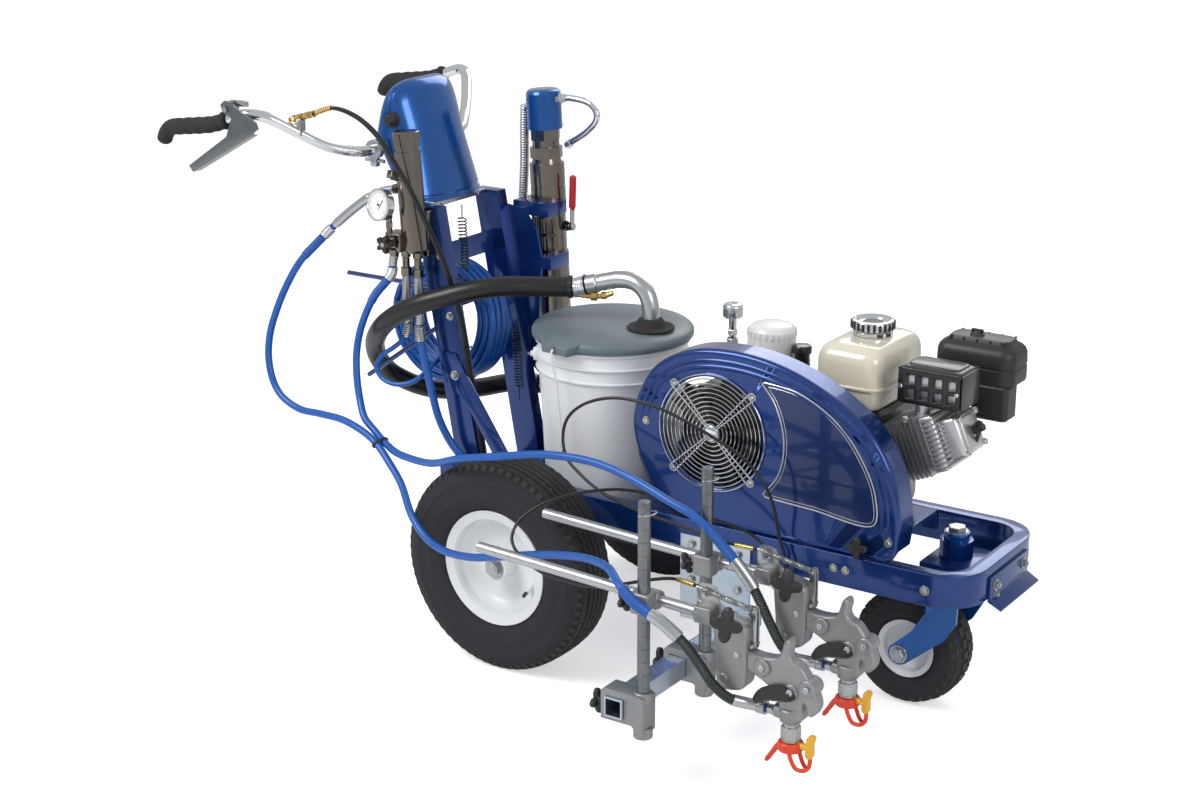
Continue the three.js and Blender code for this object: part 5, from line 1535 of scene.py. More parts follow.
# ------------------------------------------------------------------ pail
@dataclass
class Pail:
    """The paint pail with its lid, its bail and the suction elbow."""

    x: float = 52.0
    bottom: float = 270.3
    height: float = 354.0
    top_radius: float = 150.0
    low_radius: float = 132.0
    wall: float = 3.0
    lid_radius: float = 160.0
    bail_angle: float = 33.65
    bail_reach: float = 166.0
    bail_length: float = 186.0
    bail_droop: float = 20.0
    hole: float = 93.0

    def level(self, share: float) -> float:
        """Returns the height at a share of the pail's height."""
        return self.bottom + self.height * share

    def shell(self) -> None:
        """Makes the moulded pail with its stacking rings and ears."""
        low, top, b = self.low_radius, self.top_radius, self.bottom
        z = self.level
        rings = []
        for share, grow in ((0.765, 3.4), (0.845, 5.0), (0.925, 5.0)):
            steps = ((-2.6, 0), (grow - 2, 1), (grow - 1, 2.4), (grow - 1, 4.6), (-2, 6.6))
            rings += [(top + out, z(share) + up) for out, up in steps]
        profile = [
            (0, b + 4), (low - 16, b + 4), (low - 13, b), (low - 5, b), (low - 1.6, b + 1.6), (low, b + 6),
            (top - 6.2, z(0.66)), (top - 3.6, z(0.74)),
            *rings, (top, z(0.96)), (top, z(1) - 1), (top - 1, z(1)), (top - 3, z(1)), (top - 3.4, z(0.97)),
            (top - 6, z(0.76)), (low - 4, b + 10), (low - 8, b + 7), (0, b + 7),
        ]
        shape = Shape()
        shape.turned(profile, (self.x, 0, 0), Axis.Z, 128)
        a = math.radians(self.bail_angle)
        out = Vector((math.cos(a), math.sin(a), 0))
        mid = Vector((self.x, 0, b + 295))
        for side in (-1, 1):
            shape.bar(mid + out * side * (top - 8), mid + out * side * (self.bail_reach - 9), 15, 32, 13, soft=1.5)
            shape.bar(mid + out * side * (top - 8), mid + out * side * (self.bail_reach - 3.4), 6, 24, soft=1)
        for k in range(18):
            angle = a + math.radians(-34 + 4 * k)
            p = Vector((math.cos(angle + 1.2), math.sin(angle + 1.2), 0))
            shape.bar(
                Vector((self.x, 0, z(0.775))) + p * (top - 3), Vector((self.x, 0, z(0.845))) + p * (top - 2), 1.1, 6,
            )
        shape.piece("pail_moulded", "frame", [PAIL_WHITE], "white_plastic", ["pail"])

    def cover(self) -> None:
        """Makes the lid with its soft crown, lifting tab and cord strap."""
        r, top = self.lid_radius, 633.6
        inner = self.top_radius + 5.3
        profile = [
            (0, top), (r * 0.5, top - 0.2), (r * 0.72, top - 1), (r * 0.84, top - 2.2), (r * 0.9, top - 4.2),
            (r * 0.955, top - 7.4), (r * 0.985, top - 11), (r, top - 15), (r, top - 23.5), (r - 0.8, top - 25.4),
            (r - 2, top - 26), (inner, top - 26), (inner, top - 9.4), (0, top - 9.4),
        ]
        shape = Shape()
        shape.turned(profile, (self.x, 0, 0), Axis.Z, 128)
        a = math.radians(-97)
        out, side = Vector((math.cos(a), math.sin(a), 0)), Vector((-math.sin(a), math.cos(a), 0))
        base = Vector((self.x, 0, 0))
        rows = []
        for reach, high, low, wide in (
            (150, top - 8, top - 27, 46), (160, top - 12, top - 30, 42), (172, top - 15, top - 32, 34),
            (175, top - 17, top - 31, 32),
        ):
            corners = ((-1, high), (1, high), (0.94, low), (-0.94, low))
            rows.append([base + out * reach + side * s * wide + Vector((0, 0, h)) for s, h in corners])
        shape.grid(rows, True, False, cap=True)
        shape.piece("pail_lid_moulded", "frame", [LID_GREY], "grey_plastic", ["pail_lid"], soft=0.8)
        cord = Shape()
        start = base + out * 176 + Vector((0, 0, top - 22))
        route = spline([
            tuple(base + out * 170 + Vector((0, 0, top - 34))), tuple(start + out * 3),
            tuple(start + out * 6 + Vector((0, 0, -14))),
            tuple(start + out * -1 + side * 5 + Vector((0, 0, -60))),
            tuple(start + out * -7 + side * 11 + Vector((0, 0, -150))),
            tuple(start + out * -12 + side * 16 + Vector((0, 0, -205))),
        ], 60)
        cord.tube(route, lambda s: 2.3 + 0.35 * math.cos(s * 180), 10)
        cord.paint = 1
        cord.bar(
            base + out * 176 + Vector((0, 0, top - 30)), base + out * 176 + Vector((0, 0, top - 15)), 3.4, 20,
            soft=0.6,
        )
        knot = route[-1]
        cord.bar(knot + Vector((0, 0, 4)), knot - Vector((0, 0, 6)), 4.2, 14, soft=1.6)
        cord.piece("lid_strap", "frame", [PAIL_WHITE, LID_GREY], "white_plastic")

    def bail(self) -> None:
        """Makes the wire bail with its hooked ends and grip tube."""
        a, d = math.radians(self.bail_angle), math.radians(self.bail_droop)
        points = []
        for i in range(65):
            t = math.pi * i / 64
            along = self.bail_reach * math.cos(t)
            out = self.bail_length * math.sin(t) * math.cos(d)
            z = self.bottom + 295 - self.bail_length * math.sin(t) * math.sin(d)
            points.append(
                Vector((self.x + along * math.cos(a) - out * math.sin(a), along * math.sin(a) + out * math.cos(a), z))
            )
        shape = Shape()
        shape.tube(points, 2.5, 14)
        shape.paint = 1
        shape.tube(points[27:38], 7.5, 24)
        shape.piece("pail_bail_wire", "bail", [ZINC, PAIL_WHITE], "zinc_plate", ["pail_bail"])

    def elbow(self) -> None:
        """Makes the cast elbow, its rubber grommet and the drop tube."""
        x, top = self.x + self.hole, 633.6
        path = spline([
            (x, -8, top - 16), (x, -8, 650), (x - 1, -8, 676), (x - 12, -8, 704), (x - 36, -8, 720),
            (x - 70, -9, 721), (x - 95, -12, 715), (x - 116, -16.2, 709.3), (8, -24, 704),
        ], 90)
        shape = Shape()
        shape.tube(path, lambda s: 17 + (1.8 if s > 0.9 else 0) - 0.8 * math.exp(-((s - 0.88) / 0.01) ** 2), 48)
        shape.bar((x, -8, 300.3), (x, -8, top - 10), 13, 32)
        shape.piece("suction_elbow_cast", "frame", [TUBE_ALUMINIUM], "elbow_aluminium", ["suction_elbow"])
        seal = Shape()
        ring = [
            (17.6, top + 0.4), (46, top + 0.4), (47, top + 2), (45, top + 4.4), (40, top + 5.4), (36, top + 4.6),
            (33, top + 4.8), (29, top + 9), (26, top + 15), (23.5, top + 19), (20, top + 20.4), (17.6, top + 20),
        ]
        seal.turned(ring, (x, -8, 0), Axis.Z, 72)
        seal.piece("elbow_grommet", "frame", [GRIP], "grip_rubber")
        drain = Shape()
        drain.tube(spline([(-20, -46, 690), (10, -34, 684), (34, -22, 684), (44, -18, 686)], 24), 5, 20)
        drain.hexagon((20, -30, 684), (32, -24, 684), 18)
        drain.hexagon((38, -20, 685), (48, -16, 687), 15)
        drain.bar((46, -17, 686), (60, -12, 692), 5, 20, soft=0.6)
        drain.piece("drain_fitting", "frame", [BRASS], "nickel_plate")

    def build(self) -> None:
        """Makes the pail and everything on it."""
        self.shell()
        self.cover()
        self.bail()
        self.elbow()


# ------------------------------------------------------------------ belt cover
@dataclass
class BeltCover:
    """The swinging belt cover with its fan grille, window panel and knob."""

    face: float = -165.0
    back: float = -107.0
    fan: tuple[float, float] = (379.0, 507.0)
    opening: float = 108.0
    hinge: tuple[float, float] = (208.0, 513.0)
    corners: Outline = (
        (330, 331), (273, 347), (218, 435), (203, 497), (214, 553), (250, 612), (322, 655), (417, 668), (511, 658),
        (602, 626), (693, 568), (741, 501), (759, 437), (762, 372), (748, 332), (640, 330.5), (480, 330.5),
    )
    panel: Outline = ((476, 624), (508, 585), (528, 522), (520, 455), (484, 404))
    panel_back: Outline = (
        (484, 404), (590, 399), (715, 395), (717, 448), (694, 503), (641, 569), (560, 614), (476, 624),
    )

    def outline(self) -> list[Vector]:
        """Returns the cover's outer edge, in x and z."""
        return [Vector((p.x, max(p.y, 330.0), 0)) for p in spline(self.corners, 144, closed=True)[:-1]]

    def swept(self, shape: Shape, line: Sequence[Vector], section: Outline) -> None:
        """Sweeps a section round the edge, shallow where the cover is open below.

        Args:
            shape: the shape that it joins.
            line: the points of the edge, in x and z.
            section: pairs of distance in from the edge and y.
        """
        moved = {d: inset(line, d) for d in {s[0] for s in section}}
        rows = []
        for k, p in enumerate(line):
            deepest = self.face + 3 if p.y < 345 or (p.x < 300 and p.y < 446) else self.back
            rows.append([(moved[d][k].x, min(y, deepest), moved[d][k].y) for d, y in section])
        shape.grid(rows, True, True)

    def shell(self) -> None:
        """Makes the pressed cover with its rounded rim, ribs and fan opening."""
        edge = self.outline()
        f = self.face
        cx, cz = self.fan
        shape = Shape()
        circle = [
            (cx + self.opening * math.cos(2 * math.pi * k / 96), cz + self.opening * math.sin(2 * math.pi * k / 96))
            for k in range(96)
        ]
        flat = [(p.x, p.y) for p in inset(edge, 9)]
        shape.plate([flat, circle], f, f + 3)
        self.swept(
            shape, edge,
            [
                (9, f), (6, f + 0.5), (3, f + 2.2), (1, f + 5), (0, f + 9), (0, f + 12), (3, f + 12), (3, f + 9),
                (4.5, f + 6), (9, f + 3),
            ],
        )
        start = next(k for k, p in enumerate(edge) if p.x < 300 and p.y > 446)
        walk = [edge[(start + k) % len(edge)] for k in range(len(edge))]
        wall = []
        for p in walk:
            if len(wall) > 20 and p.y < 345:
                break
            wall.append(p)
        rows_from = edge.index(wall[0])
        moved = inset(edge, 3)
        rows = []
        for k in range(len(wall)):
            i = (rows_from + k) % len(edge)
            rows.append([
                (edge[i].x, f + 11.5, edge[i].y), (edge[i].x, self.back, edge[i].y),
                (moved[i].x, self.back, moved[i].y), (moved[i].x, f + 11.5, moved[i].y),
            ])
        shape.grid(rows, True, False, cap=True)
        for depth, high in ((21, 2.2), (33, 1.8)):
            line = inset(edge, depth)
            raised = [line[(rows_from + k) % len(edge)] for k in range(6, len(wall) - 3)]
            self.rib(shape, [Vector((p.x, f - 0.2, p.y)) for p in raised], 4.0, high)
        ring = [
            (self.opening - 1, 0), (self.opening + 5, 0), (self.opening + 6.5, -1.4), (self.opening + 5, -2.6),
            (self.opening + 1.5, -2.6), (self.opening - 1, -1),
        ]
        shape.turned(ring, (cx, f, cz), Axis.Y, 96)
        hx, hz = self.hinge
        shape.bar((hx, self.back - 6, hz), (hx, self.back, hz), 13, 32)
        shape.block((hx - 6, hx + 16), (self.back - 6, self.back), (hz - 10, hz + 10), 1.0)
        shape.piece("belt_cover_pressed", "cover", [DEEP_BLUE], "frame_paint", ["belt_cover"], angle=32)

    def rib(self, shape: Shape, line: Sequence[Vector], wide: float, high: float) -> None:
        """Adds a low rounded rib along a line on the cover's face.

        Args:
            shape: the shape that it joins.
            line: the rib's middle.
            wide: half its width.
            high: how far it stands out.
        """
        rows = []
        for k, p in enumerate(line):
            along = (line[min(k + 1, len(line) - 1)] - line[max(k - 1, 0)]).normalized()
            side = along.cross(Vector((0, 1, 0))).normalized()
            fade = min(1.0, k / 5, (len(line) - 1 - k) / 5)
            section = [(-1, 0), (-0.7, 0.5), (-0.35, 0.9), (0, 1), (0.35, 0.9), (0.7, 0.5), (1, 0), (0, -0.4)]
            across, proud = side * wide * (0.4 + 0.6 * fade), Vector((0, high * max(fade, 0.05), 0))
            rows.append([p + across * u - proud * v for u, v in section])
        shape.grid(rows, True, False, cap=True)

    def window(self) -> None:
        """Lays the dark panel with its bright outline on the cover."""
        left = spline(self.panel, 30)
        right = spline(self.panel_back, 60)
        line = [*left[:-1], *right[:-1]]
        shape = Shape()
        shape.plate([[(p.x, p.y) for p in line]], self.face - 0.7, self.face + 0.5)
        shape.paint = 1
        edge = [*line, line[0]]
        for depth, radius in ((1.0, 1.5), (7.0, 0.7)):
            rim = [Vector((p.x, self.face - 0.8, p.y)) for p in inset(line, depth) if gap(p, edge) > depth * 0.9]
            shape.tube([*rim, rim[0]], radius, 8)
        shape.piece("cover_window", "cover", [PANEL_BLUE, SILVER_LINE], "frame_paint")

    def grille(self) -> None:
        """Makes the wire fan guard and the bolts that hold it."""
        cx, cz = self.fan
        y = self.face - 5
        shape = Shape()
        for k in range(12):
            r = 17 + k * 8.6
            ring = [
                (r + 1.35 * math.cos(2 * math.pi * j / 8), 1.35 * math.sin(2 * math.pi * j / 8))
                for j in range(8)
            ]
            shape.turned(ring, (cx, y + 1.6, cz), Axis.Y, 72)
        for turn in (45, 135, 225, 315):
            for offset in (-7, 7):
                a = math.radians(turn)
                out = Vector((math.cos(a), 0, math.sin(a)))
                side = Vector((-math.sin(a), 0, math.cos(a)))
                middle = Vector((cx, y + 3.6, cz))
                path = [
                    middle + out * 15 + side * offset * 0.25, middle + out * 100 + side * offset * 0.9,
                    middle + out * 117 + side * offset,
                ]
                shape.tube(spline([tuple(p) for p in path], 12), 1.6, 10)
        disc = [(0, y - 0.4), (11, y - 0.4), (14, y + 0.6), (15, y + 2), (15, y + 3), (0, y + 3)]
        shape.turned([(r, h - y) for r, h in disc], (cx, y, cz), Axis.Y, 48)
        shape.piece("fan_grille_wires", "cover", [CHROME], "chrome_plate", ["fan_grille"])
        bolts = Shape()
        for turn in (45, 135, 225, 315):
            a = math.radians(turn)
            p = Vector((cx + 116 * math.cos(a), self.face, cz + 116 * math.sin(a)))
            bolts.bar(p, p - Vector((0, 1.4, 0)), 9, 28, soft=0.4)
            bolts.bar(p - Vector((0, 1.4, 0)), p - Vector((0, 5.6, 0)), 5.6, 28, 4.2, soft=0.6)
        for bx, bz in ((236, 505), (744, 368), (300, 352)):
            p = Vector((bx, self.face, bz))
            bolts.bar(p, p - Vector((0, 1.4, 0)), 8, 28, soft=0.4)
            bolts.hexagon(p - Vector((0, 1.4, 0)), p - Vector((0, 6, 0)), 12)
        bolts.piece("grille_bolts", "cover", [ZINC], "zinc_plate")

    def knob(self) -> None:
        """Makes the lobed knob that locks the cover."""
        shape = Shape()
        lobed_knob(shape, (688, self.face - 1, 351), (0, -1, 0), 21, 15)
        shape.piece("cover_knob", "cover", [BLACK_PLASTIC], "black_plastic")

    def build(self) -> None:
        """Makes the whole cover."""
        self.shell()
        self.window()
        self.grille()
        self.knob()


def lobed_knob(shape: Shape, foot: Point, way: Point, radius: float, depth: float, lobes: int = 4) -> None:
    """Adds a star knob with rounded lobes.

    Args:
        shape: the shape that it joins.
        foot: the middle of its foot.
        way: the direction that it stands out in.
        radius: its reach at a lobe.
        depth: how far it stands out.
        lobes: how many lobes it has.
    """
    turn = Vector((0, 0, 1)).rotation_difference(Vector(way).normalized())
    rows = []
    for share, grow in (
        (0, 0.4), (0.2, 0.46), (0.36, 0.9), (0.42, 0.97), (0.5, 1.0), (0.8, 1.0), (0.92, 0.95), (1.0, 0.84),
    ):
        ring = []
        for k in range(96):
            t = 2 * math.pi * k / 96
            wave = 0.5 + 0.5 * math.cos(lobes * t)
            r = radius * grow * (0.5 + 0.5 * wave ** 0.75) if share > 0.3 else radius * grow
            ring.append(Vector(foot) + turn @ Vector((r * math.cos(t), r * math.sin(t), depth * share)))
        rows.append(ring)
    shape.grid(rows, True, False, cap=True)


# ------------------------------------------------------------------ control tower
@dataclass
class Tower:
    """The hood, handlebar, grips, filter, gauge and paint pump."""

    bar_radius: float = 11.0
    half_span: float = 345.0
    bar_height: float = 942.0
    bar_x: float = -430.0
    filter_y: float = -150.0
    pump_y: float = 185.0
    outlets: Point = (-343, -313)
    sleeve_length: int = 98
    bar_route: Outline = (
        (-619, -345, 1015), (-578, -344, 1028), (-545, -322, 1024), (-505, -272, 990), (-468, -215, 955),
        (-438, -165, 942), (-430, -144, 942), (-430, -124, 942), (-430, -60, 942), (-430, 0, 942),
    )
    grip_route: Outline = (
        (-619.5, 1014.8), (-660, 1002), (-740, 990), (-774, 984), (-789, 970), (-796, 952),
    )
    hood_square: float = 0.55
    hood_front: Outline = (
        (838.6, -312), (900, -330), (960, -348), (1010, -362), (1040, -372), (1056, -378), (1066, -386),
        (1072, -396), (1073.4, -404),
    )
    hood_rear: Outline = (
        (838.6, -374), (900, -420), (944, -450), (958, -460), (1000, -449), (1040, -436), (1056, -430),
        (1066, -424), (1072, -416), (1073.4, -411),
    )
    hood_levels: Point = (
        838.6, 842, 846, 849, 852, 870, 890, 910, 930, 950, 970, 990, 1005, 1018, 1030, 1040, 1048, 1055,
        1060, 1064, 1067.5, 1070, 1072, 1073.2,
    )

    def filter_x(self, z: float) -> float:
        """Returns the filter's middle at a height."""
        return -326 - 0.072 * (z - 872)

    def pump_x(self, z: float) -> float:
        """Returns the pump's middle at a height."""
        return -229 - 0.054 * (z - 800)

    def hood(self) -> None:
        """Lofts the moulded control hood, with its domed top and skirt line."""
        rows = []
        for z in self.hood_levels:
            xf, xr = between(self.hood_front, z), between(self.hood_rear, z)
            rise = (z - 838) / 236
            half = 116 * (1 - 0.14 * rise)
            if z > 985:
                half *= max(1 - ((z - 985) / 89.5) ** 4.5, 0.0) ** 0.4 * 0.9 + 0.1
            if 844 < z < 851:
                half, xf = half - 1.6, xf - 1.6
            mid, deep = (xf + xr) / 2, (xf - xr) / 2
            ring = []
            for k in range(96):
                t = 2 * math.pi * k / 96
                c, s = math.cos(t), math.sin(t)
                x = mid + deep * math.copysign(abs(c) ** self.hood_square, c)
                y = half * math.copysign(abs(s) ** self.hood_square, s)
                bulge = (34 if c > 0 else 12) * (y / 118) ** 2
                ring.append((x - bulge, y, z))
            rows.append(ring)
        shape = Shape()
        shape.grid(rows, True, False, cap=True)
        shape.piece("control_hood_moulded", "frame", [MID_BLUE], "light_blue_paint", ["control_hood"], angle=24)
        trim = Shape()
        trim.block((-372, -318), (-84, 84), (829, 838.4), 1.2)
        for y in (-60, 60):
            trim.bar((-322, y, 834), (-314, y, 834), 5, 24, soft=0.8)
        trim.paint = 1
        trim.bar((-404, -104, 1000), (-404, -121, 1000), 13, 40, 11, soft=1.6)
        trim.bar((-404, -100, 1000), (-404, -106, 1000), 16, 40, soft=1)
        trim.piece("hood_fittings", "frame", [ZINC, BLACK_PLASTIC], "zinc_plate")

    def handlebar(self) -> None:
        """Bends the handlebar and clamps it in its seats."""
        mirrored = [(x, -y, z) for x, y, z in self.bar_route[:-1][::-1]]
        path = spline([*self.bar_route, *mirrored], 220)
        shape = Shape()
        shape.tube(path, self.bar_radius, 32)
        shape.piece("handlebar_bent", "frame", [CHROME], "chrome_plate", ["handlebar"])
        fit = Shape()
        for side in (-1, 1):
            fit.bar(*[(self.bar_x, side * y, self.bar_height) for y in (124, 138)], 20, 48, soft=1.6)
            fit.block(
                (self.bar_x - 8, self.bar_x + 8), (side * 131 - 6, side * 131 + 6),
                (self.bar_height - 34, self.bar_height - 14), 1.5,
            )
            fit.bar(
                (self.bar_x - 24, side * 131, self.bar_height - 22),
                (self.bar_x + 24, side * 131, self.bar_height - 22), 4, 20, soft=0.6,
            )
        fit.strap((-612, -345, 1018), (-603, -345, 1050), 24, 16, (0, 1, 0), 2.5)
        fit.strap((-604, -350, 1050), (-560, -350, 1052), 12, 5, (0, 1, 0), 1.5)
        fit.bar((-604, -366, 1040), (-604, -338, 1040), 6, 24, soft=0.8)
        fit.hexagon((-604, -367, 1040), (-604, -372, 1040), 13)
        fit.block((-507, -493), (-278, -262), (984, 1018), 1.5)
        fit.piece("handlebar_clamps", "frame", [ZINC], "zinc_plate")
        brass = Shape()
        for y in (-276, -264):
            brass.bar((-522, y, 1014), (-466, y + 6, 1030), 4.6, 20, soft=0.8)
            start, end = Vector((-522, y, 1014)), Vector((-466, y + 6, 1030))
            for share in (0.15, 0.47, 0.79):
                brass.hexagon(start.lerp(end, share), start.lerp(end, share + 0.12), 14)
        brass.piece("cable_adjusters", "frame", [BRASS], "nickel_plate")

    def swell(self, s: float) -> float:
        """Shapes a grip's outside.

        Args:
            s: the share of the grip's length.

        Returns:
            The grip's radius there.
        """
        wave = 0.55 * math.cos(s * 46) if 0.14 < s < 0.72 else 0.0
        lip = 3.0 * math.exp(-((s - 0.035) / 0.018) ** 2)
        end = -6 * max(0.0, (s - 0.96) / 0.04) ** 2
        return 15.2 + wave + lip + end + 1.3 * math.sin(s * math.pi)

    def grips(self) -> None:
        """Moulds the two rubber grips, with finger swells and end flanges."""
        for name, side in (("near", -1), ("far", 1)):
            y = side * self.half_span
            path = spline([(x, y, z) for x, z in self.grip_route], 140)
            shape = Shape()
            shape.tube(path, self.swell, 40)
            shape.piece(f"{name}_grip_moulded", "frame", [GRIP], "grip_rubber", [f"{name}_grip"])

    def manifold(self) -> None:
        """Makes the high-pressure filter, its bracket, fittings and hose sleeves."""
        shape = Shape()
        for low, high, radius, tip in (
            (752, 757, 23, 26), (757, 953, 26, 26), (953, 961, 23.4, 23.4), (961, 990, 26.4, 26.4),
            (990, 992, 26.4, 24.5), (966, 967.6, 26.9, 26.9), (984, 985.6, 26.9, 26.9),
        ):
            shape.bar(
                (self.filter_x(low), self.filter_y, low), (self.filter_x(high), self.filter_y, high), radius, 72, tip,
            )
        shape.block((self.filter_x(860) - 22, self.filter_x(860) + 26), (self.filter_y + 16, -115.3), (740, 832), 2)
        shape.block((-368, -330), (-184, -146), (754, 792), 3)
        shape.bar((-352, -183, 773), (-352, -190, 773), 9, 32)
        for x in self.outlets:
            shape.hexagon((x, -150, 752), (x, -150, 738), 20)
            shape.bar((x, -150, 740), (x, -150, 716), 7.5, 32)
            shape.hexagon((x, -150, 718), (x, -150, 700), 22)
        shape.hexagon((-347, -180, 760), (-349, -180.4, 746), 21)
        shape.bar((-361, -177, 826), (-361, -177, 790), 6, 28)
        shape.hexagon((-361, -177, 800), (-361, -177, 812), 15)
        shape.hexagon((-340, -160, 880), (-358, -163, 875), 21)
        shape.bar((-361, -173, 822), (-362, -196, 829), 6, 28)
        shape.bar((-330, -172, 905), (-352, -190, 912), 8, 28, soft=1)
        shape.hexagon((-334, -176, 906), (-346, -186, 910), 20)
        shape.piece("filter_turned", "frame", [NICKEL], "nickel_plate", ["filter_body"])
        sleeves = Shape()
        for x in self.outlets:
            line = [Vector((x, -150, 701 - k)) for k in range(self.sleeve_length)]
            sleeves.tube(line, lambda s: 8.6 + 0.6 * abs(math.sin(s * 60)), 28)
        line = spline([(-347, -180, 748), (-350, -180.6, 738), (-352, -181, 727)], 40)
        sleeves.tube(line, lambda s: 8.4 + 0.6 * abs(math.sin(s * 12)), 28)
        sleeves.tube(
            spline([(-344, -161, 879), (-398, -166, 864), (-446, -174, 832), (-495, -184.6, 790.6)], 60),
            lambda s: 8.2 + (1.2 if 0.42 < s < 0.97 else 0), 32,
        )
        sleeves.piece("hose_sleeves", "frame", [TUBE_ALUMINIUM], "zinc_plate")

    def gauge(self) -> None:
        """Makes the pressure gauge with its dial, marks and needle."""
        face = Vector((-366, -206, 851))
        way = Vector((0.15, 0.97, -0.15)).normalized()
        turn = Vector((0, 0, 1)).rotation_difference(-way).to_matrix().to_4x4()
        place = Matrix.Translation(face) @ turn
        can = Shape()
        can.turned([
            (0, -20), (28, -20), (31, -18), (31.6, -6), (32.6, -5), (32.6, -0.6), (31.8, 0.4), (29.4, 0.4),
            (28.6, -0.8), (28.4, -3.6), (0, -3.6),
        ], (0, 0, 0), Axis.Z, 96)
        can.move(place)
        can.piece("gauge_case", "frame", [CHROME], "chrome_plate", ["pressure_gauge"])
        dial = Shape()
        dial.turned([(0, -3.4), (28.2, -3.4), (28.2, -2.8), (0, -2.8)], (0, 0, 0), Axis.Z, 96)
        dial.paint = 1
        for count, long, wide in ((45, 2.4, 0.3), (9, 5.0, 0.55)):
            for k in range(count + 1):
                a = math.radians(-45 + 270 * k / count)
                m = 25.6 - long / 2
                spin = Matrix.Rotation(a, 3, "Z")
                p = spin @ Vector((m, 0, 0))
                dial.block((p.x - long / 2, p.x + long / 2), (p.y - wide / 2, p.y + wide / 2), (-2.9, -2.6), 0, spin)
        spin = Matrix.Rotation(math.radians(52), 3, "Z")
        dial.block((-4, 18), (-0.6, 0.6), (-2.5, -2.0), 0, spin)
        dial.turned([(0, -2.6), (2.6, -2.6), (2.2, -1.4), (0, -1.4)], (0, 0, 0), Axis.Z, 32)
        dial.move(place)
        dial.piece("gauge_dial", "frame", [DIAL_WHITE, BLACK_PAINT], "white_paint")

    def drain(self) -> None:
        """Makes the drain valve's lobed knob."""
        shape = Shape()
        lobed_knob(shape, (-352, -190.3, 773), (0, -1, 0), 19, 21.7, 5)
        shape.paint = 1
        shape.bar((-352, -205, 773), (-352, -212.4, 773), 5, 28, soft=0.6)
        shape.piece("drain_knob_moulded", "drain", [BLACK_PLASTIC, ZINC], "black_plastic", ["drain_knob"])

    def stage(
        self, shape: Shape, low: float, high: float, radius: float, sides: int = 72, top: float | None = None
    ) -> None:
        """Adds one stretch of the leaning pump between two heights.

        Args:
            shape: the shape that takes it.
            low: its lower end.
            high: its upper end.
            radius: its radius at the lower end.
            sides: how many flats it has round it.
            top: its radius at the upper end, if that differs.
        """
        ends = [(self.pump_x(z), self.pump_y, z) for z in (low, high)]
        shape.bar(*ends, radius, sides, top)

    def pump(self) -> None:
        """Makes the pump's motor cap, cylinder, intake and return tube."""
        cap, y = Shape(), self.pump_y
        for stage in (
            (956, 1029, 36), (1029, 1034, 36, 72, 33.5), (1034, 1037, 33.5, 72, 29), (1014, 1018, 36.8),
            (960, 964, 36.8),
        ):
            self.stage(cap, *stage)
        cap.piece("pump_cap", "frame", [MID_BLUE], "light_blue_paint", ["pump_motor"])
        body = Shape()
        for stage in (
            (934, 955.6, 33, 6), (918, 935, 28), (896, 919, 34, 8), (884, 897, 31, 72, 29), (840, 885, 36),
            (836, 840, 34.6), (782, 836, 36), (700, 782, 33.5), (642, 700, 36),
        ):
            self.stage(body, *stage)
        for z in (650, 690):
            self.stage(body, z, z + 2, 36.6)
        x = self.pump_x(757)
        body.bar((x + 30, y, 757), (x + 52, y, 757), 9, 32, soft=1)
        body.hexagon((x + 36, y, 757), (x + 46, y, 757), 22)
        for k in range(5):
            a = math.radians(-150 + 36 * k)
            for z0 in (706, 742):
                p = Vector((self.pump_x(z0 + 16) + 33 * math.cos(a), y + 33 * math.sin(a), z0))
                body.bar(p, p + Vector((-1.6, 0, 32)), 4.2, 16, soft=1)
        body.piece("pump_cylinder_turned", "frame", [NICKEL], "nickel_plate", ["pump_cylinder"])
        foot = Shape()
        for stage in ((560, 641.7, 35), (548, 560, 31), (412, 548, 35), (386, 413, 27, 8)):
            self.stage(foot, *stage)
        for z in (430, 520, 575, 625):
            self.stage(foot, z, z + 3, 36)
        x = self.pump_x(404)
        foot.bar((x - 10, y, 404), (x - 42, y, 404), 16, 40, soft=1)
        foot.hexagon((x - 14, y, 404), (x - 26, y, 404), 38)
        foot.bar((x + 3, 179, 430), (-205, 152, 398), 8, 28)
        foot.piece("pump_intake_turned", "frame", [NICKEL], "nickel_plate", ["pump_intake"])
        pipes = Shape()
        x = self.pump_x(1010)
        pipes.tube(
            spline(
                [
                    (x + 30, y, 1018), (x + 52, y, 1023), (x + 72, y, 1024), (-126, y, 1017),
                    (-110, y, 1000), (-111, y, 984), (-130, y, 962), (-180, y, 928),
                ],
                80,
            ),
            6.5, 28,
        )
        pipes.hexagon((x + 32, y, 1019), (x + 46, y, 1022), 21)
        pipes.hexagon((x + 46, y, 1022), (x + 56, y, 1023), 17)
        pipes.hexagon((-172, y, 933), (-184, y, 926), 18)
        pipes.bar((x - 26, y, 1000), (x - 46, 181, 992), 10, 32)
        pipes.hexagon((x - 30, 184, 998), (x - 40, 182, 994), 24)
        pipes.piece("pump_return_tube", "frame", [CHROME], "chrome_plate")
        armour = Shape()
        line = spline(
            [(x - 44, 181, 1000), (x - 46, 181, 960), (-287, 180, 880), (-291, 176, 780), (-293, 172, 715)], 420,
        )
        armour.tube(line, lambda s: 9.6 + 0.7 * math.sin(s * 340), 20)
        armour.piece("pump_armoured_hose", "frame", [TUBE_ALUMINIUM], "zinc_plate")

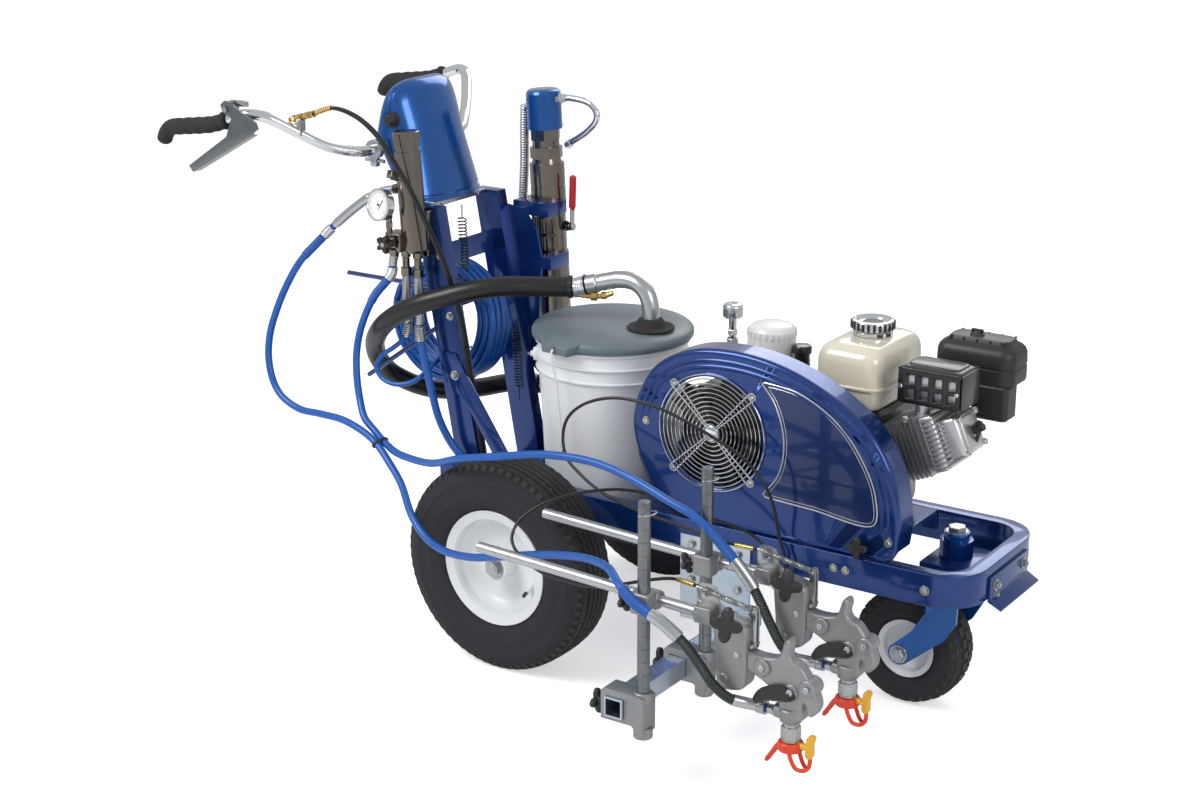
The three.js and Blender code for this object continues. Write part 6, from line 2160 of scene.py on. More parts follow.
    def valve(self) -> None:
        """Makes the ball valve's lever with its dipped grip."""
        x = self.pump_x(757) + 52.3
        shape = Shape()
        shape.bar((x, 185, 757), (x + 8, 185, 757), 8, 32, soft=0.8)
        shape.strap((x + 4, 185, 757), (x + 4, 185, 804), 14, 3, (1, 0, 0), 1)
        shape.paint = 1
        line = spline([(x + 4, 185, 792), (x + 4.5, 185, 812), (x + 5.5, 185, 840), (x + 6, 185, 866)], 30)
        shape.tube(
            line,
            lambda s: 7.2 * min(1.0, 0.55 + s * 5) * (
                1 if s < 0.93 else math.sqrt(max(1 - ((s - 0.93) / 0.071) ** 2, 0.05))
            ),
            28,
        )
        shape.piece("valve_lever", "valve", [ZINC, RED], "red_plastic", ["valve_handle"])

    def springs(self) -> None:
        """Hangs the two counterbalance springs behind the posts."""
        shape = Shape()
        for points, turns in ((((-300, -20, 800), (-298, -18, 690)), 16), (((-214, 44, 560), (-206, 40, 440)), 20)):
            line = [Vector(points[0]).lerp(Vector(points[1]), k / 40) for k in range(41)]
            shape.take(wound(line, turns, 8.5, 1.3, DARK_SPRING))
            shape.bar(line[0] + Vector((0, 0, 26)), line[0] - Vector((0, 0, 2)), 1.3, 10)
            shape.bar(line[-1] - Vector((0, 0, 26)), line[-1] + Vector((0, 0, 2)), 1.3, 10)
        shape.piece("balance_springs", "frame", [DARK_SPRING], "zinc_plate")

    def build(self) -> None:
        """Makes the whole tower."""
        self.hood()
        self.handlebar()
        self.grips()
        self.manifold()
        self.gauge()
        self.drain()
        self.pump()
        self.valve()
        self.springs()


# ------------------------------------------------------------------ gun rack
def smooth_line(points: Outline, steps: int) -> list[tuple[float, float]]:
    """Rounds a closed outline by running a curve through its points.

    Args:
        points: the outline.
        steps: how many points the curve gets.

    Returns:
        The rounded outline.
    """
    return [(p.x, p.y) for p in spline(points, steps, closed=True)[:-1]]


def upright(points: Sequence[Vector], y: float) -> list[tuple[float, float, float]]:
    """Stands a flat line up in x and z at a place across the machine."""
    return [(p.x, y, p.y) for p in points]


def eased(shape: Shape, outline: Outline, y: float, half: float, sections: Outline) -> None:
    """Adds a thick plate whose edges are rounded towards both sides.

    Args:
        shape: the shape that takes it.
        outline: its outline in x and z.
        y: its middle across the machine.
        half: half of its thickness.
        sections: how far each section is from the near side, and how far its edge is set in.
    """
    points = [Vector((u, v, 0)) for u, v in outline]
    near = [(near - half, depth) for near, depth in sections]
    far = [(-w, depth) for w, depth in near[::-1]]
    shape.grid([upright(inset(points, d) if d else points, y + w) for w, d in (*near, *far)], True, False)
    for w in (-half, half):
        shape.plate([[(p.x, p.y) for p in inset(points, sections[0][1])]], y + w - 0.1, y + w + 0.1)


@dataclass
class GunRack:
    """The crossbar and both masts, rods, clamps, guns, triggers and tip guards."""

    tube: float = 36.0
    bar_x: float = 455.0
    bar_z: float = 150.0
    near_end: float = -612.0
    far_end: float = -130.0
    mast_x: float = 500.0
    masts: tuple[tuple[str, float], ...] = (("near", -586.0), ("far", -383.0))
    rod_radius: float = 9.5
    tip_x: float = 771.0

    def rod_z(self, x: float) -> float:
        """Returns the height of a gun rod's middle at x."""
        return 347 - 0.035 * (x - self.mast_x)

    def crossbar(self) -> None:
        """Marks the crossbar with its scale and bolts its hanger on."""
        half = self.tube / 2
        ticks = Shape()
        for height, step, count in ((6.0, 10.0, 42), (11.0, 50.0, 9)):
            unit = Shape()
            unit.block(
                (self.bar_x - half + 1, self.bar_x - half + 1 + height), (self.near_end + 46.2, self.near_end + 46.9),
                (self.bar_z + half, self.bar_z + half + 0.25),
            )
            ticks.take(in_line(unit, count, (0, step, 0), BLACK_PAINT))
        ticks.piece("crossbar_scale", "frame", [BLACK_PAINT], "black_paint")
        bolts = Shape()
        for x in (345, 445):
            for z in (282, 212):
                bolts.bar((x, -174.4, z), (x, -176, z), 9, 28)
                bolts.hexagon((x, -176, z), (x, -182, z), 13)
        bolts.piece("hanger_bolts", "frame", [ZINC], "zinc_plate")

    def mast(self, name: str, y: float) -> None:
        """Makes one mast with its shoe, clamp, rod and knobs.

        Args:
            name: near or far.
            y: the mast's middle across the machine.
        """
        half, x, rod_y = self.tube / 2, self.mast_x, y + 24
        shape = Shape()
        grooves = [(0, 102), (10, 102), (11, 103)]
        for z in range(120, 518, 24):
            if not 96 < z < 186 and not 318 < z < 370:
                grooves += [(11, z), (10.2, z + 0.6), (10.2, z + 2.0), (11, z + 2.6)]
        grooves += [(11, 525), (10, 527.6), (0, 528)]
        shape.turned(grooves, (x, y, 0), Axis.Z, 40)
        shape.paint = 1
        shape.tube([Vector((px, rod_y, self.rod_z(px))) for px in range(138, 626, 8)], self.rod_radius, 36)
        for px in (176, 206, 560):
            a = Vector((px, rod_y, self.rod_z(px)))
            shape.bar(a, a + Vector((3, 0, -0.1)), self.rod_radius + 0.5, 36)
        shape.tube(
            spline(
                [
                    (x, y - 12, 506), (x + 14, y - 15, 509), (x + 24, y - 4, 512), (x + 14, y + 13, 509),
                    (x, y + 14, 506),
                ],
                40,
            ),
            1.2, 8,
        )
        shape.bar((x, y - 15, 506), (x, y + 16, 506), 1.8, 14)
        shape.piece(f"{name}_mast_and_rod", "frame", [DARK_ZINC, TUBE_ALUMINIUM], "zinc_plate", [f"{name}_mast"])
        shoe = Shape()
        bx, bz = self.bar_x, self.bar_z
        edge = [
            (bx - half - 11, bz - half - 9), (x - 12, bz - half - 9), (x + 6, 104), (x + 12, 110), (x + 12, 176),
            (x + 4, 180), (bx - half - 5, bz + half + 13), (bx - half - 11, bz + half + 7),
        ]
        room = half + 0.5
        hole = [(bx + u * room, bz + v * room) for u, v in ((-1, -1), (1, -1), (1, 1), (-1, 1))]
        shoe.plate([edge, hole], y - 20, y + 20)
        shoe.bar((bx - half - 9, y, bz - 4), (bx - half - 19, y, bz - 6), 9, 32, soft=1)
        shoe.bar((x, y, 98), (x, y, 118), 17, 40, soft=2)
        shoe.bar((x, y, 166), (x, y, 184), 17, 40, soft=2)
        z = self.rod_z(x)
        shoe.block((x - 20, x + 17), (y - 15, y + 14), (z - 19, z + 19), 4)
        shoe.bar((x - 22, rod_y, self.rod_z(x - 22)), (x + 18, rod_y, self.rod_z(x + 18)), 16.4, 40, soft=2)
        shoe.block((x - 30, x - 18), (y - 4, rod_y + 8), (z - 12, z + 12), 2.5)
        shoe.piece(f"{name}_mast_shoe", "frame", [CAST], "cast_aluminium", soft=1.4)
        knobs = Shape()
        lobed_knob(knobs, (bx - half - 19, y, bz - 6), (-1, 0, -0.15), 23, 15)
        lobed_knob(knobs, (x - 30, y, z - 2), (-1, -0.1, -0.35), 20, 14)
        knobs.bar((x - 34, y - 1, z - 3), (x - 18, y, z), 5, 20)
        knobs.piece(f"{name}_mast_knobs", "frame", [BLACK_PLASTIC], "black_plastic")

    def gun(self, name: str, mast_y: float) -> None:
        """Makes one spray gun with its clamp, bracket, spring and fittings.

        Args:
            name: near or far.
            mast_y: the mast's middle across the machine.
        """
        y, rod_y = mast_y + 26, mast_y + 24
        casting = Shape()
        body = [
            (648, 318), (672, 308), (700, 300), (720, 298), (737, 300), (749, 305), (755, 318), (760, 334),
            (767, 339), (772, 330), (769, 312), (774, 303), (790, 296), (806, 276), (820, 252), (825, 234),
            (820, 219), (811, 212), (805, 216), (803, 228), (800, 235), (797, 226), (797, 204), (792, 198),
            (772, 192), (756, 190), (753, 204), (752, 224), (744, 240), (726, 252), (705, 262), (688, 268),
            (664, 280), (648, 290),
        ]
        line = smooth_line(body, 110)
        eased(casting, line, y, 13, ((0, 4.2), (1, 2.0), (3.5, 0.4), (6, 0)))
        boss = [(806, 262, 15, 17), (776, 250, 13, 16), (722, 280, 15, 18), (676, 292, 13, 16)]
        for bx, bz, r, reach in boss:
            casting.bar((bx, y - reach, bz), (bx, y + reach, bz), r, 40, soft=1.6)
        casting.bar((self.tip_x, y, 216), (self.tip_x, y, 190), 20, 48, 17, soft=1.4)
        casting.bar((742, y, 206), (772, y, 204), 13, 40, soft=1.6)
        casting.piece(f"{name}_gun_casting", "frame", [CAST], "cast_aluminium", [f"{name}_gun"], angle=40)
        clamp = Shape()
        outline = smooth_line(
            [
                (632, 346), (640, 351), (680, 345), (690, 338), (693, 300), (691, 240), (684, 231), (648, 224),
                (640, 228), (634, 280),
            ],
            70,
        )
        eased(clamp, outline, y, 18, ((0, 3.4), (1, 1.4), (3, 0)))
        clamp.block((590, 622), (rod_y - 14, rod_y + 14), (self.rod_z(606) - 14, self.rod_z(606) + 15), 3)
        clamp.bar((589, rod_y, self.rod_z(589)), (600, rod_y, self.rod_z(600)), 15.4, 40, soft=2)
        for bx, bz in ((652, 246), (656, 330)):
            clamp.bar((bx, y - 22, bz), (bx, y + 22, bz), 8, 32, soft=1.2)
        clamp.piece(f"{name}_gun_clamp", "frame", [CAST], "cast_aluminium", angle=40)
        plate = Shape()
        plate.plate([
            smooth_line(
                [
                    (584, 332), (582, 360), (584, 389), (602, 392), (619, 388), (624, 366), (640, 354), (680, 344),
                    (684, 320), (682, 303), (660, 300), (636, 301), (610, 316),
                ],
                60,
            ),
            [(600 + 3.4 * math.cos(k * math.pi / 8), 372 + 3.4 * math.sin(k * math.pi / 8)) for k in range(16)],
        ], rod_y + 12, rod_y + 15)
        link = [(690, 304), (690, 368), (693, 374), (699, 374), (702, 368), (702, 304), (699, 300), (693, 300)]
        for low in (rod_y + 1, rod_y + 10):
            plate.plate([link], low, low + 3)
        plate.bar((696, rod_y - 3, 366), (696, rod_y + 17, 366), 3, 20, soft=0.6)
        plate.bar((696, rod_y - 6, 307), (696, rod_y + 20, 307), 4, 20, soft=0.6)
        for bx, bz in ((722, 280), (676, 292), (776, 250), (806, 262)):
            plate.hexagon((bx, y - 17, bz), (bx, y - 21, bz), 13)
            plate.hexagon((bx, y + 17, bz), (bx, y + 21, bz), 13)
        for bx, bz in ((596, 346), (648, 322)):
            plate.hexagon((bx, rod_y + 15, bz), (bx, rod_y + 20, bz), 12)
        plate.bar((self.tip_x, y, 196), (self.tip_x, y, 181), 13, 40, soft=0.8)
        plate.hexagon((self.tip_x, y, 184), (self.tip_x, y, 160), 34)
        plate.bar((self.tip_x, y, 161), (self.tip_x, y, 156), 15, 40, soft=0.6)
        plate.hexagon((753, y, 204), (742, y, 203), 22)
        plate.bar((742, y, 203), (733, y, 203), 8, 28)
        plate.hexagon((740, y, 203), (728, y, 203), 19)
        plate.bar((582, rod_y + 9, 384), (594, rod_y + 9, 382), 2.2, 16)
        plate.piece(f"{name}_gun_bracket", "frame", [ZINC], "zinc_plate", soft=0.5)
        spring = Shape()
        a, b = Vector((594, rod_y + 9, 382)), Vector((690, rod_y + 9, 367))
        spring.take(wound([a.lerp(b, k / 40) for k in range(41)], 26, 4.4, 0.95, ZINC))
        spring.tube([a.lerp(b, k / 10) for k in range(11)], 1.5, 10)
        spring.piece(f"{name}_gun_spring", "frame", [ZINC], "zinc_plate")
        knob = Shape()
        knob.bar((668, y - 17, 344), (668, y - 34, 350), 7, 28)
        lobed_knob(knob, (668, y - 30, 349), (0, -1, 0.28), 30, 17)
        knob.piece(f"{name}_gun_knob", "frame", [BLACK_PLASTIC], "black_plastic")

    def trigger(self, name: str, mast_y: float) -> None:
        """Makes one gun's trigger: a thin black lever with a raised edge.

        Args:
            name: near or far.
            mast_y: the mast's middle across the machine.
        """
        side = mast_y + 13 - 0.3
        line = smooth_line(
            [
                (708, 222), (712, 232), (720, 243), (752, 258), (764, 259), (774, 255), (786, 243), (783, 238),
                (768, 232), (750, 229), (735, 226), (722, 220), (712, 216),
            ],
            70,
        )
        shape = Shape()
        shape.plate([line], side - 6, side)
        pts = [Vector((u, v, 0)) for u, v in line]
        shape.tube([Vector((p.x, side - 6, p.y)) for p in [*inset(pts, 1.8), inset(pts, 1.8)[0]]], 1.6, 8)
        shape.bar((772, side - 9, 244), (772, side, 244), 6, 28, soft=1)
        shape.piece(f"{name}_trigger_lever", f"{name}_trigger", [BLACK_PLASTIC], "black_plastic", [f"{name}_trigger"])

    def tip(self, name: str, mast_y: float) -> None:
        """Makes one tip guard with its legs and the reversible tip's key.

        Args:
            name: near or far.
            mast_y: the mast's middle across the machine.
        """
        y, x = mast_y + 26, self.tip_x
        shape = Shape()
        shape.turned(
            [(14, 0), (19.5, 0), (21, 1.5), (21, 14), (19.5, 15.6), (0, 15.6), (0, 10), (12, 10), (14, 8)],
            (x, y, 140), Axis.Z, 56,
        )
        for k in range(12):
            a = 2 * math.pi * k / 12
            shape.bar(
                (x + 20.6 * math.cos(a), y + 20.6 * math.sin(a), 142),
                (x + 20.6 * math.cos(a), y + 20.6 * math.sin(a), 154), 1.5, 10, soft=0.4,
            )
        rear = spline([(x - 12, y, 149), (x - 24, y, 140), (x - 34, y, 125), (x - 43, y, 112)], 24)
        shape.tube(rear, lambda s: 5.4 - 1.6 * s, 20)
        shape.bar((x - 41, y - 8, 113), (x - 41, y + 8, 113), 3.4, 20, soft=1)
        for side in (-1, 1):
            shape.tube(
                spline(
                    [
                        (x + 4, y + side * 14, 144), (x + 10, y + side * 15, 128), (x + 18, y + side * 12, 114),
                        (x + 30, y + side * 4, 111), (x + 36, y, 120), (x + 37, y, 134),
                    ],
                    40,
                ),
                3.6, 18,
            )
        shape.paint = 1
        shape.bar((x - 2, y, 150), (x + 33, y, 152), 6, 32, soft=0.8)
        shape.plate(
            [smooth_line(
                [
                    (x + 30, 138), (x + 33, 134), (x + 38, 133), (x + 42, 138), (x + 42, 158), (x + 45, 172),
                    (x + 41, 175), (x + 33, 172), (x + 31, 158),
                ],
                40,
            )],
            y - 5.5, y + 5.5,
        )
        shape.piece(
            f"{name}_tip_guard_moulded", f"{name}_tip", [ORANGE, YELLOW], "orange_plastic", [f"{name}_tip_guard"],
            soft=0.5,
        )

    def build(self) -> None:
        """Makes the rack and both guns."""
        self.crossbar()
        for name, y in self.masts:
            self.mast(name, y)
            self.gun(name, y)
            self.trigger(name, y)
            self.tip(name, y)


# ------------------------------------------------------------------ engine
def rounded(shape: Shape, x: Point, y: Point, levels: Outline, corner: float, steps: int = 8) -> None:
    """Lofts a box with rounded corners through levels.

    Args:
        shape: the shape that it joins.
        x: its two ends in x.
        y: its two ends in y.
        levels: pairs of height and how far in the sides lie there.
        corner: the radius of its upright corners.
        steps: how many steps each corner has.
    """
    rows = []
    for z, d in levels:
        r = max(corner - d * 0.4, 2.0)
        ring = []
        for u, v, start in (
            (x[1] - d - r, y[1] - d - r, 0), (x[0] + d + r, y[1] - d - r, 90), (x[0] + d + r, y[0] + d + r, 180),
            (x[1] - d - r, y[0] + d + r, 270),
        ):
            for k in range(steps + 1):
                a = math.radians(start + 90 * k / steps)
                ring.append((u + r * math.cos(a), v + r * math.sin(a), z))
        rows.append(ring)
    shape.grid(rows, True, False, cap=True)


@dataclass
class Engine:
    """The petrol engine: block, finned cylinder, tank, muffler and air cleaner."""

    crank_x: float = 575.0
    crank_z: float = 440.0
    tilt: float = 23.0
    near: float = -92.0
    far: float = 150.0

    def along(self, d: float, up: float = 0.0) -> tuple[float, float]:
        """Returns the x and z of a point along the cylinder's bore.

        Args:
            d: how far out along the bore it lies.
            up: how far above the bore's middle it lies.

        Returns:
            The point's x and z.
        """
        a = math.radians(self.tilt)
        return self.crank_x + d * math.cos(a) - up * math.sin(a), self.crank_z + d * math.sin(a) + up * math.cos(a)

    def slab(self, shape: Shape, start: float, end: float, thick: float, y: Point, soft: float = 0.0) -> None:
        """Adds a block that lies across the bore.

        Args:
            shape: the shape that it joins.
            start: where it starts along the bore.
            end: where it ends.
            thick: its height across the bore.
            y: its two ends in y.
            soft: the size of its rounded edges.
        """
        mx, mz = self.along((start + end) / 2)
        turn = Matrix.Rotation(math.radians(-self.tilt), 3, "Y")
        shape.block((mx - (end - start) / 2, mx + (end - start) / 2), y, (mz - thick / 2, mz + thick / 2), soft, turn)

    def block(self) -> None:
        """Makes the crankcase, finned cylinder, head and covers."""
        cx, cz = self.crank_x, self.crank_z
        cast = Shape()
        rounded(cast, (cx - 72, cx + 80), (-60, 110), [(328.3, 0), (338, 0), (340.3, 2)], 8)
        rounded(
            cast, (cx - 70, cx + 78), (-80, 150), [(338, 6), (346, 2), (356, 0), (500, 0), (514, 4), (520, 12)], 18,
        )
        cast.bar((cx, self.near, cz), (cx, -78, cz), 38, 64, soft=2)
        cast.bar((cx, -84, cz), (cx, -79, cz), 62, 64, soft=2)
        for k in range(6):
            a = math.radians(30 + 60 * k)
            cast.hexagon(
                (cx + 54 * math.cos(a), -84, cz + 54 * math.sin(a)),
                (cx + 54 * math.cos(a), -90, cz + 54 * math.sin(a)), 12,
            )
        self.slab(cast, 40, 200, 84, (-26, 58), 6)
        cast.bar((cx + 70, -40, 385), (cx + 106, -40, 378), 12, 32, soft=1.5)
        cast.hexagon((cx + 92, -40, 381), (cx + 102, -40, 379), 28)
        cast.piece("engine_crankcase", "frame", [CAST], "cast_aluminium", ["engine_block"], angle=35)
        bright = Shape()
        fin = Shape()
        self.slab(fin, 62, 64.6, 112, (-42, 74), 0)
        bright.take(in_line(
            fin, 14, (9.2 * math.cos(math.radians(self.tilt)), 0, 9.2 * math.sin(math.radians(self.tilt))),
            BRIGHT_CAST,
        ))
        self.slab(bright, 190, 218, 106, (-38, 70), 5)
        rib = Shape()
        self.slab(rib, 192, 226, 3, (-41, 73), 0)
        up = (-9 * math.sin(math.radians(self.tilt)), 0, 9 * math.cos(math.radians(self.tilt)))
        row = in_line(rib, 11, up, BRIGHT_CAST)
        row.transform(Matrix.Translation(Vector(up) * -5))
        bright.take(row)
        self.slab(bright, 216, 256, 78, (-26, 58), 9)
        self.slab(bright, 254, 260, 62, (-16, 48), 3)
        for up_off, y in ((30, -18), (30, 50), (-30, -18), (-30, 50)):
            (ax, az), (bx, bz) = self.along(256, up_off), self.along(263, up_off)
            bright.hexagon((ax, y, az), (bx, y, bz), 12)
        bright.piece("engine_cylinder", "frame", [BRIGHT_CAST], "cast_aluminium", angle=30)
        dark = Shape()
        rounded(dark, (cx - 60, cx + 74), (-34, 150), [(518, 4), (522, 0), (546, 0), (554.6, 6)], 14)
        rows = [(0, 58), (70, 58), (78, 56), (88, 48), (92, 38), (92, 2), (90, 0), (0, 0)]
        dark.turned([(r, h) for r, h in rows], (cx, self.far - 1, cz), Axis.Y, 80)
        unit = Shape()
        unit.block((34, 68), (-2.4, 2.4), (57, 60.4), 1.0)
        slots = round_axis(unit, 20, BLACK_PAINT)
        dark.take(slots, Matrix.Translation((cx, self.far - 1, cz)) @ Matrix.Rotation(math.radians(-90), 4, "X"))
        dark.turned([(20, 56), (28, 56), (28, 61), (20, 61)], (cx, self.far - 1, cz), Axis.Y, 48)
        dark.block((cx + 54, cx + 90), (self.far + 18, self.far + 58), (488, 514), 5)
        dark.tube(
            spline(
                [
                    (self.along(250)[0], 20, self.along(250)[1]), (self.along(275)[0], 16, 560), (820, 20, 520),
                    (776, 60, 470), (700, 120, 452),
                ],
                60,
            ),
            4, 12,
        )
        dark.bar(
            (self.along(258)[0], 20, self.along(258)[1]), (self.along(282)[0], 19, self.along(286)[1]), 9, 24, 7,
            soft=1,
        )
        dark.piece("engine_shroud", "frame", [BLACK_PAINT], "black_paint", angle=30)
        links = Shape()
        links.block((700, 762), (74, 122), (540, 602), 6)
        links.bar((725, -6, 536), (725, -6, 592), 13, 32)
        links.hexagon((705, -30, 556), (705, -38, 556), 14)
        links.tube(spline([(690, 96, 560), (700, 66, 556), (742, 60, 540), (772, 64, 520)], 30), 1.6, 10)
        links.take(wound([Vector((668 + k * 2, 70, 548)) for k in range(16)], 9, 3.4, 0.7, ZINC))
        links.plate(
            [smooth_line([(724, 520), (742, 516), (776, 540), (790, 548), (790, 556), (770, 554), (738, 534)], 40)],
            62, 65,
        )
        links.piece("carburettor", "frame", [BRIGHT_CAST], "cast_aluminium", soft=0.6)

    def tank(self) -> None:
        """Makes the pressed fuel tank with its welded seam, and its ribbed cap."""
        x, y = (513, 654), (-45, 165)
        shape = Shape()
        rounded(shape, x, y, [
            (555, 20), (556, 13), (560, 8.6), (566, 6.4), (580, 5.6), (595.2, 5.4), (596, 0.6), (597, 0), (600.4, 0),
            (601.4, 0.8), (602, 3.4),
            (606, 3), (640, 3.6), (652, 5.4), (661, 9.6), (667, 16), (671, 24), (673.6, 34), (675, 46),
        ], 32, 10)
        shape.turned([(0, 0), (30, 0), (34, 1.5), (35, 3), (35, -4), (0, -4)], (586, 62, 674.6), Axis.Z, 64)
        shape.piece("fuel_tank_pressed", "frame", [CREAM], "cream_paint", ["fuel_tank"], angle=34)
        cap = Shape()
        cap.turned([(0, 0), (36, 0), (38, 1.5), (38, 8), (36.5, 9.7), (0, 9.7)], (586, 62, 675.3), Axis.Z, 80)
        cap.turned(
            [
                (0, 7), (39, 7), (40.4, 9), (40.4, 20), (38, 24), (34, 24.6), (30, 22), (27, 17.5), (24, 16.5),
                (0, 16.2),
            ],
            (586, 62, 680), Axis.Z, 96,
        )
        cap.paint = 1
        unit = Shape()
        unit.block((38.2, 41.8), (-2.7, 2.7), (8, 22), 1.1)
        cap.take(round_axis(unit, 24, BLACK_PLASTIC), Matrix.Translation((586, 62, 680)))
        cap.turned([(0, 16.1), (22, 16.3), (20, 18), (8, 19), (0, 19)], (586, 62, 680), Axis.Z, 64)
        cap.piece("fuel_cap_ribbed", "tank_cap", [CHROME, BLACK_PLASTIC], "chrome_plate", ["fuel_cap"], angle=34)

    def muffler(self) -> None:
        """Makes the muffler and its pressed guard with two rows of louvres."""
        x, y = (690, 815), (-45, 38)
        inner = Shape()
        rounded(inner, (x[0] + 7, x[1] - 7), (y[0] + 7, y[1] - 7), [(594, 4), (600, 0), (646, 0), (652, 4)], 12)
        inner.piece("muffler_body", "frame", [BRIGHT_CAST], "cast_aluminium")
        guard = Shape()
        holes = []
        for k in range(4):
            for z0, z1 in ((598.5, 618), (625, 644.5)):
                a = x[0] + 15 + k * 26.5
                holes.append(
                    [(a + 2, z0), (a + 15, z0), (a + 19, z0 + 3), (a + 19, z1), (a + 6, z1), (a + 2, z1 - 3)]
                )
        guard.plate(
            [
                [
                    (x[0] + 8, 591), (x[1] - 8, 591), (x[1] - 3, 596), (x[1] - 3, 650), (x[1] - 8, 656),
                    (x[0] + 8, 656), (x[0] + 3, 650), (x[0] + 3, 596),
                ],
                *holes,
            ],
            y[0], y[0] + 2.4,
        )
        for (left, foot), *_ in holes:
            ends = [(left + reach, y[0] - 1.6, foot + 2) for reach in (1, 15)]
            guard.strap(*ends, 3, 3.2, (0, 1, 0), 1.2)
        rounded(guard, x, y, [(590, 4), (592, 1), (596, 0), (597, 0)], 14)
        rounded(guard, x, y, [(650, 0), (653, 1), (657, 5), (659.6, 12)], 14)
        rounded(guard, (x[0] + 12, x[1] - 12), (y[0] + 12, y[1] - 12), [(659, 0), (661.6, 1), (663, 4)], 12)
        guard.block((x[0], x[0] + 2.4), (y[0] + 4, y[1] - 4), (592, 655), 0.8)
        guard.block((x[1] - 2.4, x[1]), (y[0] + 4, y[1] - 4), (592, 655), 0.8)
        guard.block((x[0] + 4, x[1] - 4), (y[1] - 2.4, y[1]), (592, 655), 0.8)
        guard.piece("muffler_guard", "frame", [BLACK_PAINT], "black_paint", ["muffler"], soft=0.5)
        bolts = Shape()
        for bx, bz in ((x[0] + 8, 622), (x[1] - 8, 622)):
            bolts.hexagon((bx, y[0], bz), (bx, y[0] - 4, bz), 9)
        bolts.piece("guard_bolts", "frame", [ZINC], "zinc_plate")

    def cleaner(self) -> None:
        """Makes the air cleaner's housing, lid and wing nut."""
        shape = Shape()
        rounded(
            shape, (692, 848), (98, 190),
            [
                (600, 6), (603, 1), (608, 0), (630, 0), (631.5, 1.5), (634.5, 1.5), (636, 0), (656, 0.6), (664, 3),
                (670, 8), (674, 15), (678, 18), (681, 20), (682.4, 24),
            ],
            24,
        )
        rounded(shape, (770, 842), (98, 150), [(536, 4), (540, 0), (598, 0), (602, 3)], 10)
        for k in range(5):
            shape.block((716 + k * 26, 720 + k * 26), (114, 174), (672, 682), 1.6)
        shape.turned([(0, 0), (14, 0), (13, 3), (8, 5), (6, 9), (0, 9)], (760, 140, 682), Axis.Z, 48)
        shape.block((748, 772), (138, 142), (686, 694), 1.8)
        shape.piece("air_cleaner_moulded", "frame", [BLACK_PLASTIC], "black_plastic", ["air_cleaner"], angle=34)

    def starter(self) -> None:
        """Makes the starter's moulded pull grip."""
        y, x = self.far + 58.3, self.crank_x + 72
        shape = Shape()
        shape.bar((x, y, 501), (x, y + 12, 501), 7, 32, 5.4, soft=1)
        line = spline(
            [(x - 27, y + 17, 501), (x - 10, y + 20, 501), (x + 10, y + 20, 501), (x + 27, y + 17, 501)], 40,
        )
        shape.tube(line, lambda s: 8.2 - 3.2 * abs(2 * s - 1) ** 6, 28)
        shape.piece("starter_grip_moulded", "starter", [BLACK_PLASTIC], "black_plastic", ["starter_grip"])

    def build(self) -> None:
        """Makes the whole engine."""
        self.block()
        self.tank()
        self.muffler()
        self.cleaner()
        self.starter()


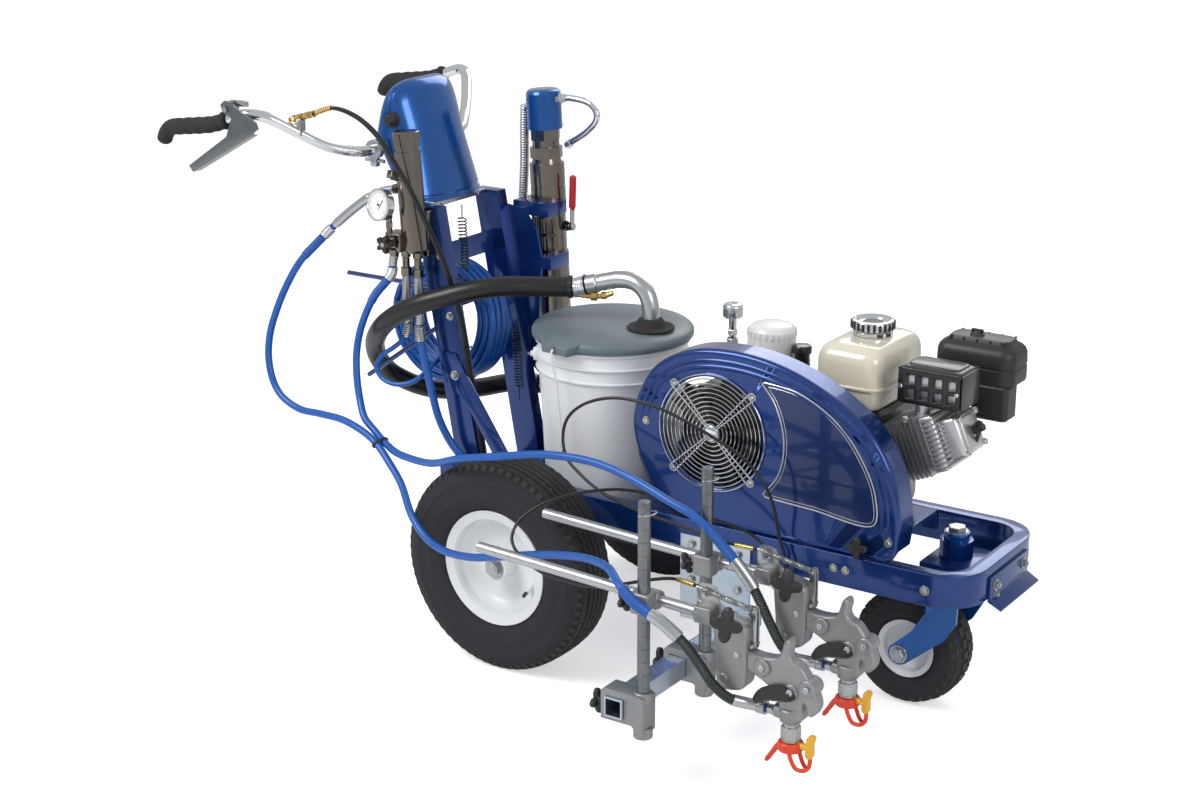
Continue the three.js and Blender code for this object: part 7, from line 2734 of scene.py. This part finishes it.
# ------------------------------------------------------------------ hydraulics
@dataclass
class Hydraulics:
    """The oil tank with its filter, breather and pressure knob."""

    top: float = 528.0
    row: float = 110.0

    def tank(self) -> None:
        """Makes the oil tank, the pump under the fan, and the breather."""
        shape = Shape()
        rounded(shape, (235, 450), (-10, 170), [(328.3, 2), (332, 0), (520, 0), (525, 2), (528, 7)], 18)
        shape.bar((379, -97.7, 507), (379, -8, 507), 42, 64, soft=2)
        shape.block((349, 409), (-70, -8), (328.3, 477), 4)
        shape.bar((415, self.row, 526), (415, self.row, 600), 15, 48, soft=1)
        shape.turned(
            [(0, 0), (17, 0), (18.4, 1.5), (18.4, 13), (16, 16.5), (0, 17.4)], (415, self.row, 598), Axis.Z, 56,
        )
        for k in range(6):
            shape.turned([(14, 0), (16.6, 0.6), (16.6, 2.4), (14, 3)], (415, self.row, 548 + k * 7), Axis.Z, 40)
        for bx, by in ((250, 10), (250, 155), (435, 10), (435, 155)):
            shape.hexagon((bx, by, 527), (bx, by, 532), 13)
        shape.piece("hydraulic_tank_welded", "frame", [BLACK_PAINT], "black_paint", ["hydraulic_tank"])
        neck = Shape()
        neck.bar((260, self.row, 527), (260, self.row, 605.6), 9, 40)
        for z in (540, 566, 592):
            neck.hexagon((260, self.row, z), (260, self.row, z + 12), 25)
        neck.piece("pressure_valve_body", "frame", [ZINC], "zinc_plate", soft=0.4)

    def filter(self) -> None:
        """Makes the spin-on oil filter with its fluted end."""
        shape = Shape()
        shape.turned(
            [
                (0, 0), (44, 0), (47, 1.5), (48, 4), (46.6, 7), (47.6, 10), (47.6, 100), (46.6, 106), (43, 113),
                (38, 117.6), (32, 119.6), (26, 121), (0, 121.7),
            ],
            (348, self.row, self.top + 0.3), Axis.Z, 96,
        )
        unit = Shape()
        unit.block((46.4, 48.6), (-3, 3), (96, 110), 1.0)
        shape.take(round_axis(unit, 24, FILTER_WHITE), Matrix.Translation((348, self.row, self.top)))
        shape.piece("oil_filter_can", "frame", [FILTER_WHITE], "white_paint", ["oil_filter"])

    def knob(self) -> None:
        """Makes the knurled pressure knob and its stem."""
        shape = Shape()
        shape.bar((260, self.row, 606.3), (260, self.row, 648), 8, 40)
        shape.hexagon((260, self.row, 612), (260, self.row, 622), 22)
        shape.turned(
            [(0, 0), (17, 0), (19.2, 2), (19.2, 24), (17.4, 27), (15, 28), (8, 28), (7, 27), (0, 27)],
            (260, self.row, 646), Axis.Z, 80,
        )
        unit = Shape()
        unit.block((18.6, 20.2), (-0.95, 0.95), (3, 23), 0.3)
        shape.take(round_axis(unit, 44, CHROME), Matrix.Translation((260, self.row, 646)))
        shape.piece("pressure_knob_knurled", "pressure", [CHROME], "chrome_plate", ["pressure_knob"])

    def build(self) -> None:
        """Makes the whole group."""
        self.tank()
        self.filter()
        self.knob()


# ------------------------------------------------------------------ frame and plain steelwork
@dataclass
class Steelwork:
    """The frame's own plates and tubes with softened edges, and the bolts on them."""

    plates: tuple[tuple[str, str, Finish, str, float], ...] = (
        ("frame_loop", "frame", DEEP_BLUE, "frame_paint", 5.0), ("deck", "frame", DEEP_BLUE, "frame_paint", 1.6),
        ("caster_boss", "frame", DEEP_BLUE, "frame_paint", 2.4),
        ("caster_fork", "caster", MID_BLUE, "light_blue_paint", 2.2),
        ("near_post", "frame", DEEP_BLUE, "frame_paint", 1.6), ("far_post", "frame", DEEP_BLUE, "frame_paint", 1.6),
        ("trigger_lever", "lever", DARK_ZINC, "zinc_plate", 1.2), ("hinge_arm", "frame", GREY_PAINT, "grey_paint", 1.6),
        ("cooling_fan", "fan", BLACK_PLASTIC, "black_plastic", 0.7),
    )

    def soften(self, node: str, body: str, finish: Finish, slot: str, wide: float) -> None:
        """Rounds the edges of a plain piece of the frame.

        Args:
            node: the frame's node whose shape is taken.
            body: the body that it moves with.
            finish: its finish.
            slot: its material slot in the record.
            wide: how wide its rounded edges are.
        """
        shape = Shape()
        shape.bm.from_mesh(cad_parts[node].data)
        bm = shape.bm
        bmesh.ops.remove_doubles(bm, verts=bm.verts, dist=2e-5)
        bmesh.ops.dissolve_limit(bm, angle_limit=math.radians(1.5), verts=bm.verts, edges=bm.edges)
        sharp = [e for e in bm.edges if len(e.link_faces) == 2 and e.calc_face_angle(0) > math.radians(38)]
        bmesh.ops.bevel(
            bm, geom=sharp, offset=wide / 1000, segments=3, profile=0.5, affect="EDGES", clamp_overlap=True,
        )
        for f in bm.faces:
            f.material_index = 0
        bmesh.ops.transform(bm, matrix=DATUM.matrix().inverted(), verts=bm.verts)
        shape.piece(f"{node}_softened", body, [finish], slot, [node], angle=40)

    def bolts(self) -> None:
        """Sets the bolts and nuts on the frame, posts and caster."""
        shape = Shape()
        sites = [
            ((906.3, -58, 290), (1, 0, 0), 15), ((906.3, 66, 290), (1, 0, 0), 15), ((906.3, -58, 272), (1, 0, 0), 11),
            ((-248, -121.2, 500), (0, -1, 0), 14), ((-262, -115.2, 620), (0, -1, 0), 12),
            ((-284, -115.2, 740), (0, -1, 0), 12), ((-232, 121.2, 500), (0, 1, 0), 14),
            ((-300, 120.4, 560), (0, 1, 0), 12), ((-240, 120.4, 560), (0, 1, 0), 12),
            ((-240, 120.4, 760), (0, 1, 0), 12), ((-100, -158.3, 345), (0, -1, 0), 12),
            ((-100, 158.3, 345), (0, 1, 0), 12), ((640, -169.3, 300), (0, -1, 0), 11),
            ((664, -169.3, 300), (0, -1, 0), 11), ((820, -169.3, 297), (0, -1, 0), 13),
            ((290, -96, 340), (0, -1, 0), 12), ((262, -96, 340), (0, -1, 0), 12), ((270, -96, 412), (0, -1, 0), 12),
        ]
        for place, way, across in sites:
            p, w = Vector(place), Vector(way)
            shape.bar(p - w * 0.6, p + w * 1.8, across * 0.72, 32, soft=0.4)
            shape.hexagon(p + w * 1.6, p + w * (1.6 + across * 0.42), across)
            shape.bar(p + w * (1.5 + across * 0.42), p + w * (2.2 + across * 0.52), across * 0.26, 20, soft=0.4)
        shape.piece("frame_bolts", "frame", [ZINC], "zinc_plate")
        turning = Shape()
        for side in (-1, 1):
            y = side * 63.2
            turning.bar((726, y, 112), (726, y + side * 2.2, 112), 18, 48, soft=0.5)
            turning.hexagon((726, y + side * 2, 112), (726, y + side * 10.5, 112), 29)
            turning.bar((726, y + side * 10, 112), (726, y + side * 12.4, 112), 7.4, 32, soft=0.8)
        turning.bar((802, 0, 350.6), (802, 0, 352.6), 21, 48, soft=0.5)
        turning.hexagon((802, 0, 352), (802, 0, 361), 34)
        turning.piece("caster_bolts", "caster", [ZINC], "zinc_plate")

    def ties(self) -> None:
        """Ties the two gun hoses together and clips the cables to the post."""
        hoses = Hoses()
        near, far = spline(hoses.near_gun, 400), spline(hoses.far_gun, 400)
        p, q, k = min(
            ((a, b, i) for i, a in enumerate(near) if a.x < -200 for b in far if b.x < -200),
            key=lambda t: (t[0] - t[1]).length,
        )
        u = q - p
        half = u.length / 2 + 9.4
        u.normalize()
        along = (near[k + 1] - near[k - 1]).normalized()
        v = along.cross(u).normalized()
        middle = (p + q) / 2
        shape = Shape()
        for offset in (-1.2, 1.2):
            ring = [
                middle + along * offset + u * half * math.cos(t * math.pi / 20) + v * 9.4 * math.sin(t * math.pi / 20)
                for t in range(41)
            ]
            shape.tube(ring, 1.6, 10)
        shape.block((middle.x - 3, middle.x + 3), (middle.y - 13, middle.y - 7), (middle.z - 3, middle.z + 3), 1)
        for z, x in ((700, -238), (560, -222), (450, -209)):
            ring = [
                Vector((x + 6 * math.cos(t * math.pi / 12), -112 + 11 * math.sin(t * math.pi / 12), z))
                for t in range(25)
            ]
            shape.tube(ring, 1.2, 8)
        shape.piece("hose_ties", "frame", [BLACK_PLASTIC], "black_plastic")

    def lines(self) -> None:
        """Runs the two steel oil lines under the near rail."""
        shape = Shape()
        for k, y in enumerate((-150, -136)):
            path = spline(
                [
                    (60, y, 252 - 9 * k), (180, y, 250 - 9 * k), (300, y, 252 - 9 * k), (372, y + 4, 259),
                    (404, y + 30, 268),
                ],
                60,
            )
            shape.tube(path, 5.5, 16)
            shape.hexagon(path[0], path[0] + Vector((18, 0, 0)), 17)
        shape.piece("oil_lines", "frame", [BLACK_PAINT], "black_paint")

    def build(self) -> None:
        """Makes every piece of the group."""
        for plate in self.plates:
            self.soften(*plate)
        self.bolts()
        self.ties()
        self.lines()


# ------------------------------------------------------------------ the machine
def keep(node: str, finish: Finish) -> None:
    """Gives a frame node that keeps its own shape its finish.

    Args:
        node: the node's name.
        finish: the finish of all its faces.
    """
    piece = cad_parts[node]
    if not piece.data.materials:
        piece.data.materials.append(finish.material())
    for slot in piece.material_slots:
        slot.material = finish.material()


KEPT = {"rear_axle": ZINC, "engine_pulley": CAST, "crossbar": ZINC_BLUE}


def main() -> None:
    """Builds the studio and every sub-assembly."""
    logging.basicConfig(level=logging.INFO, format="%(message)s")
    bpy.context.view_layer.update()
    DATUM.find()
    Studio().build()
    Hoses().build()
    for node, finish in KEPT.items():
        keep(node, finish)
    for part in PARTS:
        LOG.info("building %s", type(part).__name__)
        part.build()


PARTS: list = [
    Wheel("near", "near_wheel", (0, -287.5, 210), side=-1.0),
    Wheel("far", "far_wheel", (0, 287.5, 210), side=1.0),
    Wheel("front", "front_wheel", (726, 0, 112), 112, 86, 50, 57, 8, 53, -1.0, 30, True),
    Pail(),
    BeltCover(),
    Tower(),
    GunRack(),
    Engine(),
    Hydraulics(),
    Steelwork(),
]

if __name__ == "__main__":
    main()
